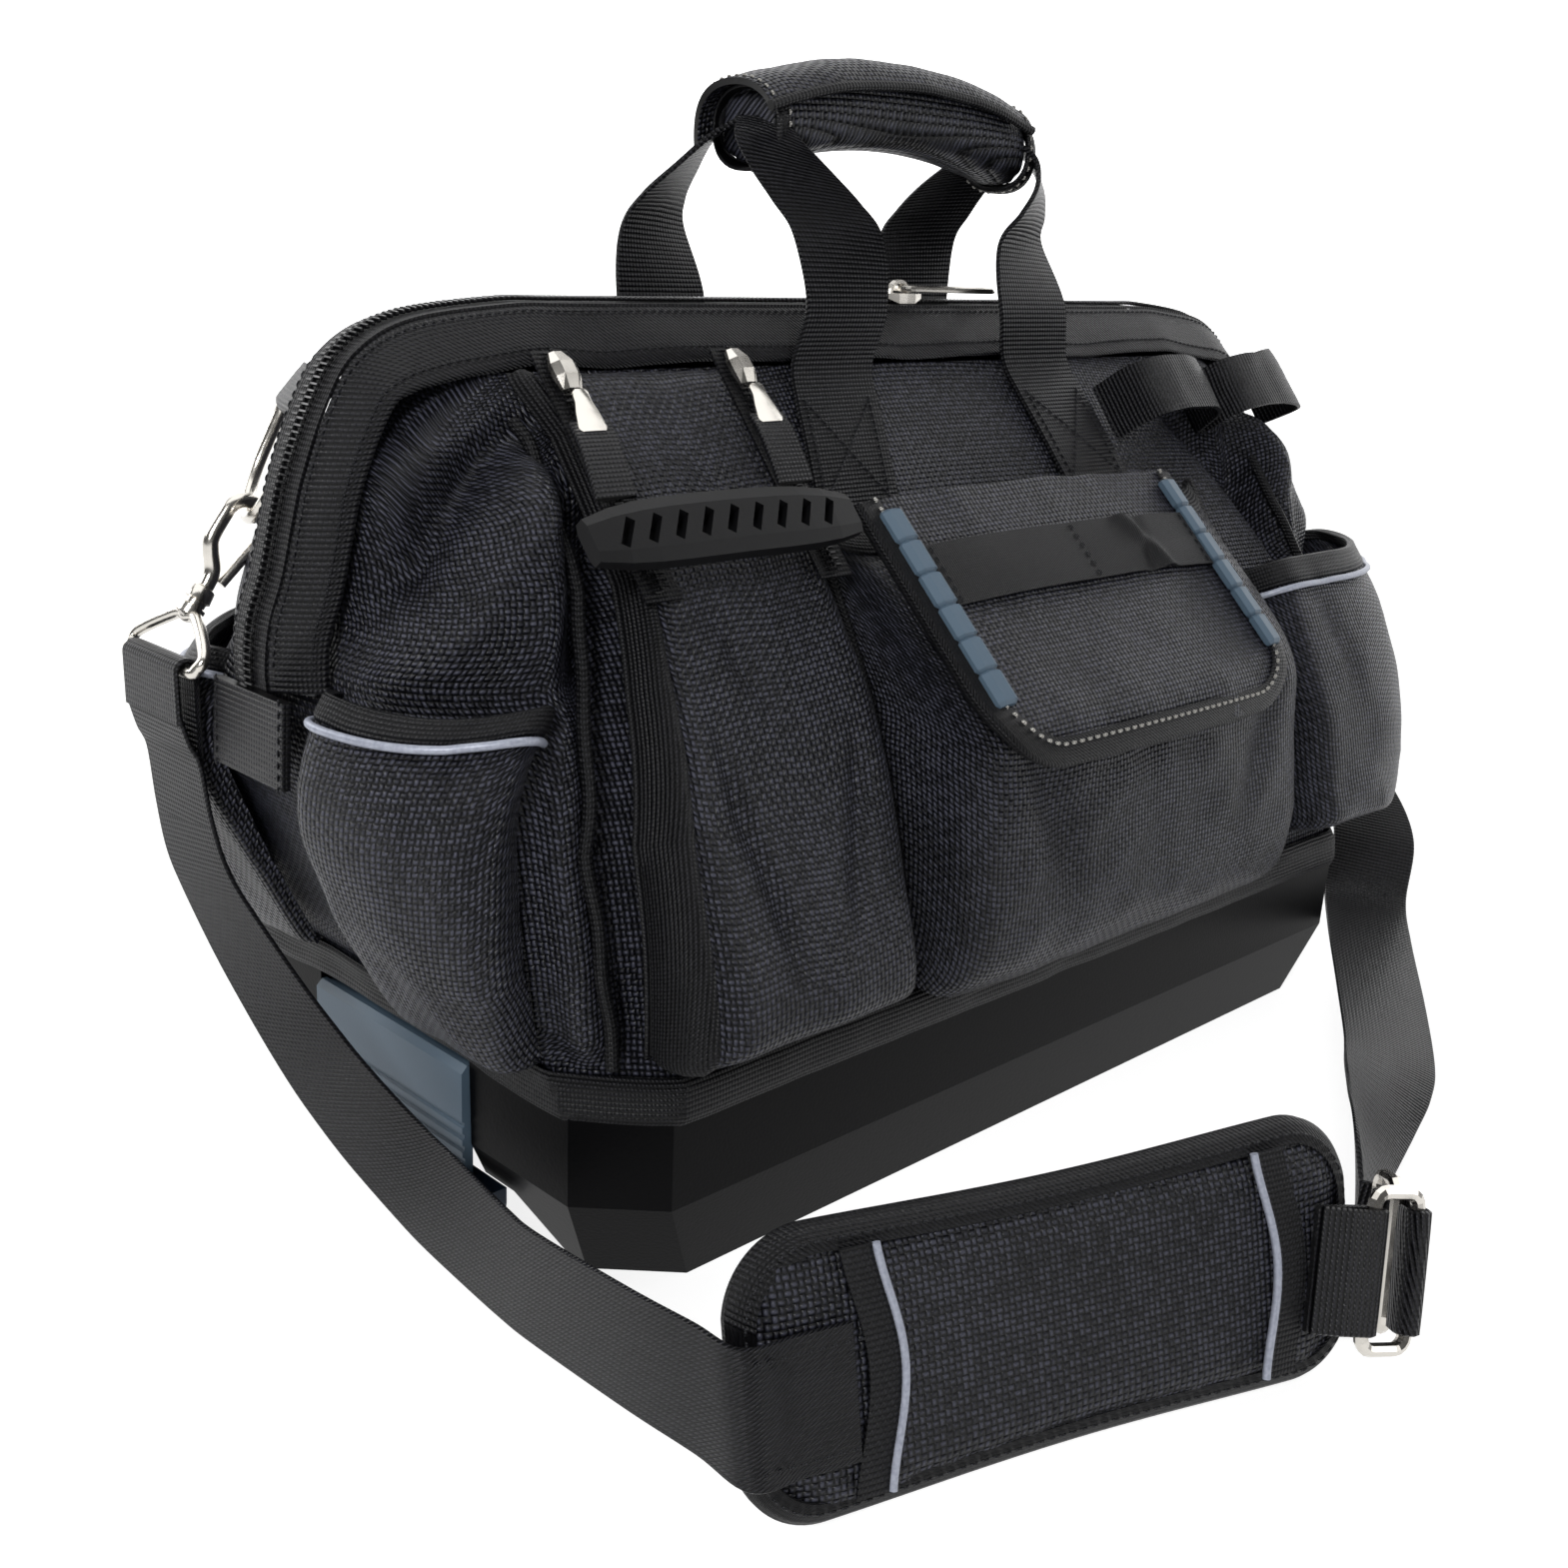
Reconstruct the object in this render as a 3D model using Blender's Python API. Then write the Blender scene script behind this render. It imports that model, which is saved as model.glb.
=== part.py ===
"""Soft tool bag with a wide zip mouth on a rigid moulded base, with its handle, pockets and shoulder strap.

Metres, +Z up. The origin is the middle of the base's underside. X runs along the bag, and its front is -Y.
The cloth body is one smooth form: its outline at each height is a rectangle with round corners, whose half
length and half depth change with the height. Every pocket, band and tab is laid on that form by its distance
round the outline, its share of the height and its distance off the cloth.
"""
import math

import bmesh
import bpy
import numpy as np
from mathutils import Matrix, Vector

# Gaps
GAP = 0.0003
CLEARANCE = 0.0006
OVERRUN = 0.004

# Moulded base
BASE_LENGTH = 0.420
BASE_DEPTH = 0.234
BASE_HEIGHT = 0.066
CORNER_CUT = 0.022
FOOT_HEIGHT = 0.030
FOOT_INSET_END = 0.014
FOOT_INSET_SIDE = 0.008
END_WALL = 0.013
SIDE_WALL = 0.0035
BASE_FLOOR = 0.004
END_RAMP_HEIGHT = 0.018
END_RAMP_RUN = 0.040
END_RAMP_HALF_TOP = 0.060
END_RAMP_HALF_FOOT = 0.092

# Catch at each end of the base
CATCH_HALF = 0.044
CATCH_RECESS = 0.0095
CATCH_PIN_RADIUS = 0.0024
CATCH_PIN_HEIGHT = 0.0525
CATCH_PIN_DEPTH = 0.0055
CATCH_PIN_REACH = 0.0045
CATCH_TOP = 0.0570
CATCH_FOOT = 0.0185
CATCH_THICKNESS = 0.0040
CATCH_PROUD = 0.0022
CATCH_GROOVE_DEPTH = 0.0009
CATCH_GROOVE_PITCH = 0.0042
CATCH_GROOVES = 4
LIP_HALF = 0.057
LIP_DEPTH = 0.0075
LIP_HEIGHT = 0.0100
CLIP_HALF = 0.018
CLIP_DEPTH = 0.006
CLIP_HEIGHT = 0.0085

# Cloth body
CLOTH = 0.0022
BODY_TOP = 0.2665
TOP_LENGTH = 0.400
TOP_DEPTH = 0.044
FRONT_SWELL = 0.020
END_SWELL = 0.0435
CORNER_TOP = 0.020
CORNER_SWELL = 0.042
END_SWELL_HEIGHT_SHARES = (0, 0.15, 0.30, 0.456, 0.62, 0.78, 0.893, 1)
END_SWELL_SHARES = (0, 0.37, 0.70, 0.95, 0.78, 0.70, 0.60, 0.02)
CHORD_HEIGHT_SHARE = 0.2
SEAM_HEIGHT_SHARES = (0, 0.37, 0.56, 0.70, 0.90, 1)
SEAM_MIX_SHARE = 0.96
PANEL_COLUMN_SHARES = (-0.66, -0.33, 0, 0.33, 0.66)
SEAM_SHARES = (0.4845, 0.4870, 0.4640, 0.4420, 0.4360, 0.4570)

# Binding round the top of the base
BINDING_BELOW = 0.008
BINDING_ABOVE = 0.007
BINDING_THICKNESS = 0.0026

# Zip mouth: hems, frame strips and the zip
RIM_HEIGHT = 0.2860
RIM_FLAT_HALF = 0.150
RIM_OUT_SHARES = (1.210, 1.212, 1.203, 1.181, 1.162, 1.145, 1.107, 1.0595, 0.9695, 0.804)
RIM_RISE_SHARES = (0.615, 0.643, 0.688, 0.7325, 0.788, 0.832, 0.899, 0.951, 0.984, 0.999)
HEM_INNER = 0.0090
HEM_OUTER = 0.0230
HEM_DROP = 0.0160
HEM_END_DROP_SHARE = 0.60
HEM_THICKNESS = 0.0022
FRAME_THICKNESS = 0.0012
FRAME_INNER = 0.0118
FRAME_OUTER = 0.0200
ZIP_HALF = 0.0066
ZIP_TAPE = 0.0012
CHAIN_HALF = 0.0030
CHAIN_HEIGHT = 0.0018
CHAIN_PITCH = 0.0100
TAB_LENGTH = 0.026
TAB_HALF = 0.0210
TAB_THICKNESS = 0.0030

# Zip slider on the mouth
SLIDER_PLACE = 0.016
SLIDER_LENGTH = 0.017
SLIDER_HALF = 0.0052
SLIDER_PLATE = 0.0018
SLIDER_BRIDGE = 0.0055
PULL_WIRE = 0.0011
PULL_LENGTH = 0.042
PULL_HALF = 0.0052
PULL_YAW_DEG = -14

# Twin zip pocket at the front left
TWIN_INNER = 0.094
TWIN_INNER_LOW = 0.104
TWIN_SEAM_GAP = 0.004
TWIN_DEPTH = 0.024
TWIN_LEVEL_SHARES = (0.07, 0.09, 0.25, 0.42, 0.56, 0.65, 0.80, 0.90, 0.965, 0.985)
TWIN_DEPTH_SHARES = (0, 1, 0.88, 0.68, 0.50, 0.42, 0.31, 0.22, 0.15, 0)
TWIN_ZIP_PLACES = (0.169, 0.098)
TWIN_ZIP_TOP_SHARE = 0.985
TWIN_TOP_STEP_SHARE = 0.02
TWIN_ZIP_FOOT_SHARE = 0.66
ZIP_STAND = 0.0016
ZIP_RISE = 0.0095
POCKET_ZIP_HALF = 0.0070
POCKET_ZIP_TAPE = 0.0010
POCKET_CHAIN_HALF = 0.0026
POCKET_CHAIN_HEIGHT = 0.0014
POCKET_SLIDER_LENGTH = 0.013
POCKET_SLIDER_HALF = 0.0046
POCKET_SLIDER_HEIGHT = 0.0036
PULL_WEB_HALF = 0.0075
PULL_WEB_THICKNESS = 0.0016
PULL_WEB_LENGTH = 0.041
BAR_HALF = 0.052
BAR_SHIFT = 0.011
BAR_STAND = 0.008
BAR_HEIGHT = 0.021
BAR_THICKNESS = 0.0075
BAR_BOW = 0.0012
BAR_SLOTS = 9
BAR_SLOT_WIDTH = 0.0030
BAR_SLOT_LENGTH = 0.0100
BAR_SLOT_LEAN_DEG = 35

# Middle pocket and its flap
MIDDLE_LEFT = -0.088
MIDDLE_RIGHT = 0.128
MIDDLE_LEVEL_SHARES = (0.045, 0.05, 0.12, 0.25, 0.40, 0.55, 0.70, 0.755)
MIDDLE_OUT_SHARES = (0, 0.535, 0.578, 0.592, 0.583, 0.545, 0.372, 0.295)
MIDDLE_RISE_SHARES = (0, 0.262, 0.300, 0.400, 0.527, 0.625, 0.765, 0.815)
FLAP_LEFT = -0.080
FLAP_RIGHT = 0.091
FLAP_HINGE_OUT = 0.0755
FLAP_HINGE_HEIGHT = 0.2285
FLAP_DROP = 0.103
FLAP_CROWN = 0.004
FLAP_THICKNESS = 0.0030
FLAP_CORNER = 0.030
FLAP_LEAN_DEG = 46
FLAP_FOOT_LEAN_DEG = 8
FLAP_BEND_SHARE = 0.78
FLAP_BORDER = 0.0032
FLAP_STRIP_HALF = 0.0045
FLAP_STRIP_THICKNESS = 0.0035
FLAP_STRIP_LENGTH = 0.076
FLAP_STRIP_INSET = 0.0080
FLAP_STRIP_TOP = 0.006
FLAP_SEGMENTS = 6
FLAP_NOTCH = 0.0011
ELASTIC_HEIGHT = 0.024
ELASTIC_TOP = 0.021
ELASTIC_THICKNESS = 0.0011

# Webbing tool loops, side pocket and end pockets
LOOP_LEFT = 0.097
LOOP_PITCH = 0.061
LOOP_COUNT = 2
LOOP_DEPTH = 0.022
LOOP_THICKNESS = 0.0016
LOOP_TOP_SHARE = 0.940
LOOP_FOOT_SHARE = 0.845
SIDE_POCKET_START = 0.134
SIDE_POCKET_REACH = 0.120
SIDE_POCKET_LEVEL_SHARES = (0.08, 0.10, 0.20, 0.35, 0.48, 0.58)
SIDE_POCKET_DEPTH = 0.024
SIDE_POCKET_DEPTH_SHARES = (0, 1, 1, 0.96, 0.86, 0.76)
END_POCKET_NEAR = 0.025
END_POCKET_FAR = 0.103
END_POCKET_LEVEL_SHARES = (0.06, 0.08, 0.20, 0.36, 0.50, 0.56)
END_POCKET_DEPTH = 0.014
REAR_POCKET_SHARE = 0.5
END_POCKET_DEPTH_SHARES = (0, 0.7, 0.9, 1, 0.85, 0.7)
POCKET_STAND = 0.0026
POCKET_CLOTH = 0.0018

# Carrying handle
WEBBING = 0.040
WEBBING_THICKNESS = 0.0020
HANDLE_FRONT_PLACES = {"left": (-0.060, -0.037), "right": (0.075, 0.066)}
HANDLE_REAR_PLACES = {"left": (-0.074, -0.078), "right": (0.060, 0.053)}
HANDLE_TOP_HALF = 0.057
SEWN_FOOT_SHARE = 0.775
SEWN_TOP_SHARE = 0.94
LEG_OUT = 0.0012
GRIP_HALF = 0.0725
GRIP_CENTRE = 0.3524
GRIP_HALF_DEPTH = 0.017
GRIP_HALF_HEIGHT = 0.0140
GRIP_ARCH = 0.0115
GRIP_SQUARE_SHARE = 0.85
GRIP_END_SHARE = 0.25
GRIP_LIP_DEG = (25, 140)
GRIP_LIP_THICKNESS = 0.0034
GRIP_LIP_HALF = 0.0600
LEG_TOP_HALF_GAP = 0.008

# Rings, snap hooks and shoulder strap
RING_WIRE = 0.0022
RING_STAND = 0.0062
RING_HALF = 0.0195
RING_HEIGHT = 0.038
RING_BACK = 0.041
RING_TURN_DEG = 20
RING_LEAN_DEG = 25
HOOK_LEAN_DEG = 37
RING_HEIGHT_SHARE = 0.895
RING_TAB_HALF = 0.0125
RING_TAB_HEIGHT = 0.013
RING_TAB_SET = 0.0036
RING_TAB_THICKNESS = 0.0015
HOOK_WIRE = 0.0023
HOOK_RADIUS = 0.0070
HOOK_THROAT = 0.0105
HOOK_SHANK = 0.012
COLLAR_RADIUS = 0.0042
COLLAR_HEIGHT = 0.0050
EYE_HALF = 0.0220
EYE_HEIGHT = 0.0160
GATE_RADIUS = 0.0017
STRAP_WIDTH = 0.036
STRAP_THICKNESS = 0.0018
STRAP_STEPS = 34
STRAP_TAIL = 0.030
LOOP_WIRE = 0.0021
LOOP_HALF_HEIGHT = 0.0225
LOOP_HALF_WIDTH = 0.0083
SLIDER_SHARE = 0.97
WEAVE_SHARE = 1.5

# Shoulder pad
PAD_LENGTH = 0.194
PAD_HEIGHT = 0.075
PAD_CROWN = 0.0070
PAD_EDGE = 0.0022
PAD_YAW_DEG = -18.2
PAD_LEAN_DEG = 15
PAD_PATCH_LENGTH = 0.042
PAD_TAB_LENGTH = 0.019
PATCH_DROP = 0.004
TAB_TURN_DEG = 12
TAB_REACH = -0.001
TAB_FLARE_SHARE = 0.55
SLIDER_STEP = 0.017
STRAP_BEND_DEG = 64
PAD_CORNER_SHARE = 0.30

SIDES = {"left": -1, "right": 1}
TAU = 2 * math.pi

# The middle of the shoulder pad and the two runs of the strap: (x, y, height of the band's middle) as shares of
# the base's length, and the direction of the band's width.
PAD_PLACE_SHARES = (-0.3569, -0.5519)
STRAP_LEFT_SHARES = (
    (-0.6143, 0.1071, 0.3476), (-0.6024, 0.1024, 0.2619), (-0.5857, 0.0405, 0.1810), (-0.5643, -0.0167, 0.1119),
    (-0.5548, -0.0905, 0.0738), (-0.5619, -0.1738, 0.0667), (-0.5762, -0.2738, 0.0714), (-0.5833, -0.3619, 0.0810),
    (-0.5857, -0.4381, 0.0900))
STRAP_LEFT_ACROSS = (
    (0, -1, 0.05), (0.05, -1, 0.15), (0.15, -0.95, 0.35), (0.2, -0.8, 0.65), (0.15, -0.5, 0.9), (0.1, -0.2, 1),
    (0, -0.05, 1), (0, 0, 1), (0, 0.1, 1))
STRAP_RIGHT_SHARES = (
    (0.6238, 0.0952, 0.3571), (0.6548, 0.0119, 0.2810), (0.6548, -0.1190, 0.2143), (0.6024, -0.2381, 0.1524),
    (0.5238, -0.2857, 0.0810), (0.3762, -0.3810, 0.0667), (0.2205, -0.4762, 0.0643), (0.1071, -0.5238, 0.0643),
    (-0.0048, -0.5714, 0.0714))
STRAP_RIGHT_ACROSS = (
    (0, 1, 0), (-0.3, 0.95, 0), (-0.5, 0.86, 0), (-0.5, 0.86, 0.05), (-0.5, 0.86, 0.1), (-0.5, 0.86, 0.15),
    (-0.45, 0.8, 0.3), (-0.3, 0.55, 0.75), (-0.05, 0.25, 1))

FINISHES = {
    "cloth": (0x15161A, 0.85, 0), "webbing": (0x101114, 0.8, 0),
    "zip": (0x0B0B0D, 0.45, 0), "moulding": (0x0E0E10, 0.55, 0), "catch": (0x566776, 0.5, 0),
    "navy": (0x1B2C40, 0.45, 0), "rubber": (0x121315, 0.7, 0), "nickel": (0xC9C6C0, 0.25, 1),
    "steel": (0x8B8D90, 0.4, 1), "elastic": (0x0D0E12, 0.9, 0),
}


def clear_scene():
    for thing in list(bpy.data.objects):
        bpy.data.objects.remove(thing, do_unlink=True)


def linear(channel):
    share = channel / 255
    return share / 12.92 if share <= 0.04045 else ((share + 0.055) / 1.055) ** 2.4


def make_material(name, finish):
    colour, roughness, metallic = FINISHES[finish]
    material = bpy.data.materials.new(name)
    material.use_nodes = True
    shader = material.node_tree.nodes["Principled BSDF"]
    rgb = [linear(colour >> shift & 255) for shift in (16, 8, 0)]
    shader.inputs["Base Color"].default_value = (*rgb, 1)
    shader.inputs["Roughness"].default_value = roughness
    shader.inputs["Metallic"].default_value = metallic
    return material


def add_piece(name, vertices, faces, finish, frame=None, smooth_deg=35, warped=False):
    """One closed piece. A frame is the matrix of the axis that it moves on, and the points are given in it. The
    warped faces of a cloth are cut into triangles, so that every maker of solids reads them alike."""
    mesh = bpy.data.meshes.new(name)
    mesh.from_pydata([tuple(v) for v in vertices], [], faces)
    body = bmesh.new()
    body.from_mesh(mesh)
    if warped:
        bmesh.ops.triangulate(body, faces=body.faces)
    bmesh.ops.recalc_face_normals(body, faces=body.faces)
    body.to_mesh(mesh)
    body.free()
    mesh.shade_smooth()
    mesh.set_sharp_from_angle(angle=math.radians(smooth_deg))
    mesh.materials.append(make_material(name, finish))
    piece = bpy.data.objects.new(name, mesh)
    bpy.context.collection.objects.link(piece)
    if frame is not None:
        piece.matrix_world = frame
    return piece


def unit(vectors):
    vectors = np.asarray(vectors, float)
    return vectors / np.linalg.norm(vectors, axis=-1, keepdims=True)


def loft(rings, closed=False):
    """Vertices and faces of the skin over rings of equal count, capped at both ends or joined round."""
    rings = np.asarray(rings, float)
    count, sides = rings.shape[:2]
    steps = count if closed else count - 1
    faces = []
    for i in range(steps):
        a, b = i * sides, (i + 1) % count * sides
        faces += [(a + j, a + (j + 1) % sides, b + (j + 1) % sides, b + j) for j in range(sides)]
    if not closed:
        faces += [tuple(range(sides)), tuple(range((count - 1) * sides, count * sides))]
    return rings.reshape(-1, 3), faces


def between(outer, inner, closed=False):
    """Vertices and faces of the solid between two grids of points. A closed one joins its first and last rows."""
    rows, columns = outer.shape[:2]
    half = rows * columns
    steps = rows if closed else rows - 1
    faces = []
    for i in range(steps):
        k = (i + 1) % rows
        for j in range(columns - 1):
            a, b, c, d = i * columns + j, k * columns + j, k * columns + j + 1, i * columns + j + 1
            faces += [(a, b, c, d), (half + d, half + c, half + b, half + a)]
        for j in (0, columns - 1):
            a, b = i * columns + j, k * columns + j
            faces.append((a, b, half + b, half + a))
    if not closed:
        for i in (0, rows - 1):
            for j in range(columns - 1):
                a, b = i * columns + j, i * columns + j + 1
                faces.append((a, b, half + b, half + a))
    return np.concatenate([outer.reshape(-1, 3), inner.reshape(-1, 3)]), faces


def through(points, count):
    """A smooth curve through the points, sampled evenly by its length."""
    p = np.asarray(points, float)
    p = np.concatenate([[2 * p[0] - p[1]], p, [2 * p[-1] - p[-2]]])
    pieces = []
    for i in range(1, len(p) - 2):
        t = np.linspace(0, 1, 12, endpoint=False)[:, None]
        a, b, c, d = p[i - 1:i + 3]
        pieces.append(0.5 * (2 * b + (c - a) * t + (2 * a - 5 * b + 4 * c - d) * t**2 + (3 * b - a - 3 * c + d) * t**3))
    curve = np.concatenate([*pieces, p[-2:-1]])
    run = np.concatenate([[0], np.cumsum(np.linalg.norm(np.diff(curve, axis=0), axis=1))])
    places = np.linspace(0, run[-1], count)
    return np.stack([np.interp(places, run, curve[:, k]) for k in range(curve.shape[1])], -1)


def tangents(path, closed=False):
    path = np.asarray(path, float)
    if closed:
        return unit(np.roll(path, -1, 0) - np.roll(path, 1, 0))
    return unit(np.gradient(path, axis=0))


def tube(path, radius, sides=8, closed=False):
    """A round wire along a path."""
    path = np.asarray(path, float)
    along = tangents(path, closed)
    side = np.cross(along[0], (0, 0, 1) if abs(along[0][2]) < 0.9 else (0, 1, 0))
    rings = []
    for place, direction in zip(path, along):
        side = unit(side - direction * np.dot(side, direction))
        other = np.cross(direction, side)
        turns = np.arange(sides) / sides * TAU
        rings.append(place + radius * (np.cos(turns)[:, None] * side + np.sin(turns)[:, None] * other))
    return loft(rings, closed)


def band(path, across, width, thickness, skewed=False):
    """A flat band along a path. Its width lies along the given directions, squared to the path unless skewed."""
    path, across = np.asarray(path, float), unit(across)
    if not skewed:
        across = unit(across - tangents(path) * np.sum(across * tangents(path), -1, keepdims=True))
    face = unit(np.cross(tangents(path), across))
    w, h = across * width / 2, face * thickness / 2
    return loft(np.stack([path - w - h, path + w - h, path + w + h, path - w + h], 1))


def prism(outline, low, high):
    """An outline of (x, z) points extruded along Y."""
    rings = [[(x, y, z) for x, z in outline] for y in (low, high)]
    return loft(rings)


def arc(centre, radius, start_deg, end_deg, steps):
    angles = np.radians(np.linspace(start_deg, end_deg, steps + 1))
    return [(centre[0] + radius * math.cos(a), centre[1] + radius * math.sin(a)) for a in angles]


def cylinder_y(x, z, radius, low, high, sides=16):
    return prism(arc((x, z), radius, 0, 360 - 360 / sides, sides - 1), low, high)


def join(piece, other, operation):
    """Cuts with, or adds, another closed piece, which is then only a guide."""
    other.hide_render = True
    other.display_type = "WIRE"
    change = piece.modifiers.new(operation.lower() + "_" + other.name, "BOOLEAN")
    change.operation = operation
    change.object = other


def mix(a, b, share):
    return a + (b - a) * share


# Cloth body


BODY_FOOT = BASE_HEIGHT + GAP + CLEARANCE
FOOT_HALF_LENGTH = BASE_LENGTH / 2 - CLOTH
FOOT_HALF_DEPTH = BASE_DEPTH / 2 - CLOTH


def height(t):
    return mix(BODY_FOOT, BODY_TOP, t)


def share_of(z):
    return (z - BODY_FOOT) / (BODY_TOP - BODY_FOOT)


def end_swell(t):
    knots = np.stack([END_SWELL_HEIGHT_SHARES, END_SWELL_SHARES], -1)
    curve = through(knots, 60)
    return np.interp(t, curve[:, 0], curve[:, 1]) * END_SWELL


def half_length(t):
    return mix(FOOT_HALF_LENGTH, TOP_LENGTH / 2, t) + end_swell(t)


def half_depth(t):
    return mix(FOOT_HALF_DEPTH, TOP_DEPTH / 2, t) + FRONT_SWELL * np.sin(np.pi * np.clip(t, 0, 1))


def corner_radius(t):
    return mix(CORNER_CUT, CORNER_TOP, t) + CORNER_SWELL * np.sin(np.pi * np.clip(t, 0, 1))


def round_length(t):
    """Distance round the outline from the middle of the front to the middle of an end."""
    a, b, r = half_length(t), half_depth(t), corner_radius(t)
    return a - r + r * np.pi / 2 + b - r


def body_point(s, t, off=0.0):
    """The point at distance s round the outline from the middle of the front (to +X), at share t of the height."""
    s, t, off = np.broadcast_arrays(np.asarray(s, float), np.asarray(t, float), np.asarray(off, float))
    side, s = np.where(s < 0, -1.0, 1.0), np.abs(s)
    whole = round_length(t)
    rear, s = np.where(s > whole, -1.0, 1.0), np.where(s > whole, 2 * whole - s, s)
    a, b, r = half_length(t), half_depth(t), corner_radius(t)
    straight = a - r
    turn = np.clip((s - straight) / r, 0, np.pi / 2)
    on_end = np.clip(s - straight - r * np.pi / 2, 0, None)
    x = np.minimum(s, straight) + r * np.sin(turn)
    y = -(b - r) - r * np.cos(turn) + on_end
    chord = np.clip(turn / (np.pi / 2), 0, 1)
    flat_x, flat_y = np.minimum(s, straight) + r * chord, -b + r * chord + on_end
    rounding = np.clip(t / CHORD_HEIGHT_SHARE, 0, 1)
    x, y = mix(flat_x, x, rounding), mix(flat_y, y, rounding)
    step = GAP / (BODY_TOP - BODY_FOOT)
    slope_side = (half_depth(t - step) - half_depth(t + step)) / (2 * GAP)
    slope_end = (half_length(t - step) - half_length(t + step)) / (2 * GAP)
    lift = mix(slope_side, slope_end, turn / (np.pi / 2))
    level = 1 / np.sqrt(1 + lift**2)
    return np.stack([
        side * (x + off * level * np.sin(turn)), rear * (y - off * level * np.cos(turn)),
        height(t) + off * level * lift], -1)


def cloth_sheet(s_grid, t_grid, off, thickness=CLOTH):
    """A sheet that follows the body at a distance off it, measured to its outer face."""
    return between(body_point(s_grid, t_grid, off), body_point(s_grid, t_grid, np.asarray(off) - thickness))


def seam(t):
    """Distance round the outline, from the middle of the front, of the seam between a panel and a gusset."""
    return np.interp(t, SEAM_HEIGHT_SHARES, SEAM_SHARES) * BASE_LENGTH


def make_body_panels():
    rows = np.linspace(0, 1, 12)[:, None]
    straight = half_length(rows) - corner_radius(rows)
    bend_end = straight + corner_radius(rows) * np.pi / 2
    edge = seam(rows) - GAP / 2
    bend = np.minimum(straight, edge * SEAM_MIX_SHARE)
    columns = [-edge, -bend] + [bend * share for share in PANEL_COLUMN_SHARES] + [bend, edge]
    grid = np.concatenate(columns, 1)
    vertices, faces = cloth_sheet(grid, rows + 0 * grid, 0.0)
    add_piece("panel_front", vertices, faces, "cloth")
    add_piece("panel_rear", vertices * (1, -1, 1), faces, "cloth")
    whole = round_length(rows)
    edge = seam(rows) + GAP / 2
    bend = np.maximum(straight, edge + CLOTH)
    half = [edge, bend] + [mix(bend, bend_end, share) for share in (0.33, 0.67, 1)]
    grid = np.concatenate(half + [whole] + [2 * whole - column for column in half[::-1]], 1)
    for side, sign in SIDES.items():
        add_piece("gusset_" + side, *cloth_sheet(sign * grid, rows + 0 * grid, 0.0), "cloth")


def octagon(half_l, half_d, cut, z, recess):
    """The base's outline at one height, with the recess for the catch in both ends."""
    right = [(half_l - cut, -half_d), (half_l, -half_d + cut), (half_l, -CATCH_HALF - CLEARANCE)]
    right += [(half_l - recess, -CATCH_HALF - CLEARANCE), (half_l - recess, CATCH_HALF + CLEARANCE)]
    right += [(half_l, CATCH_HALF + CLEARANCE), (half_l, half_d - cut), (half_l - cut, half_d)]
    left = [(-x, -y) for x, y in right]
    return [(x, y, z) for x, y in right + left]


def plain_octagon(half_l, half_d, cut, z):
    right = [(half_l - cut, -half_d), (half_l, -half_d + cut), (half_l, half_d - cut), (half_l - cut, half_d)]
    return [(x, y, z) for x, y in right + [(-x, -y) for x, y in right]]


def make_base():
    half_l, half_d = BASE_LENGTH / 2, BASE_DEPTH / 2
    outer = [
        octagon(half_l - FOOT_INSET_END, half_d - FOOT_INSET_SIDE, CORNER_CUT, 0, CLEARANCE),
        octagon(half_l - CLEARANCE, half_d - CLEARANCE, CORNER_CUT, FOOT_HEIGHT, CATCH_RECESS),
        octagon(half_l, half_d, CORNER_CUT, BASE_HEIGHT, CATCH_RECESS)]
    tub = add_piece("base_tub", *loft(outer), "moulding")
    hollow_l, hollow_d = half_l - END_WALL, half_d - SIDE_WALL
    ramp_clear = END_RAMP_HEIGHT + 2 * BASE_FLOOR
    rings = [
        plain_octagon(hollow_l - END_RAMP_RUN, half_d - FOOT_INSET_SIDE - SIDE_WALL, CORNER_CUT, BASE_FLOOR),
        plain_octagon(hollow_l - FOOT_INSET_SIDE, hollow_d - CLEARANCE, CORNER_CUT, ramp_clear),
        plain_octagon(hollow_l, hollow_d, CORNER_CUT, BASE_HEIGHT + OVERRUN)]
    join(tub, add_piece("base_hollow_cut", *loft(rings), "moulding"), "DIFFERENCE")
    for side, sign in SIDES.items():
        out, into = sign * (half_l + OVERRUN), sign * (half_l - FOOT_INSET_END - END_RAMP_RUN)
        low, high = -OVERRUN / 2, END_RAMP_HEIGHT
        foot, top = END_RAMP_HALF_FOOT, END_RAMP_HALF_TOP
        lip = sign * (half_l - FOOT_INSET_END)
        vertices = [
            (out, -foot, low), (into, -top, low), (into, top, low), (out, foot, low),
            (out, -top, high), (lip, -top, high), (lip, top, high), (out, top, high)]
        faces = [(0, 1, 2, 3), (4, 5, 6, 7), (0, 1, 5, 4), (1, 2, 6, 5), (2, 3, 7, 6), (3, 0, 4, 7)]
        join(tub, add_piece("base_ramp_cut_" + side, vertices, faces, "moulding"), "DIFFERENCE")
        socket = cylinder_y(
            sign * (half_l - CATCH_PIN_DEPTH), CATCH_PIN_HEIGHT, CATCH_PIN_RADIUS + GAP,
            -CATCH_HALF - CATCH_PIN_REACH - CLEARANCE, CATCH_HALF + CATCH_PIN_REACH + CLEARANCE)
        join(tub, add_piece("base_socket_cut_" + side, *socket, "moulding"), "DIFFERENCE")


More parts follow.
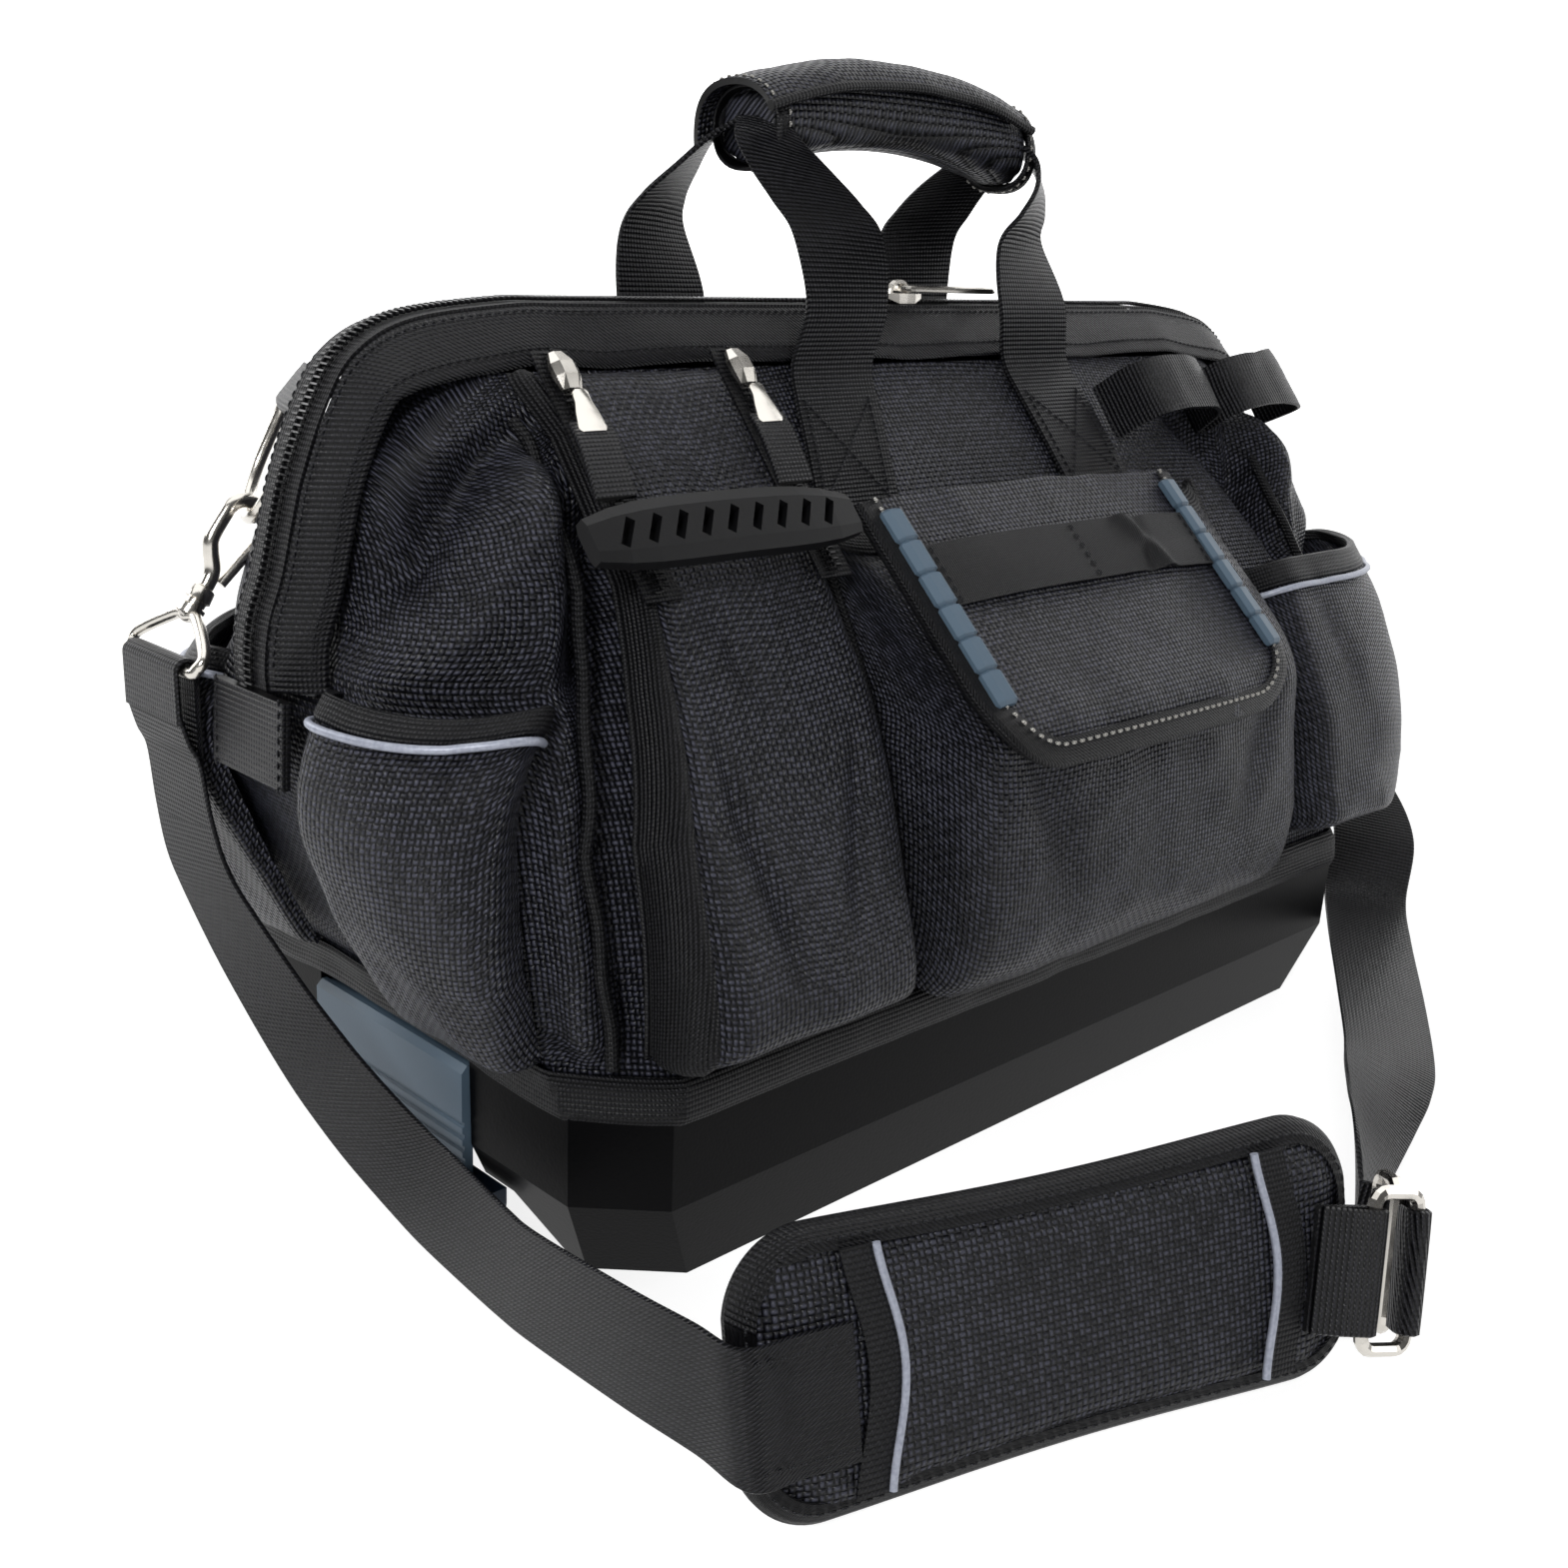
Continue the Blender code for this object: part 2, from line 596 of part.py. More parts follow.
def make_binding():
    """The bound edge that holds the cloth to the base: a band round both, just outside them."""
    half_l, half_d = BASE_LENGTH / 2, BASE_DEPTH / 2
    levels = (BASE_HEIGHT - BINDING_BELOW, BASE_HEIGHT - CLEARANCE, BASE_HEIGHT + BINDING_ABOVE)

    def outline(z, off):
        if z <= BASE_HEIGHT:
            grown = off * math.tan(math.radians(22.5))
            return np.array(plain_octagon(half_l + off, half_d + off, CORNER_CUT + grown, z))
        t = share_of(z)
        a, b, r = half_length(t) + off, half_depth(t) + off, corner_radius(t)
        return np.array(plain_octagon(a, b, r * (2 - math.sqrt(2)) + r * (1 - min(t / CHORD_HEIGHT_SHARE, 1)) / 4, z))

    inner = np.stack([outline(z, CLEARANCE) for z in levels], 1)
    outer = np.stack([outline(z, CLEARANCE + BINDING_THICKNESS) for z in levels], 1)
    add_piece("base_binding", *between(outer, inner, closed=True), "webbing")


# Zip mouth


def rim_path(count):
    """The line of the mouth in the XZ plane, from the left end up, over the top and down the right end."""
    end = np.stack([np.array(RIM_OUT_SHARES) * BASE_LENGTH / 2, np.array(RIM_RISE_SHARES) * RIM_HEIGHT], -1)
    right = np.concatenate([end, [(RIM_FLAT_HALF, RIM_HEIGHT)]])
    curve = through(right, 40)
    left = curve * (-1, 1)
    flat = np.stack([np.linspace(-RIM_FLAT_HALF, RIM_FLAT_HALF, 21)[1:-1], np.full(19, RIM_HEIGHT)], -1)
    whole = np.concatenate([left, flat, curve[::-1]])
    run = np.concatenate([[0], np.cumsum(np.linalg.norm(np.diff(whole, axis=0), axis=1))])
    places = np.linspace(0, run[-1], count)
    return np.stack([np.interp(places, run, whole[:, k]) for k in (0, 1)], -1), run[-1]


def rim_rail(path, y, drop):
    """The rim's line moved to y, and down towards the inside of the bag by a share of drop."""
    along = unit(np.gradient(path, axis=0))
    normal = np.stack([-along[:, 1], along[:, 0]], -1)
    share = mix(HEM_END_DROP_SHARE, 1, np.abs(normal[:, 1:]) ** 4)
    moved = path - normal * drop * share
    return np.stack([moved[:, 0], np.full(len(path), y), moved[:, 1]], -1)


def rim_band(count, inner_y, outer_y, depth, thickness):
    """A slanting band beside the zip, between two rails, depth below the hem's outer face."""
    path = rim_path(count)[0]
    shares = np.array([inner_y, mix(inner_y, outer_y, 0.5), outer_y])
    across = (np.abs(shares) - HEM_INNER) / (HEM_OUTER - HEM_INNER)
    rails = [rim_rail(path, y, HEM_DROP * k) for y, k in zip(shares, across)]
    grid = np.stack(rails, 1)
    normal = np.cross(np.gradient(grid, axis=0), np.gradient(grid, axis=1))
    normal = unit(normal)
    centre = np.array([0, 0, mix(BODY_FOOT, BODY_TOP, 0.6)])
    flip = np.sign(np.sum(normal * (grid - centre), -1, keepdims=True))
    normal = normal * flip
    return between(grid - normal * depth, grid - normal * (depth + thickness))


def make_mouth():
    for name, sign in (("front", -1), ("rear", 1)):
        add_piece("hem_" + name, *rim_band(49, sign * HEM_INNER, sign * HEM_OUTER, 0, HEM_THICKNESS), "webbing")
        strip = rim_band(49, sign * FRAME_INNER, sign * FRAME_OUTER, HEM_THICKNESS + 2 * CLEARANCE, FRAME_THICKNESS)
        add_piece("frame_" + name, *strip, "steel")
    length = rim_path(9)[1]
    teeth = int(length / CHAIN_PITCH)
    path = rim_path(2 * teeth + 1)[0]
    along = unit(np.gradient(path, axis=0))
    normal = np.stack([-along[:, 1], along[:, 0]], -1)
    rings = []
    for i, (place, out) in enumerate(zip(path, normal)):
        crest = CHAIN_HEIGHT if i % 2 else CHAIN_HEIGHT / 2
        section = [
            (-ZIP_HALF, -ZIP_TAPE), (ZIP_HALF, -ZIP_TAPE), (ZIP_HALF, 0), (CHAIN_HALF, 0),
            (CHAIN_HALF / 2, crest), (-CHAIN_HALF / 2, crest), (-CHAIN_HALF, 0), (-ZIP_HALF, 0)]
        rings.append([(place[0] + out[0] * h, y, place[1] + out[1] * h) for y, h in section])
    add_piece("main_zip", *loft(rings), "zip", smooth_deg=20)
    for side, sign in SIDES.items():
        foot = path[0] if sign < 0 else path[-1]
        down = np.array([sign * abs(along[0][0]), 0, -abs(along[0][1])])
        start = np.array([foot[0], 0, foot[1]]) + down * CLEARANCE
        end = start + down * TAB_LENGTH
        tab = band([start, mix(start, end, 0.5), end], [(0, 1, 0)] * 3, 2 * TAB_HALF, TAB_THICKNESS)
        add_piece("zip_tab_" + side, *tab, "webbing")


def make_main_slider():
    base = RIM_HEIGHT + CHAIN_HEIGHT + GAP
    half = SLIDER_LENGTH / 2
    nose_shares = (0.55, 0.95, 1, 1, 0.8)
    places = np.linspace(-half, half, len(nose_shares))
    rings = []
    for x, share in zip(places, nose_shares):
        w = SLIDER_HALF * share
        wall = SLIDER_PLATE / 2
        inner = max(w - wall, CHAIN_HALF / 2)
        low = RIM_HEIGHT + GAP if share > 0.9 else base
        section = [
            (-w, low), (-inner, low), (-inner, base), (inner, base), (inner, low), (w, low),
            (w, base + SLIDER_PLATE), (-w, base + SLIDER_PLATE)]
        rings.append([(x, y, z) for y, z in section])
    frame = Matrix.Translation((SLIDER_PLACE, 0, 0))
    slider = add_piece("main_slider", *loft(rings), "nickel", frame)
    top = base + SLIDER_PLATE
    hump = arc((0, top), SLIDER_BRIDGE, 0, 180, 8) + arc((0, top), SLIDER_BRIDGE - PULL_WIRE * 1.2, 180, 0, 8)
    hump = [(x, z - PULL_WIRE / 2) for x, z in hump]
    bridge = add_piece("main_slider_bridge", *prism(hump, -PULL_WIRE, PULL_WIRE), "nickel", frame)
    join(slider, bridge, "UNION")
    pivot = top + PULL_WIRE + CLEARANCE
    loop = rounded_loop(PULL_LENGTH, PULL_HALF, PULL_HALF * 0.75)
    path = [(x, y, 0) for x, y in loop]
    axis = Matrix.Translation((SLIDER_PLACE, 0, pivot)) @ Matrix.Rotation(math.radians(PULL_YAW_DEG), 4, "Z")
    add_piece("main_slider_pull", *tube(path, PULL_WIRE, 8, closed=True), "nickel", axis)


def rounded_loop(length, half, radius, steps=4):
    """A flat loop of wire from x = 0 to x = length, with round corners."""
    points = []
    for x, y, start in ((radius, half - radius, 90), (radius, -half + radius, 180),
                        (length - radius, -half + radius, 270), (length - radius, half - radius, 0)):
        points += arc((x, y), radius, start, start + 90, steps)
    return points


# Twin zip pocket


def twin_depth(t):
    """How far the twin pocket stands off the body at a share of the height."""
    return np.interp(t, TWIN_LEVEL_SHARES, TWIN_DEPTH_SHARES) * TWIN_DEPTH


def pocket_sheet(s_grid, t_grid, depth):
    """A pocket: a sheet that stands off the body by depth, and meets it where the depth is nothing."""
    off = POCKET_STAND + POCKET_CLOTH + depth
    return between(body_point(s_grid, t_grid, off), body_point(s_grid, t_grid, off - POCKET_CLOTH))


def edge_columns(shares):
    return np.array(shares)[None, :]


SIDE_COLUMN_SHARES = (0, 0.012, 0.06, 0.2, 0.35, 0.5, 0.65, 0.8, 0.94, 0.988, 1)
SIDE_DEPTH_SHARES = (0, 0.45, 0.86, 1, 1, 1, 1, 1, 0.86, 0.45, 0)


def make_twin_pocket():
    rows = np.array(TWIN_LEVEL_SHARES)[:, None]
    left = TWIN_SEAM_GAP - seam(rows)
    right = -mix(TWIN_INNER_LOW, TWIN_INNER, np.clip(rows * 2, 0, 1))
    s_grid = mix(left, right, edge_columns(SIDE_COLUMN_SHARES))
    depth = twin_depth(rows) * edge_columns(SIDE_DEPTH_SHARES)
    add_piece("twin_pocket", *pocket_sheet(s_grid, rows + 0 * s_grid, depth), "cloth", warped=True)


def zip_line(count, off):
    t = np.linspace(TWIN_ZIP_FOOT_SHARE, TWIN_ZIP_TOP_SHARE - TWIN_TOP_STEP_SHARE, count)
    return body_point(0, t, POCKET_STAND + POCKET_CLOTH + twin_depth(t) + off)


def make_pocket_zips():
    """Two straight zips down the slanting face, with the sliders at their tops."""
    line = zip_line(9, ZIP_STAND)
    top = line[-1]
    run = np.linalg.norm(line[0] - top)
    down = (line[0] - top) / run
    top, run = top - down * ZIP_RISE, run + ZIP_RISE
    out = np.cross((1, 0, 0), down)
    out = out if out[1] < 0 else -out
    names = ("left", "right")
    for name, place in zip(names, TWIN_ZIP_PLACES):
        teeth = int(run / CHAIN_PITCH)
        steps = np.linspace(0, run, 2 * teeth + 1)
        rings = []
        for i, step in enumerate(steps):
            crest = POCKET_CHAIN_HEIGHT if i % 2 else POCKET_CHAIN_HEIGHT / 2
            section = [
                (-POCKET_ZIP_HALF, 0), (POCKET_ZIP_HALF, 0), (POCKET_ZIP_HALF, POCKET_ZIP_TAPE),
                (POCKET_CHAIN_HALF, POCKET_ZIP_TAPE), (POCKET_CHAIN_HALF / 2, POCKET_ZIP_TAPE + crest),
                (-POCKET_CHAIN_HALF / 2, POCKET_ZIP_TAPE + crest), (-POCKET_CHAIN_HALF, POCKET_ZIP_TAPE),
                (-POCKET_ZIP_HALF, POCKET_ZIP_TAPE)]
            middle = top + down * step + np.array([-place, 0, 0])
            rings.append([middle + np.array([x, 0, 0]) + out * h for x, h in section])
        add_piece("pocket_zip_" + name, *loft(rings), "zip", smooth_deg=20)
    return top, down, out


def make_pocket_sliders(top, down, out):
    """Sliders, webbing pulls and the rubber bar that joins them, hung from the sliders' cross pins."""
    base = POCKET_ZIP_TAPE + POCKET_CHAIN_HEIGHT + GAP
    start = POCKET_SLIDER_LENGTH * 0.2
    turn = Matrix(((1, 0, 0), (0, -down[1], out[1]), (0, -down[2], out[2]))).to_4x4()
    for name, place in zip(("left", "right"), TWIN_ZIP_PLACES):
        origin = top + down * start + np.array([-place, 0, 0]) + out * base
        frame = Matrix.Translation(origin) @ turn
        width_shares = (0.6, 1, 1, 0.75)
        places = np.linspace(0, -POCKET_SLIDER_LENGTH, len(width_shares))
        height_shares = (0.5, 1, 1, 0.55)
        rings = []
        for y, w, h in zip(places, width_shares, height_shares):
            half, tall = POCKET_SLIDER_HALF * w, POCKET_SLIDER_HEIGHT * h
            rings.append([(-half, y, 0), (half, y, 0), (half, y, tall / 2), (half / 2, y, tall),
                          (-half / 2, y, tall), (-half, y, tall / 2)])
        add_piece("pocket_slider_" + name, *loft(rings), "nickel", frame)
    hinge = top + down * (start + POCKET_SLIDER_LENGTH + PULL_WEB_THICKNESS) + out * (base + POCKET_SLIDER_HEIGHT / 2)
    middle = -sum(TWIN_ZIP_PLACES) / 2
    axis = Matrix.Translation((middle, hinge[1], hinge[2]))
    reach = down * PULL_WEB_LENGTH + out * BAR_STAND + np.array([-BAR_SHIFT, 0, 0])
    for name, place in zip(("left", "right"), TWIN_ZIP_PLACES):
        start = np.array([-place - middle, 0, 0])
        path = np.array([start, start + reach / 2, start + reach])
        web = band(path, [(1, 0, 0)] * 3, 2 * PULL_WEB_HALF, PULL_WEB_THICKNESS)
        add_piece("pull_webbing_" + name, *web, "webbing", axis)
    make_pull_bar(axis, reach, down, out)


def make_pull_bar(axis, reach, down, out):
    """A bowed rubber bar with a row of slanting slots through its face."""
    centre = reach + down * (BAR_HEIGHT / 2 + GAP + 2 * CLEARANCE)
    places = np.linspace(-1, 1, 11)
    rings = []
    for share in places:
        tall = BAR_HEIGHT * (1 - 0.35 * share**4)
        deep = BAR_THICKNESS * (1 - 0.3 * share**4)
        bow = down * BAR_BOW * share**2
        middle = np.array([share * BAR_HALF, 0, 0]) + centre + bow
        section = [(-0.5, -0.3), (-0.5, 0.3), (-0.3, 0.5), (0.3, 0.5), (0.5, 0.3), (0.5, -0.3), (0.3, -0.5), (-0.3, -0.5)]
        rings.append([middle + down * tall * a + out * deep * b for a, b in section])
    bar = add_piece("pull_bar", *loft(rings), "rubber", axis)
    lean = math.radians(BAR_SLOT_LEAN_DEG)
    pitch = 2 * BAR_HALF * 0.86 / BAR_SLOTS
    slots_vertices, slots_faces = [], []
    for i in range(BAR_SLOTS):
        x = (i - (BAR_SLOTS - 1) / 2) * pitch
        along = np.array([math.sin(lean), 0, 0]) - down * math.cos(lean)
        side = np.cross(along, out)
        middle = np.array([x, 0, 0]) + centre + down * BAR_BOW * (x / BAR_HALF) ** 2
        corners = [(-1, -1), (1, -1), (1, 1), (-1, 1)]
        first = len(slots_vertices)
        for level in (-BAR_THICKNESS, BAR_THICKNESS * 1.2):
            for a, b in corners:
                slots_vertices.append(
                    middle + along * a * BAR_SLOT_LENGTH / 2 + side * b * BAR_SLOT_WIDTH / 2 + out * level)
        box = [(0, 1, 2, 3), (4, 5, 6, 7), (0, 1, 5, 4), (1, 2, 6, 5), (2, 3, 7, 6), (3, 0, 4, 7)]
        slots_faces += [tuple(first + k for k in face) for face in box]
    join(bar, add_piece("pull_bar_slots_cut", slots_vertices, slots_faces, "rubber", axis), "DIFFERENCE")


# Middle pocket and flap


def make_middle_pocket():
    """A full pocket: its middle follows its own profile, and its sides and foot meet the panel."""
    rows = np.array(MIDDLE_LEVEL_SHARES)[:, None]
    s_grid = mix(MIDDLE_LEFT, MIDDLE_RIGHT, edge_columns(SIDE_COLUMN_SHARES)) + 0 * rows
    cloth = body_point(s_grid, rows + 0 * s_grid, POCKET_STAND + POCKET_CLOTH)
    under = body_point(s_grid, rows + 0 * s_grid, POCKET_STAND)
    full = edge_columns(SIDE_DEPTH_SHARES) * (rows > MIDDLE_LEVEL_SHARES[0])
    profile = np.stack([-np.array(MIDDLE_OUT_SHARES) * BASE_DEPTH, np.array(MIDDLE_RISE_SHARES) * BODY_TOP], -1)
    shift = (profile[:, None, :] - cloth[..., 1:]) * full[..., None]
    outward = unit(np.gradient(profile, axis=0)[:, ::-1] * (-1, 1))
    outer, inner = cloth.copy(), under.copy()
    outer[..., 1:] += shift
    inner[..., 1:] = mix(under[..., 1:], outer[..., 1:] - outward[:, None, :] * POCKET_CLOTH, full[..., None] > 0.4)
    add_piece("middle_pocket", *between(outer, inner), "cloth", warped=True)


def flap_profile(steps):
    """Points down the flap's face from its hinge, and the way out of it: straight, then turning down."""
    fine = np.linspace(0, FLAP_DROP * 1.1, 200)
    past = np.clip((fine / FLAP_DROP - FLAP_BEND_SHARE) / (1 - FLAP_BEND_SHARE), 0, 1)
    lean = np.radians(mix(FLAP_LEAN_DEG, FLAP_FOOT_LEAN_DEG, past))
    pace = fine[1]
    y, z = -np.cumsum(np.sin(lean)) * pace, -np.cumsum(np.cos(lean)) * pace
    at = [np.interp(steps, fine, values) for values in (y, z, lean)]
    down = np.stack([0 * at[0], at[0], at[1]], -1)
    return down, np.stack([0 * at[2], -np.cos(at[2]), np.sin(at[2])], -1)


def flap_outline(inset=0.0):
    """Half widths of the flap down its height: straight sides, then round corners."""
    drop = FLAP_DROP - inset
    half = (FLAP_RIGHT - FLAP_LEFT) / 2 - inset
    radius = FLAP_CORNER - inset
    steps = [0, 0.25 * drop, 0.5 * drop, drop - radius]
    widths = [half] * 4
    for angle in (22.5, 45, 67.5, 82):
        steps.append(drop - radius + radius * math.sin(math.radians(angle)))
        widths.append(half - radius + radius * math.cos(math.radians(angle)))
    return np.array(steps), np.array(widths)


def make_flap():
    middle = (FLAP_LEFT + FLAP_RIGHT) / 2
    whole = (FLAP_RIGHT - FLAP_LEFT) / 2
    axis = Matrix.Translation((middle, -FLAP_HINGE_OUT, FLAP_HINGE_HEIGHT))

    def on_flap(steps, x, off):
        """Points of the crowned flap, at distances down it, across it and off its face."""
        down, out = flap_profile(steps)
        crown = FLAP_CROWN * (1 - (x / whole) ** 2)
        return down + np.array([1, 0, 0]) * x[..., None] + out * (crown + off)[..., None]

    steps, widths = flap_outline()
    x = widths[:, None] * np.linspace(-1, 1, 9)[None, :]
    grid = steps[:, None] + 0 * x
    add_piece("flap", *between(on_flap(grid, x, 0), on_flap(grid, x, -FLAP_THICKNESS)), "cloth", axis)
    steps, widths = flap_outline(-FLAP_BORDER / 2 - GAP)
    x = np.concatenate([-widths, widths[::-1]])
    path = on_flap(np.concatenate([steps, steps[::-1]]), x, -FLAP_THICKNESS / 2)
    add_piece("flap_binding", *tube(path, FLAP_BORDER / 2, 6), "webbing", axis)
    pitch = FLAP_STRIP_LENGTH / FLAP_SEGMENTS
    for side, sign in SIDES.items():
        place = sign * (whole - FLAP_STRIP_INSET)
        notches = [(i * pitch + at, full) for i in range(FLAP_SEGMENTS)
                   for at, full in ((0, False), (FLAP_NOTCH, True), (pitch - FLAP_NOTCH, True))]
        rings = []
        for at, full in notches + [(FLAP_STRIP_LENGTH, False)]:
            half = FLAP_STRIP_HALF - (0 if full else FLAP_NOTCH)
            tall = FLAP_STRIP_THICKNESS - (0 if full else FLAP_NOTCH)
            section = np.array([(-half, 0), (half, 0), (half, tall * 0.6), (half * 0.5, tall),
                                (-half * 0.5, tall), (-half, tall * 0.6)])
            rings.append(on_flap(np.full(6, FLAP_STRIP_TOP + at), place + section[:, 0], CLEARANCE + section[:, 1]))
        add_piece("flap_strip_" + side, *loft(rings), "catch", axis, smooth_deg=25)
    half = whole - FLAP_STRIP_INSET - FLAP_STRIP_HALF - CLEARANCE
    x, steps = np.meshgrid(np.linspace(-half, half, 9), ELASTIC_TOP + ELASTIC_HEIGHT * np.linspace(0, 1, 3))
    outer = on_flap(steps, x, CLEARANCE + ELASTIC_THICKNESS)
    add_piece("elastic_band", *between(outer, on_flap(steps, x, CLEARANCE)), "elastic", axis)


# Tool loops and slip pockets


def make_tool_loops():
    """One webbing sewn down between its loops, which stand off the panel for tools."""
    columns = []
    offs = []
    for i in range(LOOP_COUNT):
        for share, depth in ((0.03, 0), (0.12, 0.75), (0.3, 1), (0.5, 1.04), (0.7, 1), (0.88, 0.75), (0.97, 0)):
            columns.append(LOOP_LEFT + (i + share) * LOOP_PITCH)
            offs.append(depth * LOOP_DEPTH)
    s_grid = np.array(columns)[None, :] + np.zeros((3, 1))
    t_grid = np.linspace(LOOP_FOOT_SHARE, LOOP_TOP_SHARE, 3)[:, None] + 0 * s_grid
    off = GAP + LOOP_THICKNESS + np.array(offs)[None, :] + 0 * s_grid
    outer = body_point(s_grid, t_grid, off)
    inner = body_point(s_grid, t_grid, off - LOOP_THICKNESS)
    add_piece("tool_loops", *between(outer, inner), "webbing")


def make_side_pocket():
    rows = np.array(SIDE_POCKET_LEVEL_SHARES)[:, None]
    s_grid = mix(SIDE_POCKET_START, SIDE_POCKET_START + SIDE_POCKET_REACH, edge_columns(SIDE_COLUMN_SHARES)) + 0 * rows
    depth = SIDE_POCKET_DEPTH * edge_columns(SIDE_DEPTH_SHARES) * np.array(SIDE_POCKET_DEPTH_SHARES)[:, None]
    add_piece("side_pocket", *pocket_sheet(s_grid, rows + 0 * s_grid, depth), "cloth")


def make_end_pockets():
    """Two slip pockets on the left end, one each side of the zip's tab."""
    rows = np.array(END_POCKET_LEVEL_SHARES)[:, None]
    reach = mix(END_POCKET_FAR, END_POCKET_NEAR, edge_columns(SIDE_COLUMN_SHARES))
    depth = END_POCKET_DEPTH * edge_columns(SIDE_DEPTH_SHARES) * np.array(END_POCKET_DEPTH_SHARES)[:, None]
    for name, turn in (("front", 1), ("rear", -1)):
        s_grid = turn * reach - round_length(rows)
        stand = depth if turn > 0 else depth * REAR_POCKET_SHARE
        add_piece("end_pocket_" + name, *pocket_sheet(s_grid, rows + 0 * s_grid, stand), "cloth")


# Carrying handle


def make_handle_straps():
    """Four webbings, each sewn flat to a panel at its foot and free above the hem, up to the grip."""
    sewn = np.linspace(SEWN_FOOT_SHARE, SEWN_TOP_SHARE, 5)
    hem_edge = -HEM_OUTER - WEBBING_THICKNESS / 2 - LEG_OUT
    grip_foot = GRIP_CENTRE - GRIP_ARCH * (HANDLE_TOP_HALF / GRIP_HALF) ** 2 - GRIP_HALF_HEIGHT - CLEARANCE
    cloth = body_point(0, sewn, GAP + CLEARANCE + WEBBING_THICKNESS / 2)
    free = [
        (0, hem_edge - CLEARANCE, BODY_TOP + CLEARANCE), (0, hem_edge, RIM_HEIGHT),
        (0, mix(hem_edge, -LEG_TOP_HALF_GAP, 0.45), mix(RIM_HEIGHT, grip_foot, 0.5)),
        (0, -LEG_TOP_HALF_GAP, grip_foot)]
    knots = np.concatenate([cloth, free])
    heights = (cloth[0, 2], RIM_HEIGHT, grip_foot)
    for side, sign in SIDES.items():
        for face, mirror in (("front", 1), ("rear", -1)):
            places = HANDLE_FRONT_PLACES if face == "front" else HANDLE_REAR_PLACES
            knots[:, 0] = np.interp(knots[:, 2], heights, (*places[side], HANDLE_TOP_HALF * sign))
            path = through(knots, 22) * (1, mirror, 1)
            strap = band(path, [(1, 0, 0)] * len(path), WEBBING, WEBBING_THICKNESS, skewed=True)
            add_piece("handle_strap_" + face + "_" + side, *strap, "webbing")


def make_grip():
    """The padded wrap that gathers the straps, hung on the sway axis at the height of the rim."""
    axis = Matrix.Translation((0, 0, RIM_HEIGHT))
    lift = GRIP_CENTRE - RIM_HEIGHT
    turns = np.arange(16) / 16 * TAU
    cosine, sine = [np.sign(f(turns)) * np.abs(f(turns)) ** GRIP_SQUARE_SHARE for f in (np.cos, np.sin)]
    rings = []
    for share in np.linspace(-1, 1, 13):
        full = 1 - GRIP_END_SHARE * abs(share) ** 8
        level = lift - GRIP_ARCH * share**2
        y, z = GRIP_HALF_DEPTH * full * cosine, GRIP_HALF_HEIGHT * full * sine + level
        rings.append(np.stack([np.full(16, share * GRIP_HALF), y, z], -1))
    add_piece("handle_grip", *loft(rings), "cloth", axis)
    shares = np.linspace(-1, 1, 9)[:, None]
    angles = np.radians(np.linspace(*GRIP_LIP_DEG, 7))[None, :]

    def curl(extra):
        """The wrap's free edge, curled over the grip's top at a distance from it."""
        level = lift - GRIP_ARCH * (shares * GRIP_LIP_HALF / GRIP_HALF) ** 2
        side = np.sign(np.cos(angles)) * np.abs(np.cos(angles)) ** GRIP_SQUARE_SHARE
        return np.stack(np.broadcast_arrays(
            shares * GRIP_LIP_HALF, -(GRIP_HALF_DEPTH + extra) * side,
            level + (GRIP_HALF_HEIGHT + extra) * np.sin(angles) ** GRIP_SQUARE_SHARE), -1)

    lip = between(curl(2 * CLEARANCE + GRIP_LIP_THICKNESS), curl(2 * CLEARANCE))
    add_piece("handle_grip_lip", *lip, "cloth", axis)


# Rings, hooks and strap


def ring_frame(sign):
    """The frame of an end ring: its origin on the ring's bar, X along the bar, Y out of the cloth, Z up the cloth."""
    stand = GAP + RING_TAB_THICKNESS + CLEARANCE + RING_WIRE + RING_STAND
    s = round_length(RING_HEIGHT_SHARE) + RING_BACK
    place = body_point(s, RING_HEIGHT_SHARE, stand)
    return Matrix.Translation(place * (sign, 1, 1)) @ hung(sign, RING_TURN_DEG, RING_LEAN_DEG)


def hung(sign, turn_deg, lean_deg):
    """The turn of a piece hung at an end: Y out of the cloth, turned to the rear, and Z up, leant back over it."""
    turn, lean = math.radians(turn_deg), math.radians(lean_deg)
    flat = np.array([math.cos(turn) * sign, math.sin(turn), 0])
    upright = np.array([0, 0, 1])
    up = upright * math.cos(lean) - flat * math.sin(lean)
    out = flat * math.cos(lean) + upright * math.sin(lean)
    return Matrix((np.cross(out, up), out, up)).transposed().to_4x4()


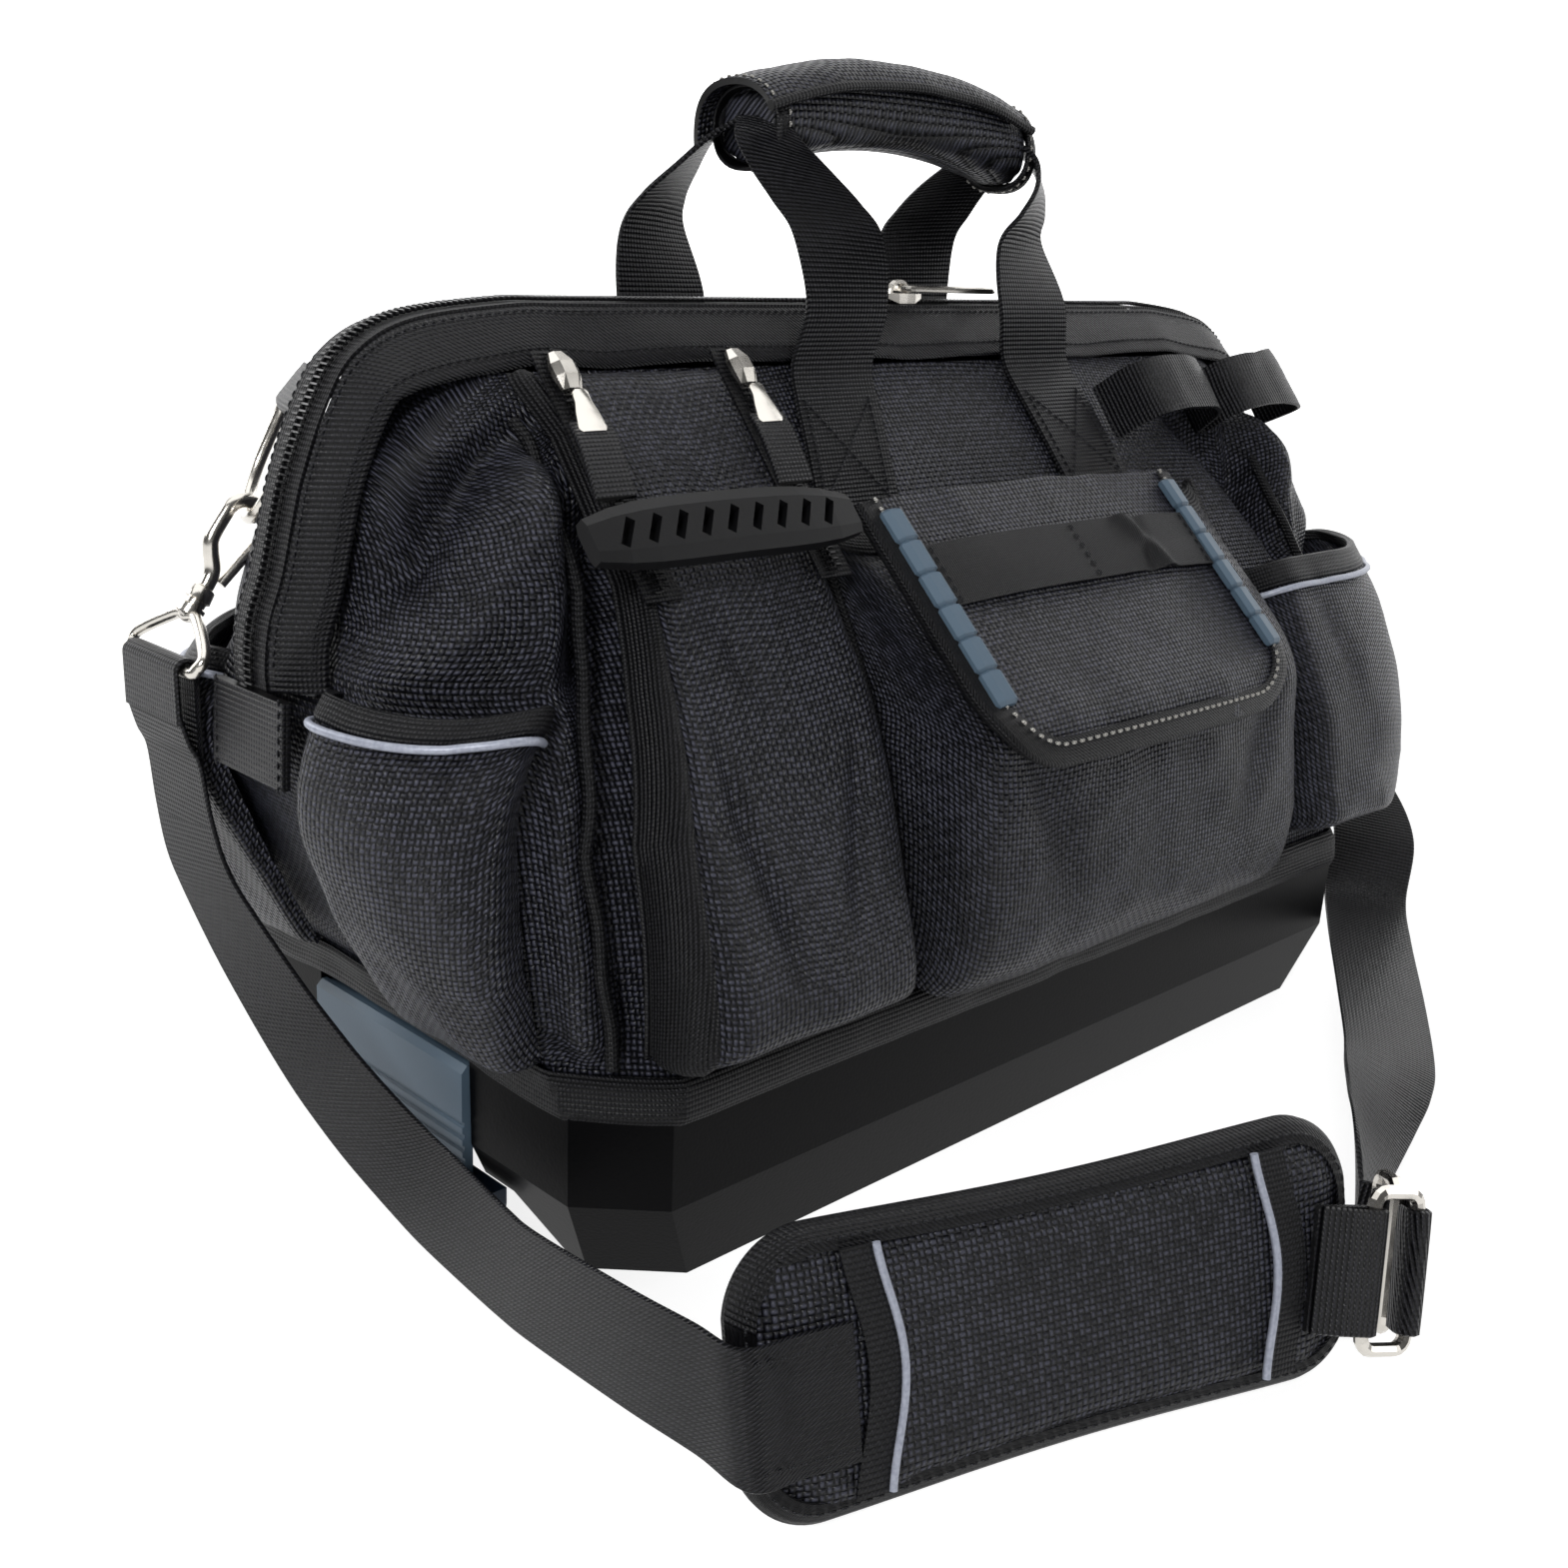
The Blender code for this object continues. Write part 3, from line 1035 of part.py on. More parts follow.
def make_ring_and_hook(side, sign):
    frame = ring_frame(sign)
    half_round = arc((0, 0), 1, 0, -180, 12)
    body = RING_HEIGHT - RING_HALF
    path = [(-RING_HALF * 0.5, 0, 0), (RING_HALF * 0.5, 0, 0), (RING_HALF - RING_WIRE, 0, 0)]
    path += [(RING_HALF * x, 0, -body + RING_HALF * z) for x, z in half_round]
    path += [(-RING_HALF + RING_WIRE, 0, 0)]
    add_piece("ring_" + side, *tube(path, RING_WIRE, 8, closed=True), "nickel", frame)
    inner, outer = RING_WIRE + CLEARANCE, RING_WIRE + CLEARANCE + RING_TAB_THICKNESS
    top = RING_TAB_HEIGHT
    profile = [(-outer - RING_TAB_SET, top), *arc((0, 0), outer, 180, 360, 8), (outer - RING_TAB_SET, top)]
    profile += [(inner - RING_TAB_SET, top), *arc((0, 0), inner, 360, 180, 8), (-inner - RING_TAB_SET, top)]
    rings = [[(x, y, z) for y, z in profile] for x in (-RING_TAB_HALF, RING_TAB_HALF)]
    add_piece("ring_tab_" + side, *loft(rings), "webbing", frame)
    # The hook's loop holds the lowest part of the ring's wire, in the plane across it.
    low = (frame @ Matrix.Translation((0, 0, -RING_HEIGHT))).translation
    frame = Matrix.Translation(low) @ hung(sign, 0, HOOK_LEAN_DEG)
    loop = -(HOOK_RADIUS - HOOK_WIRE - RING_WIRE - GAP)
    shank_top = loop - HOOK_RADIUS - HOOK_THROAT
    path = [(0, 0, shank_top - HOOK_SHANK), (0, 0, shank_top - HOOK_SHANK / 2), (0, 0, shank_top)]
    path += [(0, HOOK_RADIUS * 0.6, shank_top + HOOK_THROAT * 0.35), (0, HOOK_RADIUS, shank_top + HOOK_THROAT)]
    path += [(0, HOOK_RADIUS * y, loop + HOOK_RADIUS * z) for y, z in arc((0, 0), 1, 0, 190, 10)]
    hook = add_piece("snap_hook_" + side, *tube(path, HOOK_WIRE, 10), "nickel", frame)
    collar_low = shank_top - HOOK_SHANK - COLLAR_HEIGHT
    turns = [(math.cos(a), math.sin(a)) for a in np.arange(16) / 16 * TAU]
    levels = (collar_low, shank_top - HOOK_SHANK / 2)
    collar = [[(COLLAR_RADIUS * x, COLLAR_RADIUS * y, z) for x, y in turns] for z in levels]
    join(hook, add_piece("snap_hook_collar_" + side, *loft(collar), "nickel", frame), "UNION")
    eye = [(x, 0, collar_low - EYE_HEIGHT / 2 + EYE_HEIGHT / 2 * z) for x, z in
           [(EYE_HALF * 0.3, 1), (EYE_HALF, -0.2), (EYE_HALF, -0.8), (EYE_HALF * 0.9, -1), (-EYE_HALF * 0.9, -1),
            (-EYE_HALF, -0.8), (-EYE_HALF, -0.2), (-EYE_HALF * 0.3, 1)]]
    eye = through([*eye, eye[0]], 33)[:-1]
    eye_wire = tube(eye, HOOK_WIRE * 0.85, 8, closed=True)
    join(hook, add_piece("snap_hook_eye_" + side, *eye_wire, "nickel", frame), "UNION")
    # The gate closes the loop between the hook's point and the shank.
    point = np.array([0, HOOK_RADIUS * math.cos(math.radians(190)), loop + HOOK_RADIUS * math.sin(math.radians(190))])
    foot = np.array([0, -HOOK_WIRE - GATE_RADIUS - GAP * 2, shank_top - HOOK_SHANK * 0.2])
    gate_top = point - np.array([0, 0, HOOK_WIRE + GAP])
    gate_path = np.array([foot, mix(foot, gate_top, 0.5), gate_top])
    gate_frame = frame @ Matrix.Translation(foot)
    add_piece("hook_gate_" + side, *tube(gate_path - foot, GATE_RADIUS, 8), "nickel", gate_frame)
    bar = frame @ Vector((0, 0, collar_low - EYE_HEIGHT))
    return Matrix.Translation(bar) @ hung(sign, 0, 0)


def in_frame(frame, points):
    """Points and directions given in a frame, as rows in the part's own axes."""
    return np.array([frame @ Vector(point) for point in points])


def eye_turn(frame):
    """The strap's start: its sewn tail behind the hook's eye, and the bend round the eye's lower bar."""
    turn = HOOK_WIRE * 0.85 + GAP + STRAP_THICKNESS / 2
    points = [(0, -turn, -STRAP_TAIL), (0, -turn, -STRAP_TAIL / 2)]
    points += [(0, turn * y, turn * z) for y, z in arc((0, 0), 1, 180, 0, 6)]
    points.append((0, turn, -STRAP_TAIL / 2))
    return in_frame(frame, points)


def pad_run(frame):
    """The left run's end, sewn flat on the pad's front."""
    half = PAD_LENGTH / 2
    points = [(-half + PAD_PATCH_LENGTH * share, -pad_face(), -PATCH_DROP) for share in (0, 0.5, 1)]
    return in_frame(frame, points)


def strap_end_frame(frame):
    """The frame of the ring's far bar, with X along the strap that leaves it."""
    far = Matrix.Translation((2 * LOOP_HALF_WIDTH, 0, 0))
    return frame @ far @ Matrix.Rotation(math.radians(STRAP_BEND_DEG), 4, "Z")


def ring_run(frame):
    """The right run's end: woven over the slider's middle bar, round the far bar of the ring and back."""
    turn = pad_tab_radius()
    pitch = LOOP_HALF_WIDTH
    steps = np.arange(7, -5, -1) / 4
    heave = turn * np.clip(WEAVE_SHARE * np.cos(np.pi * steps), -1, 1)
    waves = list(zip(slider_place() + pitch * steps, heave))
    bend = [(turn * x, turn * y) for x, y in arc((0, 0), 1, -90, -270, 6)]
    points = [(x, y, 0) for x, y in waves + bend + [(SLIDER_STEP / 4, turn)]]
    return in_frame(strap_end_frame(frame), points)


def make_strap(side, shares, across, frame, end, last):
    """One run of the shoulder strap, from its bend round the hook's eye to the pad or to the strap's ring."""
    knots = np.array(shares) * BASE_LENGTH
    start = eye_turn(frame)
    bar = np.array(frame.to_3x3() @ Vector((1, 0, 0)))
    widths = unit(across)
    bar = bar if np.dot(bar, widths[0]) > 0 else -bar
    widths = np.concatenate([[bar], widths, [last]])
    sweep = through(np.concatenate([[start[-1], *knots, end[0]], widths * BASE_LENGTH], 1), STRAP_STEPS)
    path = np.concatenate([start[:-1], sweep[:, :3], end[1:]])
    widths = np.concatenate([[bar] * (len(start) - 1), sweep[:, 3:], [last] * (len(end) - 1)])
    run = band(path, widths, STRAP_WIDTH, STRAP_THICKNESS)
    add_piece("strap_" + side, *run, "webbing")


def pad_frame():
    x, y = np.array(PAD_PLACE_SHARES) * BASE_LENGTH
    lean = math.radians(PAD_LEAN_DEG)
    place = Matrix.Translation((x, y, PAD_HEIGHT / 2 * math.cos(lean) + PAD_EDGE + PAD_CROWN / 4))
    return place @ Matrix.Rotation(math.radians(PAD_YAW_DEG), 4, "Z") @ Matrix.Rotation(-lean, 4, "X")


def make_pad():
    """A crowned cushion with drawn-in sides, stood on its long edge in front of the bag."""
    frame = pad_frame()
    half_l, half_h = PAD_LENGTH / 2, PAD_HEIGHT / 2
    radius = PAD_HEIGHT * PAD_CORNER_SHARE
    u = np.linspace(-1, 1, 21)
    v = np.linspace(-1, 1, 9)
    x = half_l * np.sin(u * np.pi / 2)
    waist = 1 - 0.06 * np.cos(x / half_l * np.pi / 2) ** 2
    past = np.clip((np.abs(x) - (half_l - radius)) / radius, 0, 1)
    tall = (half_h - radius * (1 - np.sqrt(1 - past**2))) * waist
    grid_x = x[:, None] + 0 * v[None, :]
    grid_z = tall[:, None] * np.sin(v[None, :] * np.pi / 2)
    crown = np.sqrt(np.clip(1 - u[:, None] ** 6, 0, 1)) * np.sqrt(np.clip(1 - v[None, :] ** 4, 0, 1))
    thick = PAD_EDGE + (PAD_CROWN - PAD_EDGE) * crown
    front = np.stack([grid_x, -thick, grid_z], -1)
    rear = np.stack([grid_x, thick, grid_z], -1)
    add_piece("shoulder_pad", *between(front, rear), "cloth", frame, smooth_deg=60)


def pad_tab_radius():
    return LOOP_WIRE + GAP + STRAP_THICKNESS / 2


def pad_face():
    """How far in front of the pad's middle the first layer of a sewn webbing lies."""
    return PAD_CROWN + CLEARANCE + STRAP_THICKNESS / 2


def tab_frame(frame):
    """The frame of the strap's ring, its origin on the near bar: in front of the pad's right end, turned down."""
    sewn = Matrix.Translation((PAD_LENGTH / 2 - PAD_TAB_LENGTH, 0, -PATCH_DROP))
    turned = sewn @ Matrix.Rotation(math.radians(TAB_TURN_DEG), 4, "Y")
    bar = Matrix.Translation((PAD_TAB_LENGTH + TAB_REACH, -pad_face() - pad_tab_radius(), 0))
    return frame @ turned @ bar


def make_pad_tab(frame):
    """A webbing sewn on the pad's right end, doubled round the near bar of the strap's ring."""
    turn = pad_tab_radius()
    sewn = -PAD_TAB_LENGTH - TAB_REACH
    near = [(sewn, turn - STRAP_THICKNESS - GAP), (sewn / 2, -turn * TAB_FLARE_SHARE)]
    bend = [(turn * x, turn * y) for x, y in arc((0, 0), 1, -90, 90, 8)]
    path = [(x, y, 0) for x, y in [*near, *bend, (sewn, turn)]]
    add_piece("pad_tab", *band(path, [(0, 0, 1)] * len(path), STRAP_WIDTH, STRAP_THICKNESS), "webbing", frame)


def make_strap_rings(frame):
    """The rectangular ring at the pad's end, and the strap's slider with its middle bar."""
    ring = rounded_loop(2 * LOOP_HALF_WIDTH, LOOP_HALF_HEIGHT, LOOP_HALF_WIDTH * 0.5)
    path = [(x, 0, z) for x, z in ring]
    add_piece("strap_ring", *tube(path, LOOP_WIRE, 8, closed=True), "nickel", frame)
    end = strap_end_frame(frame)
    loop = rounded_loop(2 * LOOP_HALF_WIDTH, LOOP_HALF_HEIGHT * SLIDER_SHARE, LOOP_HALF_WIDTH * 0.5)
    path = [(slider_place() - LOOP_HALF_WIDTH + x, 0, z) for x, z in loop]
    slider = add_piece("strap_slider", *tube(path, LOOP_WIRE, 8, closed=True), "nickel", end)
    reach = LOOP_HALF_HEIGHT * SLIDER_SHARE
    middle = tube([(slider_place(), 0, -reach), (slider_place(), 0, 0), (slider_place(), 0, reach)], LOOP_WIRE, 8)
    join(slider, add_piece("strap_slider_bar", *middle, "nickel", end), "UNION")


def slider_place():
    return LOOP_HALF_WIDTH + SLIDER_STEP


# Catches at the ends


def make_catch(side, sign):
    """A hinged plate in the end's recess, with finger grooves, a wide lip below it and a clip over the lip."""
    half_l = BASE_LENGTH / 2
    axis_x, axis_z = half_l - CATCH_PIN_DEPTH, CATCH_PIN_HEIGHT
    frame = Matrix.Translation((sign * axis_x, 0, axis_z))
    face = CATCH_PIN_DEPTH + CATCH_PROUD
    back = face - CATCH_THICKNESS
    top, foot = CATCH_TOP - axis_z, CATCH_FOOT - axis_z
    knuckle = CATCH_PIN_RADIUS * 1.35
    outline = [(back, foot), (back, -knuckle * 1.2)]
    outline += arc((0, 0), knuckle, 270, 90, 8)
    outline += [(back, knuckle), (back, top), (face - CATCH_PROUD, top), (face, top - CATCH_PROUD)]
    first = foot + CATCH_GROOVE_PITCH * (CATCH_GROOVES + 0.4)
    for i in range(CATCH_GROOVES):
        z = first - i * CATCH_GROOVE_PITCH
        width = CATCH_GROOVE_PITCH * 0.28
        outline += [(face, z + width), (face - CATCH_GROOVE_DEPTH, z + width / 2),
                    (face - CATCH_GROOVE_DEPTH, z - width / 2), (face, z - width)]
    outline += [(face, foot)]
    outline = [(sign * x, z) for x, z in outline]
    half = CATCH_HALF - GAP
    plate = add_piece("catch_" + side, *prism(outline, -half, half), "catch", frame, smooth_deg=20)
    pin = cylinder_y(0, 0, CATCH_PIN_RADIUS, -CATCH_HALF - CATCH_PIN_REACH, CATCH_HALF + CATCH_PIN_REACH)
    join(plate, add_piece("catch_pin_" + side, *pin, "catch", frame), "UNION")
    lip_top = foot - GAP
    lip_foot = lip_top - LIP_HEIGHT
    out, into = face + CLEARANCE, face - LIP_DEPTH
    corner = LIP_HEIGHT * 0.45
    outline = [(-LIP_HALF, lip_top), (-LIP_HALF, lip_foot + corner)]
    outline += arc((-LIP_HALF + corner, lip_foot + corner), corner, 180, 270, 4)[1:]
    outline += arc((LIP_HALF - corner, lip_foot + corner), corner, 270, 360, 4)
    outline += [(LIP_HALF, lip_top)]
    rings = [[(sign * x, y, z) for y, z in outline] for x in (into, out)]
    add_piece("catch_lip_" + side, *loft(rings), "navy", frame)
    # The clip hooks over the lip from outside, in its middle.
    clip_in, clip_out = out + GAP, out + GAP + CLIP_DEPTH
    level = lip_foot - GAP
    outline = [
        (into, level - CLIP_HEIGHT * 0.3), (clip_out - CLIP_HEIGHT * 0.2, level - CLIP_HEIGHT * 0.3),
        (clip_out, level - CLIP_HEIGHT * 0.1), (clip_out, level + CLIP_HEIGHT), (clip_in, level + CLIP_HEIGHT),
        (clip_in, level), (into, level)]
    rings = prism([(sign * x, z) for x, z in outline], -CLIP_HALF, CLIP_HALF)
    add_piece("catch_clip_" + side, *rings, "moulding", frame)


def main():
    clear_scene()
    make_base()
    make_binding()
    make_body_panels()
    make_mouth()
    make_main_slider()
    make_twin_pocket()
    top, down, out = make_pocket_zips()
    make_pocket_sliders(top, down, out)
    make_middle_pocket()
    make_flap()
    make_tool_loops()
    make_side_pocket()
    make_end_pockets()
    make_handle_straps()
    make_grip()
    frame = pad_frame()
    make_pad()
    tab = tab_frame(frame)
    make_pad_tab(tab)
    make_strap_rings(tab)
    runs = {
        "left": (STRAP_LEFT_SHARES, STRAP_LEFT_ACROSS, pad_run(frame), frame),
        "right": (STRAP_RIGHT_SHARES, STRAP_RIGHT_ACROSS, ring_run(tab), tab)}
    for side, sign in SIDES.items():
        make_catch(side, sign)
        eye = make_ring_and_hook(side, sign)
        shares, across, end, last = runs[side]
        make_strap(side, shares, across, eye, end, np.array(last.to_3x3() @ Vector((0, 0, 1))))


main()
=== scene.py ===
"""A soft tool bag on a rigid moulded base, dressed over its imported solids. Metres, +Z up, the bag's front
towards -Y. Each cell says what the real thing is and how its surface is worked out."""
# %% [markdown]
# # A soft tool bag, cell by cell
# The solids of the bag are packed already, with their joints. This lesson loads them as the frame and
# dresses them: cloth that sags, woven webbing, a coil zip, a padded shoulder strap and plated metal.
# Nothing is fitted by eye, because every piece is worked out in the same metres as the solids.

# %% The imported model
import math

import bmesh
import bpy
import numpy as np
from mathutils import Matrix, Vector


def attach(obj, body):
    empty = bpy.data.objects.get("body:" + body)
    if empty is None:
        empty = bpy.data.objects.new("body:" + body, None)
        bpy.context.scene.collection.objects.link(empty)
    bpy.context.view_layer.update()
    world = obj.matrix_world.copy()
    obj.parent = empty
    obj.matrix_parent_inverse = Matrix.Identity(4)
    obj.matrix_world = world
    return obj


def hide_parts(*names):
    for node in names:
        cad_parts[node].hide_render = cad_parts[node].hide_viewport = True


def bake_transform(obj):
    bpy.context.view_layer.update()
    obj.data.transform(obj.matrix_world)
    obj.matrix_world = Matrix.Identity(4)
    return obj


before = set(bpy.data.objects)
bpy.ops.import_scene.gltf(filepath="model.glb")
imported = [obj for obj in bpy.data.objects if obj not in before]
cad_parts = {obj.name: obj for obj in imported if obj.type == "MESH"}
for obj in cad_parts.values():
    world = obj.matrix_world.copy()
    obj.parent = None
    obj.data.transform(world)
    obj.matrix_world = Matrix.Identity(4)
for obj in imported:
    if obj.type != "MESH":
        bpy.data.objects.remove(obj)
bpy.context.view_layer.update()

# %% [markdown]
# ## The camera
# A photograph of a box-like thing gives its own viewpoint away: the edges of the moulded base run to
# vanishing points. The viewpoint was fitted to the base's corners, and is written here as an eye point and
# three angles.

# %% The camera
EYE = Vector((-0.497825, -0.467721, 0.310328))
AZIMUTH, ELEVATION, ROLL = (math.radians(a) for a in (-44.846, 17.254, 2.579))
FOCAL_PX, IMAGE_PX, SENSOR_MM = 1779.94, 1569, 36.0

level = math.cos(ELEVATION)
back = Vector((math.sin(AZIMUTH) * level, -math.cos(AZIMUTH) * level, math.sin(ELEVATION)))
right = Vector((math.cos(AZIMUTH), math.sin(AZIMUTH), 0))
up = back.cross(right)
rolled_right = right * math.cos(ROLL) + up * math.sin(ROLL)
rolled_up = up * math.cos(ROLL) - right * math.sin(ROLL)
lens = bpy.data.cameras.new("camera")
lens.sensor_width = SENSOR_MM
lens.lens = SENSOR_MM * FOCAL_PX / IMAGE_PX
camera = bpy.data.objects.new("camera", lens)
camera.matrix_world = Matrix((rolled_right, rolled_up, back)).transposed().to_4x4()
camera.location = EYE
bpy.context.collection.objects.link(camera)
bpy.context.scene.camera = camera
print("lens", round(lens.lens, 2), "mm")

# %% [markdown]
# ## Sums used everywhere
# A surface is an array of points, rows by columns. Small functions on whole arrays keep every piece short:
# a unit vector, a blend of two values, and a smooth curve through knots.

# %% Sums used everywhere
TAU = 2 * math.pi
MM = 0.001


def unit(v):
    """Each vector divided by its length."""
    return v / np.maximum(np.linalg.norm(v, axis=-1, keepdims=True), 1e-12)


def mix(a, b, share):
    """a where the share is 0, b where it is 1."""
    return a + (b - a) * share


def run_of(path):
    """How far along a path each of its points lies: the sum of the steps before it."""
    return np.concatenate([[0], np.cumsum(np.linalg.norm(np.diff(path[:, :3], axis=0), axis=1))])


def at_places(values, run, places):
    """Values that go with a path's points, read off between them at places along the path."""
    return np.stack([np.interp(places, run, column) for column in values.T], -1)


def through(knots, count):
    """A Catmull-Rom curve through the knots, sampled at even lengths: each span is the cubic whose slope at
    a knot is half the step between its neighbours."""
    p = np.asarray(knots, float)
    p = np.concatenate([[2 * p[0] - p[1]], p, [2 * p[-1] - p[-2]]])
    t = np.linspace(0, 1, 12, endpoint=False)[None, :, None]
    a, b, c, d = (p[k:len(p) - 3 + k, None, :] for k in range(4))
    spans = 0.5 * (2 * b + (c - a) * t + (2 * a - 5 * b + 4 * c - d) * t**2 + (3 * b - a - 3 * c + d) * t**3)
    curve = np.concatenate([spans.reshape(-1, p.shape[1]), p[-2:-1]])
    run = run_of(curve)
    return at_places(curve, run, np.linspace(0, run[-1], count))


def ripple(u, v, seed, longest, shortest, count=14):
    """Soft disorder of about -1 to 1: a sum of plane waves of falling length, each in its own direction and
    as high as it is long."""
    dice = np.random.default_rng(seed)
    waves = np.geomspace(longest, shortest, count)
    turn, start = dice.uniform(0, TAU, (2, count))
    total = sum(w * np.sin(TAU * (u * math.cos(a) + v * math.sin(a)) / w + b)
                for w, a, b in zip(waves, turn, start))
    return total / np.sqrt(np.sum(waves**2))


def crease(u, v, start, end, width):
    """A fold's height: 1 along the line from start to end, a bell across it, fading at both ends."""
    (u0, v0), (u1, v1) = start, end
    long = math.hypot(u1 - u0, v1 - v0)
    along = ((u - u0) * (u1 - u0) + (v - v0) * (v1 - v0)) / long**2
    off = ((u - u0) * (v1 - v0) - (v - v0) * (u1 - u0)) / long
    fade = np.clip(along * 3, 0, 1) * np.clip((1 - along) * 3, 0, 1)
    return np.exp(-((off / width) ** 2)) * np.sin(fade * np.pi / 2) ** 2


def smooth_rows(values, times):
    """Each row pulled halfway to the mean of its neighbours, a number of times."""
    for _ in range(times):
        padded = np.concatenate([values[:1], values, values[-1:]])
        values = (padded[:-2] + 2 * padded[1:-1] + padded[2:]) / 4
    return values


# %% [markdown]
# ## From arrays to meshes
# A cloth is a grid with a thin wall behind it, closed round its rim. Its pattern must follow the weave, so
# each grid carries a map called cut, in metres measured along its own rows and columns.

# %% From arrays to meshes
BAG_MIDDLE = np.array([0, 0, 0.15])
CLOTH_SHARP_DEG = 60


def build(name, vertices, faces, cut, material, body, stands_for=(), sharp_deg=50):
    """One closed piece: faces turned outwards, smooth but for edges over an angle, riding on its body."""
    mesh = bpy.data.meshes.new(name)
    mesh.from_pydata(np.asarray(vertices).tolist(), [], faces)
    layer = mesh.uv_layers.new(name="cut")
    layer.data.foreach_set("uv", np.asarray(cut, np.float32).ravel())
    shell = bmesh.new()
    shell.from_mesh(mesh)
    bmesh.ops.recalc_face_normals(shell, faces=shell.faces)
    shell.to_mesh(mesh)
    shell.free()
    mesh.shade_smooth()
    mesh.set_sharp_from_angle(angle=math.radians(sharp_deg))
    mesh.materials.append(material)
    piece = bpy.data.objects.new(name, mesh)
    bpy.context.collection.objects.link(piece)
    if stands_for:
        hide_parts(*stands_for)
    if body:
        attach(piece, body)
    return piece


def lengths(grid, ring):
    """Distances across and along a grid, in metres, from its middle column and its first row."""
    steps = np.roll(grid, -1, 1) - grid if ring else np.diff(grid, axis=1)
    across = np.concatenate([np.zeros((len(grid), 1)), np.cumsum(np.linalg.norm(steps, axis=-1), 1)], 1)
    across = across - across[:, across.shape[1] // 2][:, None]
    along = np.cumsum(np.linalg.norm(np.diff(grid, axis=0, prepend=grid[:1]), axis=-1), 0)
    along = np.concatenate([along, along[:, :1]], 1) if ring else along
    return np.stack([across, along], -1)


def outward(grid, ring, centre):
    """Unit normals: the cross product of the steps across and along, turned away from a centre."""
    across = np.roll(grid, -1, 1) - np.roll(grid, 1, 1) if ring else np.gradient(grid, axis=1)
    normal = unit(np.cross(across, np.gradient(grid, axis=0)))
    return normal * (1 if np.sum(normal * (grid - centre)) > 0 else -1)


def quads(rows, columns, wide, ring):
    """Corner numbers of each face of a grid, for its points and for its map, which has its own width."""
    i, j = np.meshgrid(np.arange(rows - 1), np.arange(columns if ring else columns - 1), indexing="ij")
    corners = ((0, 0), (0, 1), (1, 1), (1, 0))
    points = [(i + a) * columns + (j + b) % columns for a, b in corners]
    places = [(i + a) * wide + j + b for a, b in corners]
    return np.stack(points, -1).reshape(-1, 4), np.stack(places, -1).reshape(-1, 4)


def cloth(name, grid, wall, material, body, stands_for=(), ring=False, centre=BAG_MIDDLE):
    """A sheet of cloth: the grid, the same grid a wall's thickness behind it, and a rim that closes them."""
    rows, columns = grid.shape[:2]
    inner = grid - outward(grid, ring, np.asarray(centre)) * wall
    cut = lengths(grid, ring)
    half = rows * columns
    face, place = quads(rows, columns, cut.shape[1], ring)
    first = np.arange(columns if ring else columns - 1)
    edges = [np.stack([first, (first + 1) % columns], -1) + r * columns for r in (0, rows - 1)]
    if not ring:
        below = np.arange(rows - 1) * columns
        edges += [np.stack([below, below + columns], -1) + c for c in (0, columns - 1)]
    edges = np.concatenate(edges)
    rim = np.concatenate([edges, edges[:, ::-1] + half], 1)
    flat = cut.reshape(-1, 2)
    rim_cut = flat[np.minimum(np.concatenate([edges, edges[:, ::-1]], 1), len(flat) - 1)]
    faces = np.concatenate([face, face[:, ::-1] + half, rim]).tolist()
    maps = np.concatenate([flat[place], flat[place[:, ::-1]], rim_cut])
    vertices = np.concatenate([grid.reshape(-1, 3), inner.reshape(-1, 3)])
    return build(name, vertices, faces, maps, material, body, stands_for, CLOTH_SHARP_DEG)


def sections(name, rings, material, body, stands_for=(), closed=False):
    """A solid skin over rings of points along a path, capped at both ends, or joined round where it is
    closed."""
    rings = np.asarray(rings, float)
    grid = np.concatenate([rings, rings[:1]]) if closed else rings
    rows, columns = grid.shape[:2]
    cut = lengths(grid, True)
    face, place = quads(rows, columns, columns + 1, True)
    faces = (face % (len(rings) * columns)).tolist()
    maps = cut.reshape(-1, 2)[place].reshape(-1, 2)
    if not closed:
        ends = [list(range(columns)), list(range((rows - 1) * columns, rows * columns))]
        faces += ends
        maps = np.concatenate([maps, cut[0, :columns], cut[-1, :columns]])
    return build(name, rings.reshape(-1, 3), faces, maps, material, body, stands_for)


def tube_rings(path, radius, sides=10, closed=False):
    """Circles across a path, none turned against the one before, so the skin doesn't twist."""
    path = np.asarray(path, float)
    along = unit(np.roll(path, -1, 0) - np.roll(path, 1, 0)) if closed else unit(np.gradient(path, axis=0))
    side = np.cross(along[0], (0, 0, 1) if abs(along[0][2]) < 0.9 else (0, 1, 0))
    frames = []
    for direction in along:
        side = unit(side - direction * np.dot(side, direction))
        frames.append((side, np.cross(direction, side)))
    frames = np.array(frames)
    turns = np.arange(sides) / sides * TAU
    radius = np.broadcast_to(np.asarray(radius, float).reshape(-1, 1, 1), (len(path), 1, 1))
    ring = np.cos(turns)[None, :, None] * frames[:, :1] + np.sin(turns)[None, :, None] * frames[:, 1:]
    return path[:, None] + radius * ring


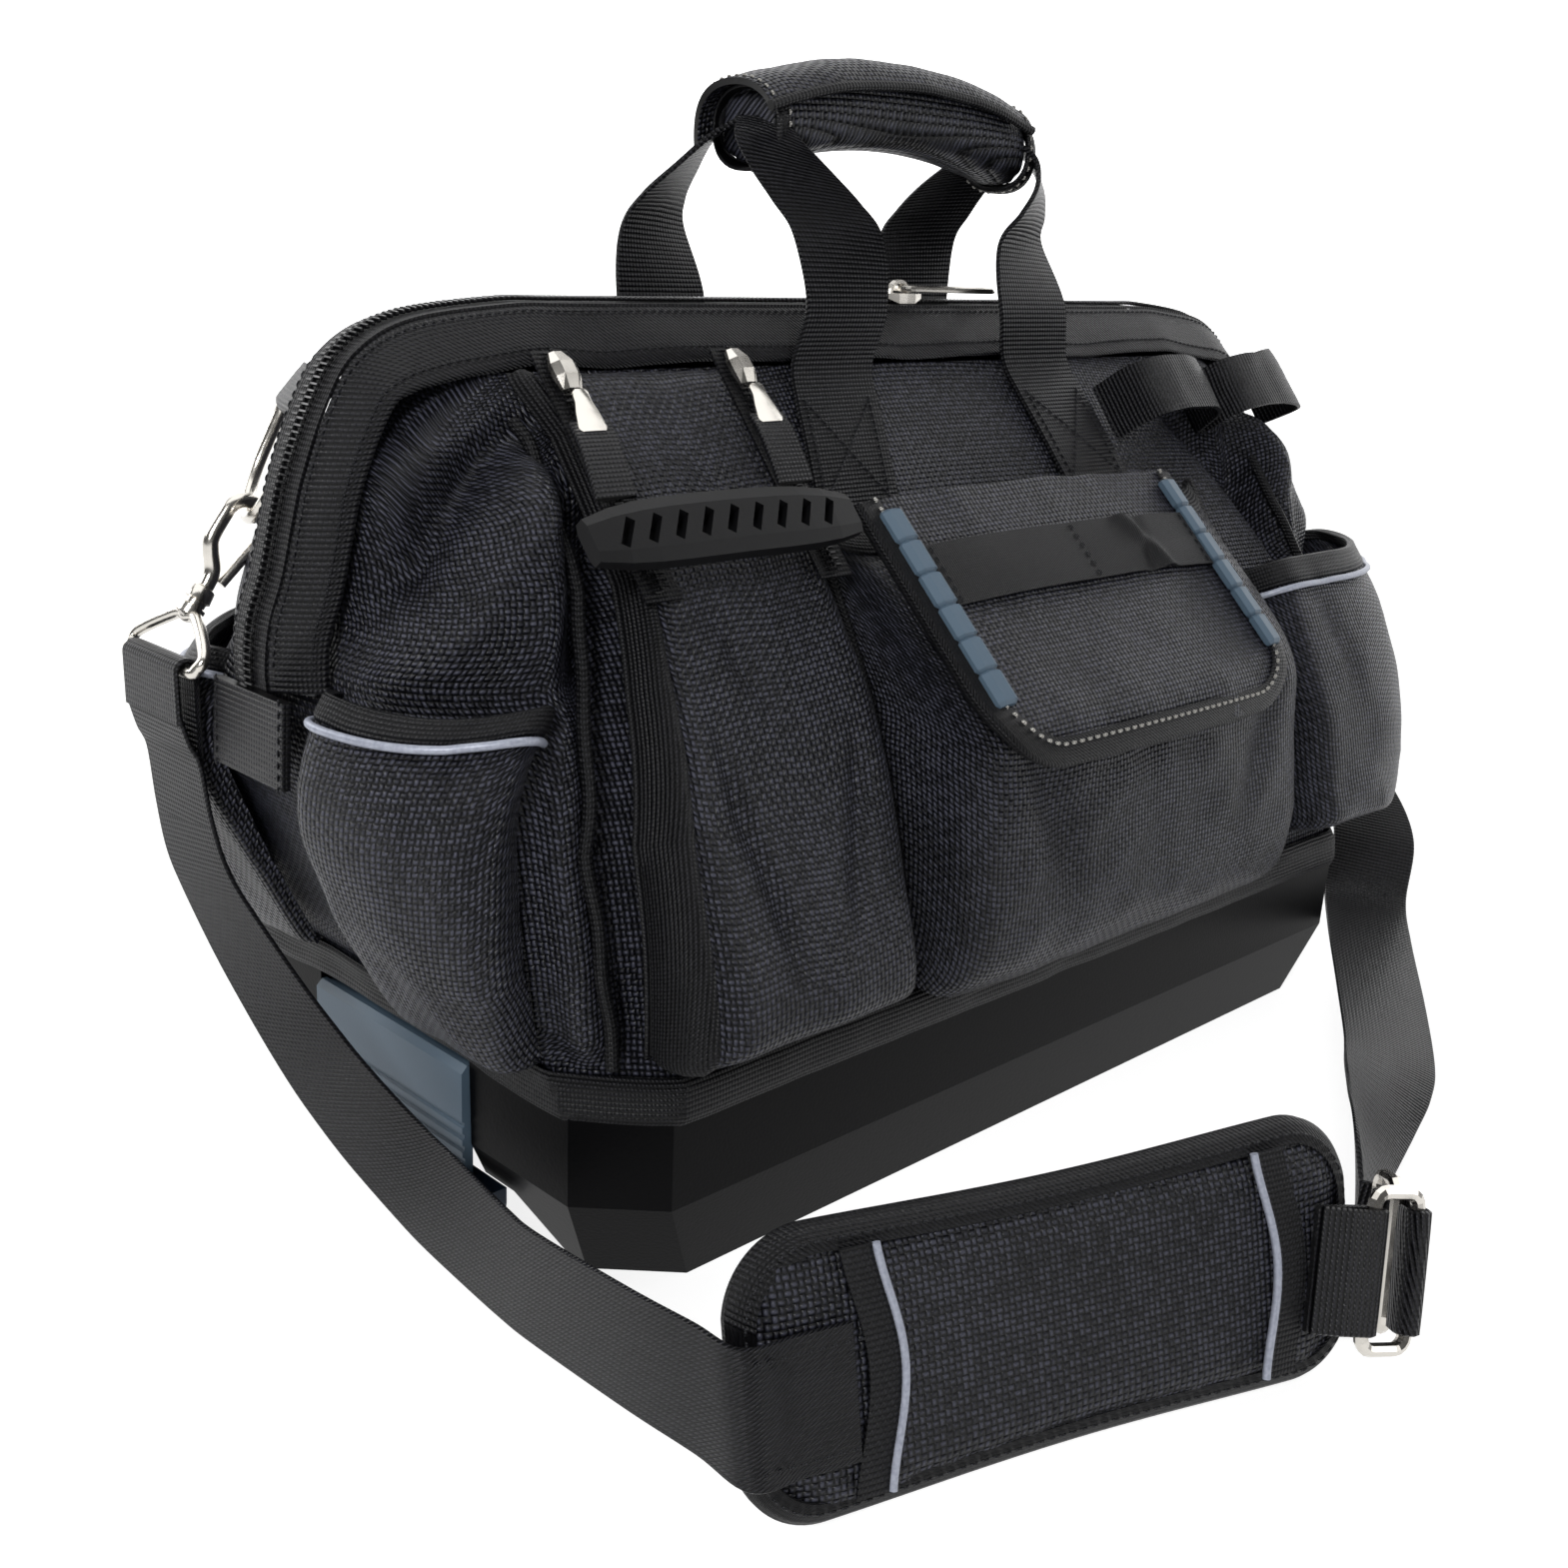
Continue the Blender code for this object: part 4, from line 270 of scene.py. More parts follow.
def band_rings(path, across, width, thickness):
    """Sections of a flat webbing along a path: a thin strip across it, with its edges rounded off."""
    path = np.asarray(path, float)
    across = unit(np.asarray(across, float) + 0 * path)
    face = unit(np.cross(np.gradient(path, axis=0), across))
    u = np.array([-1, -0.97, -0.6, 0, 0.6, 0.97, 1, 0.97, 0.6, 0, -0.6, -0.97])
    h = np.array([0, 0.9, 1, 1, 1, 0.9, 0, -0.9, -1, -1, -1, -0.9])
    width = np.broadcast_to(np.asarray(width, float), len(path))[:, None, None]
    sideways = across[:, None] * u[:, None] * width / 2
    return path[:, None] + sideways + face[:, None] * (h * thickness / 2)[:, None]


# %% [markdown]
# ## Finishes: one way to add a node
# Every material starts from what the real one is. A colour is written as the hex value that the eye sees,
# and one function turns it to the linear light that the shader works in. One more function adds a node and
# links it.

# %% Finishes: one way to add a node


def linear(hex_colour):
    """The sRGB curve undone: c/12.92 below 0.04045, and ((c + 0.055)/1.055) to the 2.4 above."""
    c = np.array([(hex_colour >> shift & 255) / 255 for shift in (16, 8, 0)])
    return tuple(np.where(c <= 0.04045, c / 12.92, ((c + 0.055) / 1.055) ** 2.4)) + (1.0,)


def add(tree, kind, inputs=None, **settings):
    """Adds a node, sets its properties, and sets or links its inputs."""
    node = tree.nodes.new(kind)
    for key, value in settings.items():
        setattr(node, key, value)
    for key, value in (inputs or {}).items():
        if isinstance(value, bpy.types.NodeSocket):
            tree.links.new(value, node.inputs[key])
        else:
            node.inputs[key].default_value = value
    return node


def finish(name, **values):
    """A new material: its node tree and its Principled shader, with the plain values set on its sockets."""
    material = bpy.data.materials.new(name)
    material.use_nodes = True
    shader = material.node_tree.nodes["Principled BSDF"]
    for key, value in values.items():
        shader.inputs[key.replace("_", " ")].default_value = value
    return material, material.node_tree, shader


# %% [markdown]
# ## Woven polyester, and webbing
# The bag's cloth is a coarse plain weave of textured polyester yarn, coated behind: each yarn passes over
# one and under the next, so it shows as a field of small pillows, turned one way and then the other.
# Webbing is the same weave with fat yarns across it, which is why it looks ribbed. One function draws both
# from the yarn spacings. The colour carries painted light: each yarn's crown is painted lighter as a
# highlight and the gaps are painted black as shade, and no two yarns are quite the same grey.

# %% Woven polyester, and webbing


def woven(name, shaded_gap_colour, lit_yarn_colour, across_mm, along_mm, relief_mm, roughness, uneven=0.5,
          haze=0.25, rib=0.0):
    """Yarn height: the sine of the distance across the yarn, over or under by the sign of the two sines'
    product. A rib of 1 leaves only the yarns that run across the webbing, notched a little by the yarns
    along it."""
    material, tree, shader = finish(name, Roughness=roughness, Specular_IOR_Level=0.2)
    cut = add(tree, "ShaderNodeUVMap", uv_map="cut").outputs[0]
    scaled = add(tree, "ShaderNodeMapping", {0: cut, 3: (1000 / across_mm, 1000 / along_mm, 1)}).outputs[0]
    axes = add(tree, "ShaderNodeSeparateXYZ", {0: scaled})
    sines, crowns = [], []
    for k in (0, 1):
        turned = add(tree, "ShaderNodeMath", {0: axes.outputs[k], 1: math.pi},
                     operation="MULTIPLY").outputs[0]
        sines.append(add(tree, "ShaderNodeMath", {0: turned}, operation="SINE").outputs[0])
        crowns.append(add(tree, "ShaderNodeMath", {0: sines[k]}, operation="ABSOLUTE").outputs[0])
    both = add(tree, "ShaderNodeMath", {0: sines[0], 1: sines[1]}, operation="MULTIPLY").outputs[0]
    over = add(tree, "ShaderNodeMath", {0: both, 1: 0.0}, operation="GREATER_THAN").outputs[0]
    heights = []
    for k in (0, 1):
        round_off = add(tree, "ShaderNodeMath", {0: crowns[1 - k], 1: 0.5, 2: 0.5},
                        operation="MULTIPLY_ADD").outputs[0]
        heights.append(add(tree, "ShaderNodeMath", {0: crowns[k], 1: round_off},
                           operation="MULTIPLY").outputs[0])
    plain = add(tree, "ShaderNodeMix", {0: over, 2: heights[1], 3: heights[0]}).outputs[0]
    notch = add(tree, "ShaderNodeMath", {0: crowns[0], 1: 0.3, 2: 0.7}, operation="MULTIPLY_ADD").outputs[0]
    ribs = add(tree, "ShaderNodeMath", {0: crowns[1], 1: notch}, operation="MULTIPLY").outputs[0]
    height = add(tree, "ShaderNodeMix", {0: rib, 2: plain, 3: ribs}).outputs[0]
    cell = add(tree, "ShaderNodeVectorMath", {0: scaled}, operation="FLOOR").outputs[0]
    chance = add(tree, "ShaderNodeTexWhiteNoise", {0: cell}, noise_dimensions="2D").outputs[0]
    vary = add(tree, "ShaderNodeMath", {0: chance, 1: uneven, 2: 1 - uneven / 2},
               operation="MULTIPLY_ADD").outputs[0]
    cloud = add(tree, "ShaderNodeTexNoise", {"Vector": cut, "Scale": 22.0, "Detail": 4.0}).outputs[0]
    worn = add(tree, "ShaderNodeMath", {0: cloud, 1: 2 * haze, 2: 1 - haze},
               operation="MULTIPLY_ADD").outputs[0]
    # Painted light: the colour runs from painted shade in the gaps to a painted highlight on each yarn's
    # crown, by the yarn's height, times a random tone for each yarn and in clouds.
    light = add(tree, "ShaderNodeMath", {0: height, 1: vary}, operation="MULTIPLY").outputs[0]
    light = add(tree, "ShaderNodeMath", {0: light, 1: worn}, operation="MULTIPLY").outputs[0]
    sharp = add(tree, "ShaderNodeMath", {0: light, 1: 2.6}, operation="POWER", use_clamp=True).outputs[0]
    colour = add(tree, "ShaderNodeMix", {0: sharp, 6: linear(shaded_gap_colour), 7: linear(lit_yarn_colour)},
                 data_type="RGBA")
    tree.links.new(colour.outputs[2], shader.inputs["Base Color"])
    bump = add(tree, "ShaderNodeBump", {"Strength": 0.9, "Distance": relief_mm * MM, "Height": height})
    tree.links.new(bump.outputs[0], shader.inputs["Normal"])
    return material


# Yarns are drawn 1.9 mm apart in the cloth, which is coarse enough to show. The fat yarns across the
# webbing are drawn 1.7 mm apart.
body_cloth = woven("coarse woven polyester", 0x010102, 0x3A3B46, 1.9, 1.9, 0.9, 0.36, 0.6, 0.35)
soft_cloth = woven("woven polyester over foam", 0x010102, 0x34353F, 1.9, 1.9, 0.9, 0.38, 0.6, 0.35)
webbing = woven("ribbed polypropylene webbing", 0x010102, 0x1B1B20, 1.5, 1.7, 0.7, 0.38, 0.35, rib=0.85)
binding = woven("grosgrain binding", 0x010102, 0x17171B, 1.2, 1.6, 0.5, 0.45, 0.35, rib=0.6)
elastic = woven("woven elastic", 0x010102, 0x121216, 1.0, 0.9, 0.25, 0.55, 0.3, rib=1.0)
print("woven finishes:", len(bpy.data.materials))

# %% [markdown]
# ## Moulded plastic, rubber and metal
# The base is matt polypropylene from a spark-eroded mould, with a fine grain that spreads the light. The
# catches are polyamide in blue grey, with a finer grain. The rings are steel wire and the hooks cast zinc,
# both nickel plated and polished, so they show mostly what stands round them. The coil of the zip is drawn
# nylon, black and glossy.

# %% Moulded plastic, rubber and metal


def moulded(name, colour, dark, roughness, grain_mm, relief_mm, shine=0.3):
    """A colour that drifts a little between two tones, and a grain of fine noise for the mould's texture."""
    material, tree, shader = finish(name, Roughness=roughness, Specular_IOR_Level=shine)
    place = add(tree, "ShaderNodeTexCoord").outputs["Object"]
    drift = add(tree, "ShaderNodeTexNoise", {"Vector": place, "Scale": 9.0, "Detail": 5.0}).outputs[0]
    tone = add(tree, "ShaderNodeMix", {0: drift, 6: linear(dark), 7: linear(colour)}, data_type="RGBA")
    tree.links.new(tone.outputs[2], shader.inputs["Base Color"])
    grain = add(tree, "ShaderNodeTexNoise",
                {"Vector": place, "Scale": 1 / (grain_mm * MM), "Detail": 2.0}).outputs[0]
    bump = add(tree, "ShaderNodeBump", {"Strength": 0.6, "Distance": relief_mm * MM, "Height": grain})
    tree.links.new(bump.outputs[0], shader.inputs["Normal"])
    return material


base_plastic = moulded("matt moulded polypropylene", 0x060607, 0x030304, 0.38, 1.1, 0.10, 0.06)
catch_plastic = moulded("blue-grey moulded polyamide", 0x4C5D6C, 0x3F4E5B, 0.42, 0.8, 0.05)
navy_plastic = moulded("dark blue moulded polyamide", 0x182637, 0x101B28, 0.4, 0.8, 0.05)
bar_rubber = moulded("soft moulded rubber", 0x0C0C0E, 0x070708, 0.45, 0.7, 0.06, 0.2)
coil_nylon = moulded("black nylon coil", 0x101012, 0x070708, 0.25, 0.9, 0.02)
spring_steel = moulded("bare spring steel", 0x8B8D90, 0x6F7174, 0.4, 0.5, 0.02)

nickel, tree, shader = finish("polished nickel plate", Metallic=1.0, Roughness=0.2,
                              Base_Color=linear(0xCFCBC4))
place = add(tree, "ShaderNodeTexCoord").outputs["Object"]
smudge = add(tree, "ShaderNodeTexNoise", {"Vector": place, "Scale": 160.0, "Detail": 3.0}).outputs[0]
dull = add(tree, "ShaderNodeMapRange", {0: smudge, 3: 0.12, 4: 0.32}).outputs[0]
tree.links.new(dull, shader.inputs["Roughness"])

silver_piping, tree, shader = finish("reflective piping", Roughness=0.42, Metallic=0.25)
place = add(tree, "ShaderNodeTexCoord").outputs["Object"]
beads = add(tree, "ShaderNodeTexNoise", {"Vector": place, "Scale": 900.0, "Detail": 1.0}).outputs[0]
tone = add(tree, "ShaderNodeMix", {0: beads, 6: linear(0x6E7280), 7: linear(0xA0A4B0)}, data_type="RGBA")
tree.links.new(tone.outputs[2], shader.inputs["Base Color"])

black_thread = woven("bonded black thread", 0x0A0A0C, 0x34353A, 0.6, 0.9, 0.2, 0.5)
pale_thread = woven("undyed polyester thread", 0x6E6C68, 0xD8D6D0, 0.6, 0.9, 0.2, 0.55)
print("finishes:", len(bpy.data.materials))

# %% [markdown]
# ## Rigid solids keep their shapes
# A moulding, a slider or a bent bar is already right as a solid, so it only gets its finish.

# %% Rigid solids keep their shapes
RIGID = {
    base_plastic: ("base_tub", "catch_clip_left", "catch_clip_right"),
    catch_plastic: ("catch_left", "catch_right", "flap_strip_left", "flap_strip_right"),
    navy_plastic: ("catch_lip_left", "catch_lip_right"),
    bar_rubber: ("pull_bar",),
    spring_steel: ("frame_front", "frame_rear"),
    nickel: ("main_slider", "main_slider_pull", "pocket_slider_left", "pocket_slider_right", "strap_ring",
             "strap_slider"),
}
for material, names in RIGID.items():
    for name in names:
        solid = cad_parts[name]
        solid.data.materials.clear()
        solid.data.materials.append(material)
print("finished solids:", sum(map(len, RIGID.values())))

# %% [markdown]
# ## The form of the cloth body
# The body is one smooth form: at each height its outline is a rectangle with round corners, whose half
# length, half depth and corner radius change with the height. A point is named by its distance round the
# outline from the middle of the front, its share of the height and its distance off the cloth, so anything
# can be laid on it.

# %% The form of the cloth body
BASE_LENGTH, BASE_DEPTH, BASE_HEIGHT, CORNER_CUT = 0.420, 0.234, 0.066, 0.022
BODY_FOOT, BODY_TOP = 0.0669, 0.2665
BODY_RISE = 0.2  # the body's height in round metres, which gives a share of it a length
SWELL_LEVELS = (0, 0.15, 0.30, 0.456, 0.62, 0.78, 0.893, 1)
SWELL_SHARES = (0, 0.37, 0.70, 0.95, 0.78, 0.70, 0.60, 0.02)
swell_curve = through(np.stack([SWELL_LEVELS, SWELL_SHARES, np.zeros(8)], -1), 80)


def half_length(t):
    """Half the body's length at a share of its height: a straight taper, and a swell through the shares
    above."""
    return mix(0.2078, 0.200, t) + np.interp(t, swell_curve[:, 0], swell_curve[:, 1]) * 0.0435


def half_depth(t):
    """Half its depth: a straight taper from the base to the mouth, and half a sine wave on top."""
    return mix(0.1148, 0.022, t) + 0.020 * np.sin(np.pi * np.clip(t, 0, 1))


def corner_radius(t):
    """The corner's radius: that of the base and of the mouth, and half a sine wave more in between."""
    return mix(CORNER_CUT, 0.020, t) + 0.042 * np.sin(np.pi * np.clip(t, 0, 1))


def round_length(t):
    """From the middle of the front, round the corner, to the middle of an end."""
    return half_length(t) + half_depth(t) - corner_radius(t) * (2 - np.pi / 2)


def share_of(z):
    """A height in metres as a share of the body's height."""
    return (z - BODY_FOOT) / (BODY_TOP - BODY_FOOT)


def on_body(s, t, off=0.0):
    """Straight, then a quarter turn, then straight, mirrored for the left and the rear; moved off along the
    normal, which leans with the slope of the side."""
    s, t, off = np.broadcast_arrays(np.asarray(s, float), np.asarray(t, float), np.asarray(off, float))
    side, s = np.where(s < 0, -1.0, 1.0), np.abs(s)
    whole = round_length(t)
    rear, s = np.where(s > whole, -1.0, 1.0), np.where(s > whole, 2 * whole - s, s)
    a, b, r = half_length(t), half_depth(t), corner_radius(t)
    turn = np.clip((s - (a - r)) / r, 0, np.pi / 2)
    on_end = np.clip(s - (a - r) - r * np.pi / 2, 0, None)
    chord = turn / (np.pi / 2)
    straight = np.minimum(s, a - r)
    rounding = np.clip(t / 0.2, 0, 1)
    x = straight + mix(r * chord, r * np.sin(turn), rounding)
    y = mix(-b + r * chord, -(b - r) - r * np.cos(turn), rounding) + on_end
    slope_side = (half_depth(t - 0.002) - half_depth(t + 0.002)) / (0.004 * (BODY_TOP - BODY_FOOT))
    slope_end = (half_length(t - 0.002) - half_length(t + 0.002)) / (0.004 * (BODY_TOP - BODY_FOOT))
    lift = mix(slope_side, slope_end, chord)
    level = off / np.sqrt(1 + lift**2)
    return np.stack([side * (x + level * np.sin(turn)), rear * (y - level * np.cos(turn)),
                     mix(BODY_FOOT, BODY_TOP, t) + level * lift], -1)


SEAM_LEVELS = (0, 0.37, 0.56, 0.70, 0.90, 1)
SEAM_SHARES = (0.4845, 0.4870, 0.4640, 0.4420, 0.4360, 0.4570)


def seam(t):
    """Where the front panel is sewn to the end gusset, as a distance from the middle of the front."""
    return np.interp(t, SEAM_LEVELS, SEAM_SHARES) * BASE_LENGTH


for level, height in (("foot", 0.0), ("middle", 0.5), ("mouth", 1.0)):
    print("round the body at its", level, "in mm:", round(4000 * float(round_length(height))))

# %% [markdown]
# ## The body cloth
# The real body is four panels sewn edge to edge, held out by the base below and by the hidden frame above,
# and slack in between. It is made as one lofted shell that sags: long shallow waves everywhere, and deep
# folds in the gussets, where the cloth has to give when the mouth opens.

# %% The body cloth
FOLDS = (((-0.106, 0.99), (-0.092, 0.46), 0.009, -9.0), ((-0.084, 0.97), (-0.058, 0.52), 0.011, 8.0),
         ((-0.060, 0.97), (-0.030, 0.66), 0.009, -10.0), ((-0.052, 0.72), (-0.040, 0.50), 0.014, 6.0),
         ((0.060, 0.95), (0.040, 0.5), 0.011, 6.0), ((0.088, 0.95), (0.074, 0.45), 0.009, -8.0))
t = np.linspace(0, 1, 84)[:, None]
k = np.linspace(-2, 2, 380, endpoint=False)[None, :]
s = k * round_length(t)
ends = np.exp(-(((np.abs(k) - 1) / 0.30) ** 2))
free = np.sin(np.pi * np.clip((t - 0.02) / 0.96, 0, 1)) ** 0.7
high = np.clip((t - 0.50) / 0.1, 0, 1) * np.clip((0.99 - t) / 0.08, 0, 1)
sag = 1.1 * MM * ripple(s, t * BODY_RISE, 3, 0.16, 0.03) * free * mix(0.5, 1, ends)
# A fold's row gives both its ends, as metres from the end's middle and a share of height, its width and its
# rise.
from_end = (np.abs(k) - 1) * round_length(t)
for start, end, width, rise in FOLDS:
    ends_m = np.array([start, end]) * (1, BODY_RISE)
    sag = sag + rise * MM * crease(from_end, t * BODY_RISE, *ends_m, width) * high
# The cloth rolls up beside the front seam and dips between the roll and the seam.
beside_seam = np.abs(s) - seam(t) - 0.008
on_front = np.where(s < 0, 1.0, high) * np.clip((t - 0.03) / 0.06, 0, 1) * np.clip((0.93 - t) / 0.08, 0, 1)
roll = np.exp(-((beside_seam / 0.0062) ** 2)) - np.exp(-(((beside_seam + 0.0135) / 0.0055) ** 2))
sag = sag + 6.0 * MM * roll * on_front
body_shell = cloth("body_cloth", on_body(s, t, sag), 0.0018, body_cloth, "bag",
                   ("panel_front", "panel_rear", "gusset_left", "gusset_right"), ring=True)
print("body cloth, faces:", len(body_shell.data.polygons))

# %% [markdown]
# ## Bound seams
# Each seam between a panel and a gusset is covered by a folded tape, which stands up as a soft ridge.

# %% Bound seams
t = np.linspace(0.05, 0.93, 70)
for side, sign in (("left", -1), ("right", 1)):
    for face, mirror in (("front", 1), ("rear", -1)):
        path = on_body(sign * (seam(t) + 0.001), t, 0.0030) * (1, mirror, 1)
        path[:, 0] += sign * 0.5 * MM * np.sin(t * 40)
        sections(f"seam_tape_{face}_{side}", tube_rings(path, 0.0021, 8), binding, "bag")
print("seam tapes: 4")

# %% [markdown]
# ## The binding round the base
# A folded tape holds the cloth's raw edge to the lip of the base all round. Its section is a soft, full
# band.

# %% The binding round the base
z = np.array([0.0580, 0.0592, 0.062, 0.066, 0.070, 0.0722, 0.0735])[:, None]
full = np.array([0.0008, 0.0026, 0.0034, 0.0036, 0.0035, 0.0027, 0.0012])[:, None]
k = np.linspace(-2, 2, 420, endpoint=False)[None, :]
t = np.maximum(share_of(z), 0.0)
s = k * round_length(t)
grid = on_body(s, t, full + 0.0006 + 0.35 * MM * ripple(s, z, 11, 0.08, 0.012))
# Its lower edge is lifted a little over each catch, which swings out close under it.
near_catch = np.exp(-((np.abs(np.abs(k) - 1) * round_length(0.0) / 0.052) ** 8))
grid[..., 2] = z + 0.0026 * near_catch * np.clip((0.0630 - z) / 0.005, 0, 1)
outset = np.where(z < BASE_HEIGHT, 0.0024, 0.0015)
grid[..., :2] += unit(grid[..., :2] * (0.35, 1.0)) * (outset * 0.4)[..., None]
cloth("base_binding_tape", grid, 0.0016, binding, "bag", ("base_binding",), ring=True)
print("binding points:", grid.shape)

# %% [markdown]
# ## The line of the mouth
# A wide-mouth bag has its zip over the top and down both ends, so the mouth's edge is one long arch. Seen
# from the front, it drops at each end to half the bag's height. The hem is a stiff webbing each side of it,
# sloping down and outward like a roof, so that the zip stands highest.

# %% The line of the mouth
RIM_HEIGHT = 0.2860
RIM_OUT = (1.210, 1.212, 1.203, 1.181, 1.162, 1.145, 1.107, 1.0595, 0.9695, 0.804, 0.7143)
RIM_RISE = (0.615, 0.643, 0.688, 0.7325, 0.788, 0.832, 0.899, 0.951, 0.984, 0.999, 1.0)


def rim_line(count):
    """Up the left end, over the top and down the right end, at even steps; and the way out of the bag."""
    end = through(np.stack([np.array(RIM_OUT) * BASE_LENGTH / 2, 0 * np.array(RIM_OUT),
                            np.array(RIM_RISE) * RIM_HEIGHT], -1), 160)
    whole = np.concatenate([end * (-1, 1, 1), end[::-1]])
    run = run_of(whole)
    line = smooth_rows(at_places(whole, run, np.linspace(0, run[-1], count)), 2)
    return line, np.cross(unit(np.gradient(line, axis=0)), (0, 1, 0)), run[-1]


def beside_rim(line, out, y, drop, lift=0.0):
    """Points beside the mouth: at y, lowered by a drop that is less where the mouth runs down the ends."""
    share = mix(0.60, 1, np.abs(out[:, None, 2]) ** 4)
    raised = out[:, None] * (lift - drop * share)[..., None]
    return line[:, None] + np.array([0, 1, 0]) * y[..., None] + raised


line, out, mouth_length = rim_line(420)
print("mouth line", round(mouth_length * 1000), "mm")

# %% [markdown]
# ## Hems
# Each hem is one webbing, folded over the cloth's edge and stitched twice. Its ribs run across it. Its own
# weight and the pull of the handle make it wave a little.

# %% Hems
HEM_NEAR, HEM_FAR, HEM_DROP = 0.0092, 0.0230, 0.0160
across = np.array([-0.10, -0.04, 0, 0.06, 0.2, 0.4, 0.6, 0.8, 0.94, 1.0, 1.03, 1.0])
tuck = np.array([-3.4, -2.4, -1.2, -0.3, 0.25, 0.5, 0.6, 0.45, 0.1, -0.6, -1.5, -2.4]) * MM
rows = (np.arange(len(line)) / len(line) * mouth_length)[:, None]


def on_hem(sign, share, lift):
    """Points of a hem at shares of its width, lifted off it. Its wave grows with the share."""
    y = sign * mix(HEM_NEAR, HEM_FAR, share) + 0 * rows
    held = np.clip(share, 0, 1)
    wave = 0.7 * MM * ripple(rows, y * 2, 21 + sign, 0.12, 0.02) * held
    return beside_rim(line, out, y, HEM_DROP * held + 0 * rows, lift + wave)


for name, sign in (("front", -1), ("rear", 1)):
    grid = on_hem(sign, across[None, :], tuck + 0.0002)
    cloth(f"hem_tape_{name}", grid, 0.0012, webbing, "bag", (f"hem_{name}",))
print("hems:", round((HEM_FAR - HEM_NEAR) * 1000, 1), "mm across from above")

# %% [markdown]
# ## Stitches
# A lockstitch shows as a row of short threads with a gap where each dives through. One small thread is
# drawn once and repeated at places along a path, each copy turned to lie on its cloth.

# %% Stitches


def copies(name, shape, places, axes, material, body):
    """One mesh of many copies of a ringed shape: each point is its place plus its three axes times the
    shape."""
    rings, sides = shape.shape[:2]
    points = places[:, None, None] + np.einsum("rsk,nkd->nrsd", shape, axes)
    face, place = quads(rings, sides, sides + 1, True)
    caps = [list(range(sides)), list(range((rings - 1) * sides, rings * sides))]
    count = len(places)
    shifts = (np.arange(count) * rings * sides)[:, None, None]
    faces = (face[None] + shifts).reshape(-1, 4).tolist()
    faces += [[k + int(first) for k in cap] for first in shifts[:, 0, 0] for cap in caps]
    cut = lengths(shape, True).reshape(-1, 2)[place].reshape(-1, 2)
    cap_cut = np.zeros((2 * sides, 2))
    maps = np.concatenate([np.tile(cut, (count, 1)), np.tile(cap_cut, (count, 1))])
    return build(name, points.reshape(-1, 3), faces, maps, material, body)


def thread_shape(length, radius):
    """A short thread along its first axis, thin where it dives into the cloth at its ends."""
    x = np.array([-0.5, -0.36, 0, 0.36, 0.5]) * length
    size = np.array([0.35, 0.9, 1, 0.9, 0.35]) * radius
    sink = np.array([-0.9, -0.1, 0.25, -0.1, -0.9]) * radius
    turns = np.arange(5) / 5 * TAU
    y, z = (size[:, None] * f(turns) for f in (np.cos, np.sin))
    return np.stack([x[:, None] + 0 * turns, y, z + sink[:, None]], -1)


def axes_along(path, normal):
    """For each point of a path: forward, sideways and off the cloth."""
    forward = unit(np.gradient(path, axis=0))
    side = unit(np.cross(normal, forward))
    return np.stack([forward, side, np.cross(forward, side)], 1)


def stitch(name, path, normal, material=black_thread, body="bag", pitch=3.2, length=2.3, radius=0.32):
    """A row of stitches along a path on a cloth whose normals are given. Pitch, length and radius are in
    mm."""
    path, normal = np.asarray(path, float), np.broadcast_to(np.asarray(normal, float), np.shape(path))
    run = run_of(path)
    at = np.linspace(0, run[-1], max(int(run[-1] / (pitch * MM)), 3))
    spots, facing = at_places(path, run, at), unit(at_places(normal, run, at))
    shape = thread_shape(length * MM, radius * MM)
    return copies(name, shape, spots, axes_along(spots, facing), material, body)


for name, sign in (("front", -1), ("rear", 1)):
    for row, share in (("upper", 0.16), ("lower", 0.86)):
        path = on_hem(sign, share, np.interp(share, across, tuck) + 0.0004)[:, 0]
        normal = unit(out + np.array([0, sign * 0.9, 0]))
        stitch(f"hem_stitch_{name}_{row}", path[6:-6], normal[6:-6])
print("hem stitches: 4 rows")

# %% [markdown]
# ## The coil zip
# A coil zip is two nylon spirals sewn to woven tapes. Closed, the turns of one lie between the turns of the
# other, 2.1 mm apart. Each turn is drawn as a small flattened bar across the line, and the two rows overlap
# in the middle.

# %% The coil zip
TOOTH_PITCH, TOOTH_WIDE = 0.0021, 0.0015


def tooth_shape(reach, tall, wide):
    """A bar across the zip with a head at its inner end: rings of six points, along its second axis."""
    y = np.array([-0.12, 0.02, 0.3, 0.7, 0.95, 1.0]) * reach
    size = np.array([0.55, 1.0, 0.8, 0.75, 0.65, 0.3])
    turns = np.arange(6) / 6 * TAU
    return np.stack([wide / 2 * size[:, None] * np.cos(turns), y[:, None] + 0 * turns,
                     tall / 2 * (1 + size[:, None] * np.sin(turns))], -1)


def zip_chain(name, path, normal, tape_half, reach, tall, stands_for):
    """A zip along a path: its tape, and the turns of its coil in two rows, half a pitch apart."""
    side = unit(np.cross(normal, unit(np.gradient(path, axis=0))))
    k = np.array([-1, -0.8, -0.5, -0.2, 0, 0.2, 0.5, 0.8, 1])
    grid = path[:, None] + side[:, None] * (k * tape_half)[None, :, None]
    inside = path.mean(0) - normal.mean(0)
    cloth(f"{name}_tape", grid, 0.0009, binding, "bag", stands_for, centre=inside)
    run = run_of(path)
    count = int(run[-1] / TOOTH_PITCH)
    tooth = tooth_shape(reach, tall, TOOTH_WIDE)
    for row, turn, shift in (("a", 1, 0.0), ("b", -1, 0.5)):
        at = (np.arange(count - 1) + shift + 0.25) * TOOTH_PITCH
        spots = at_places(path, run, at)
        axes = axes_along(spots, unit(at_places(normal, run, at))) * np.array([1, turn, 1])[None, :, None]
        copies(f"{name}_coil_{row}", tooth, spots, axes, coil_nylon, "bag")


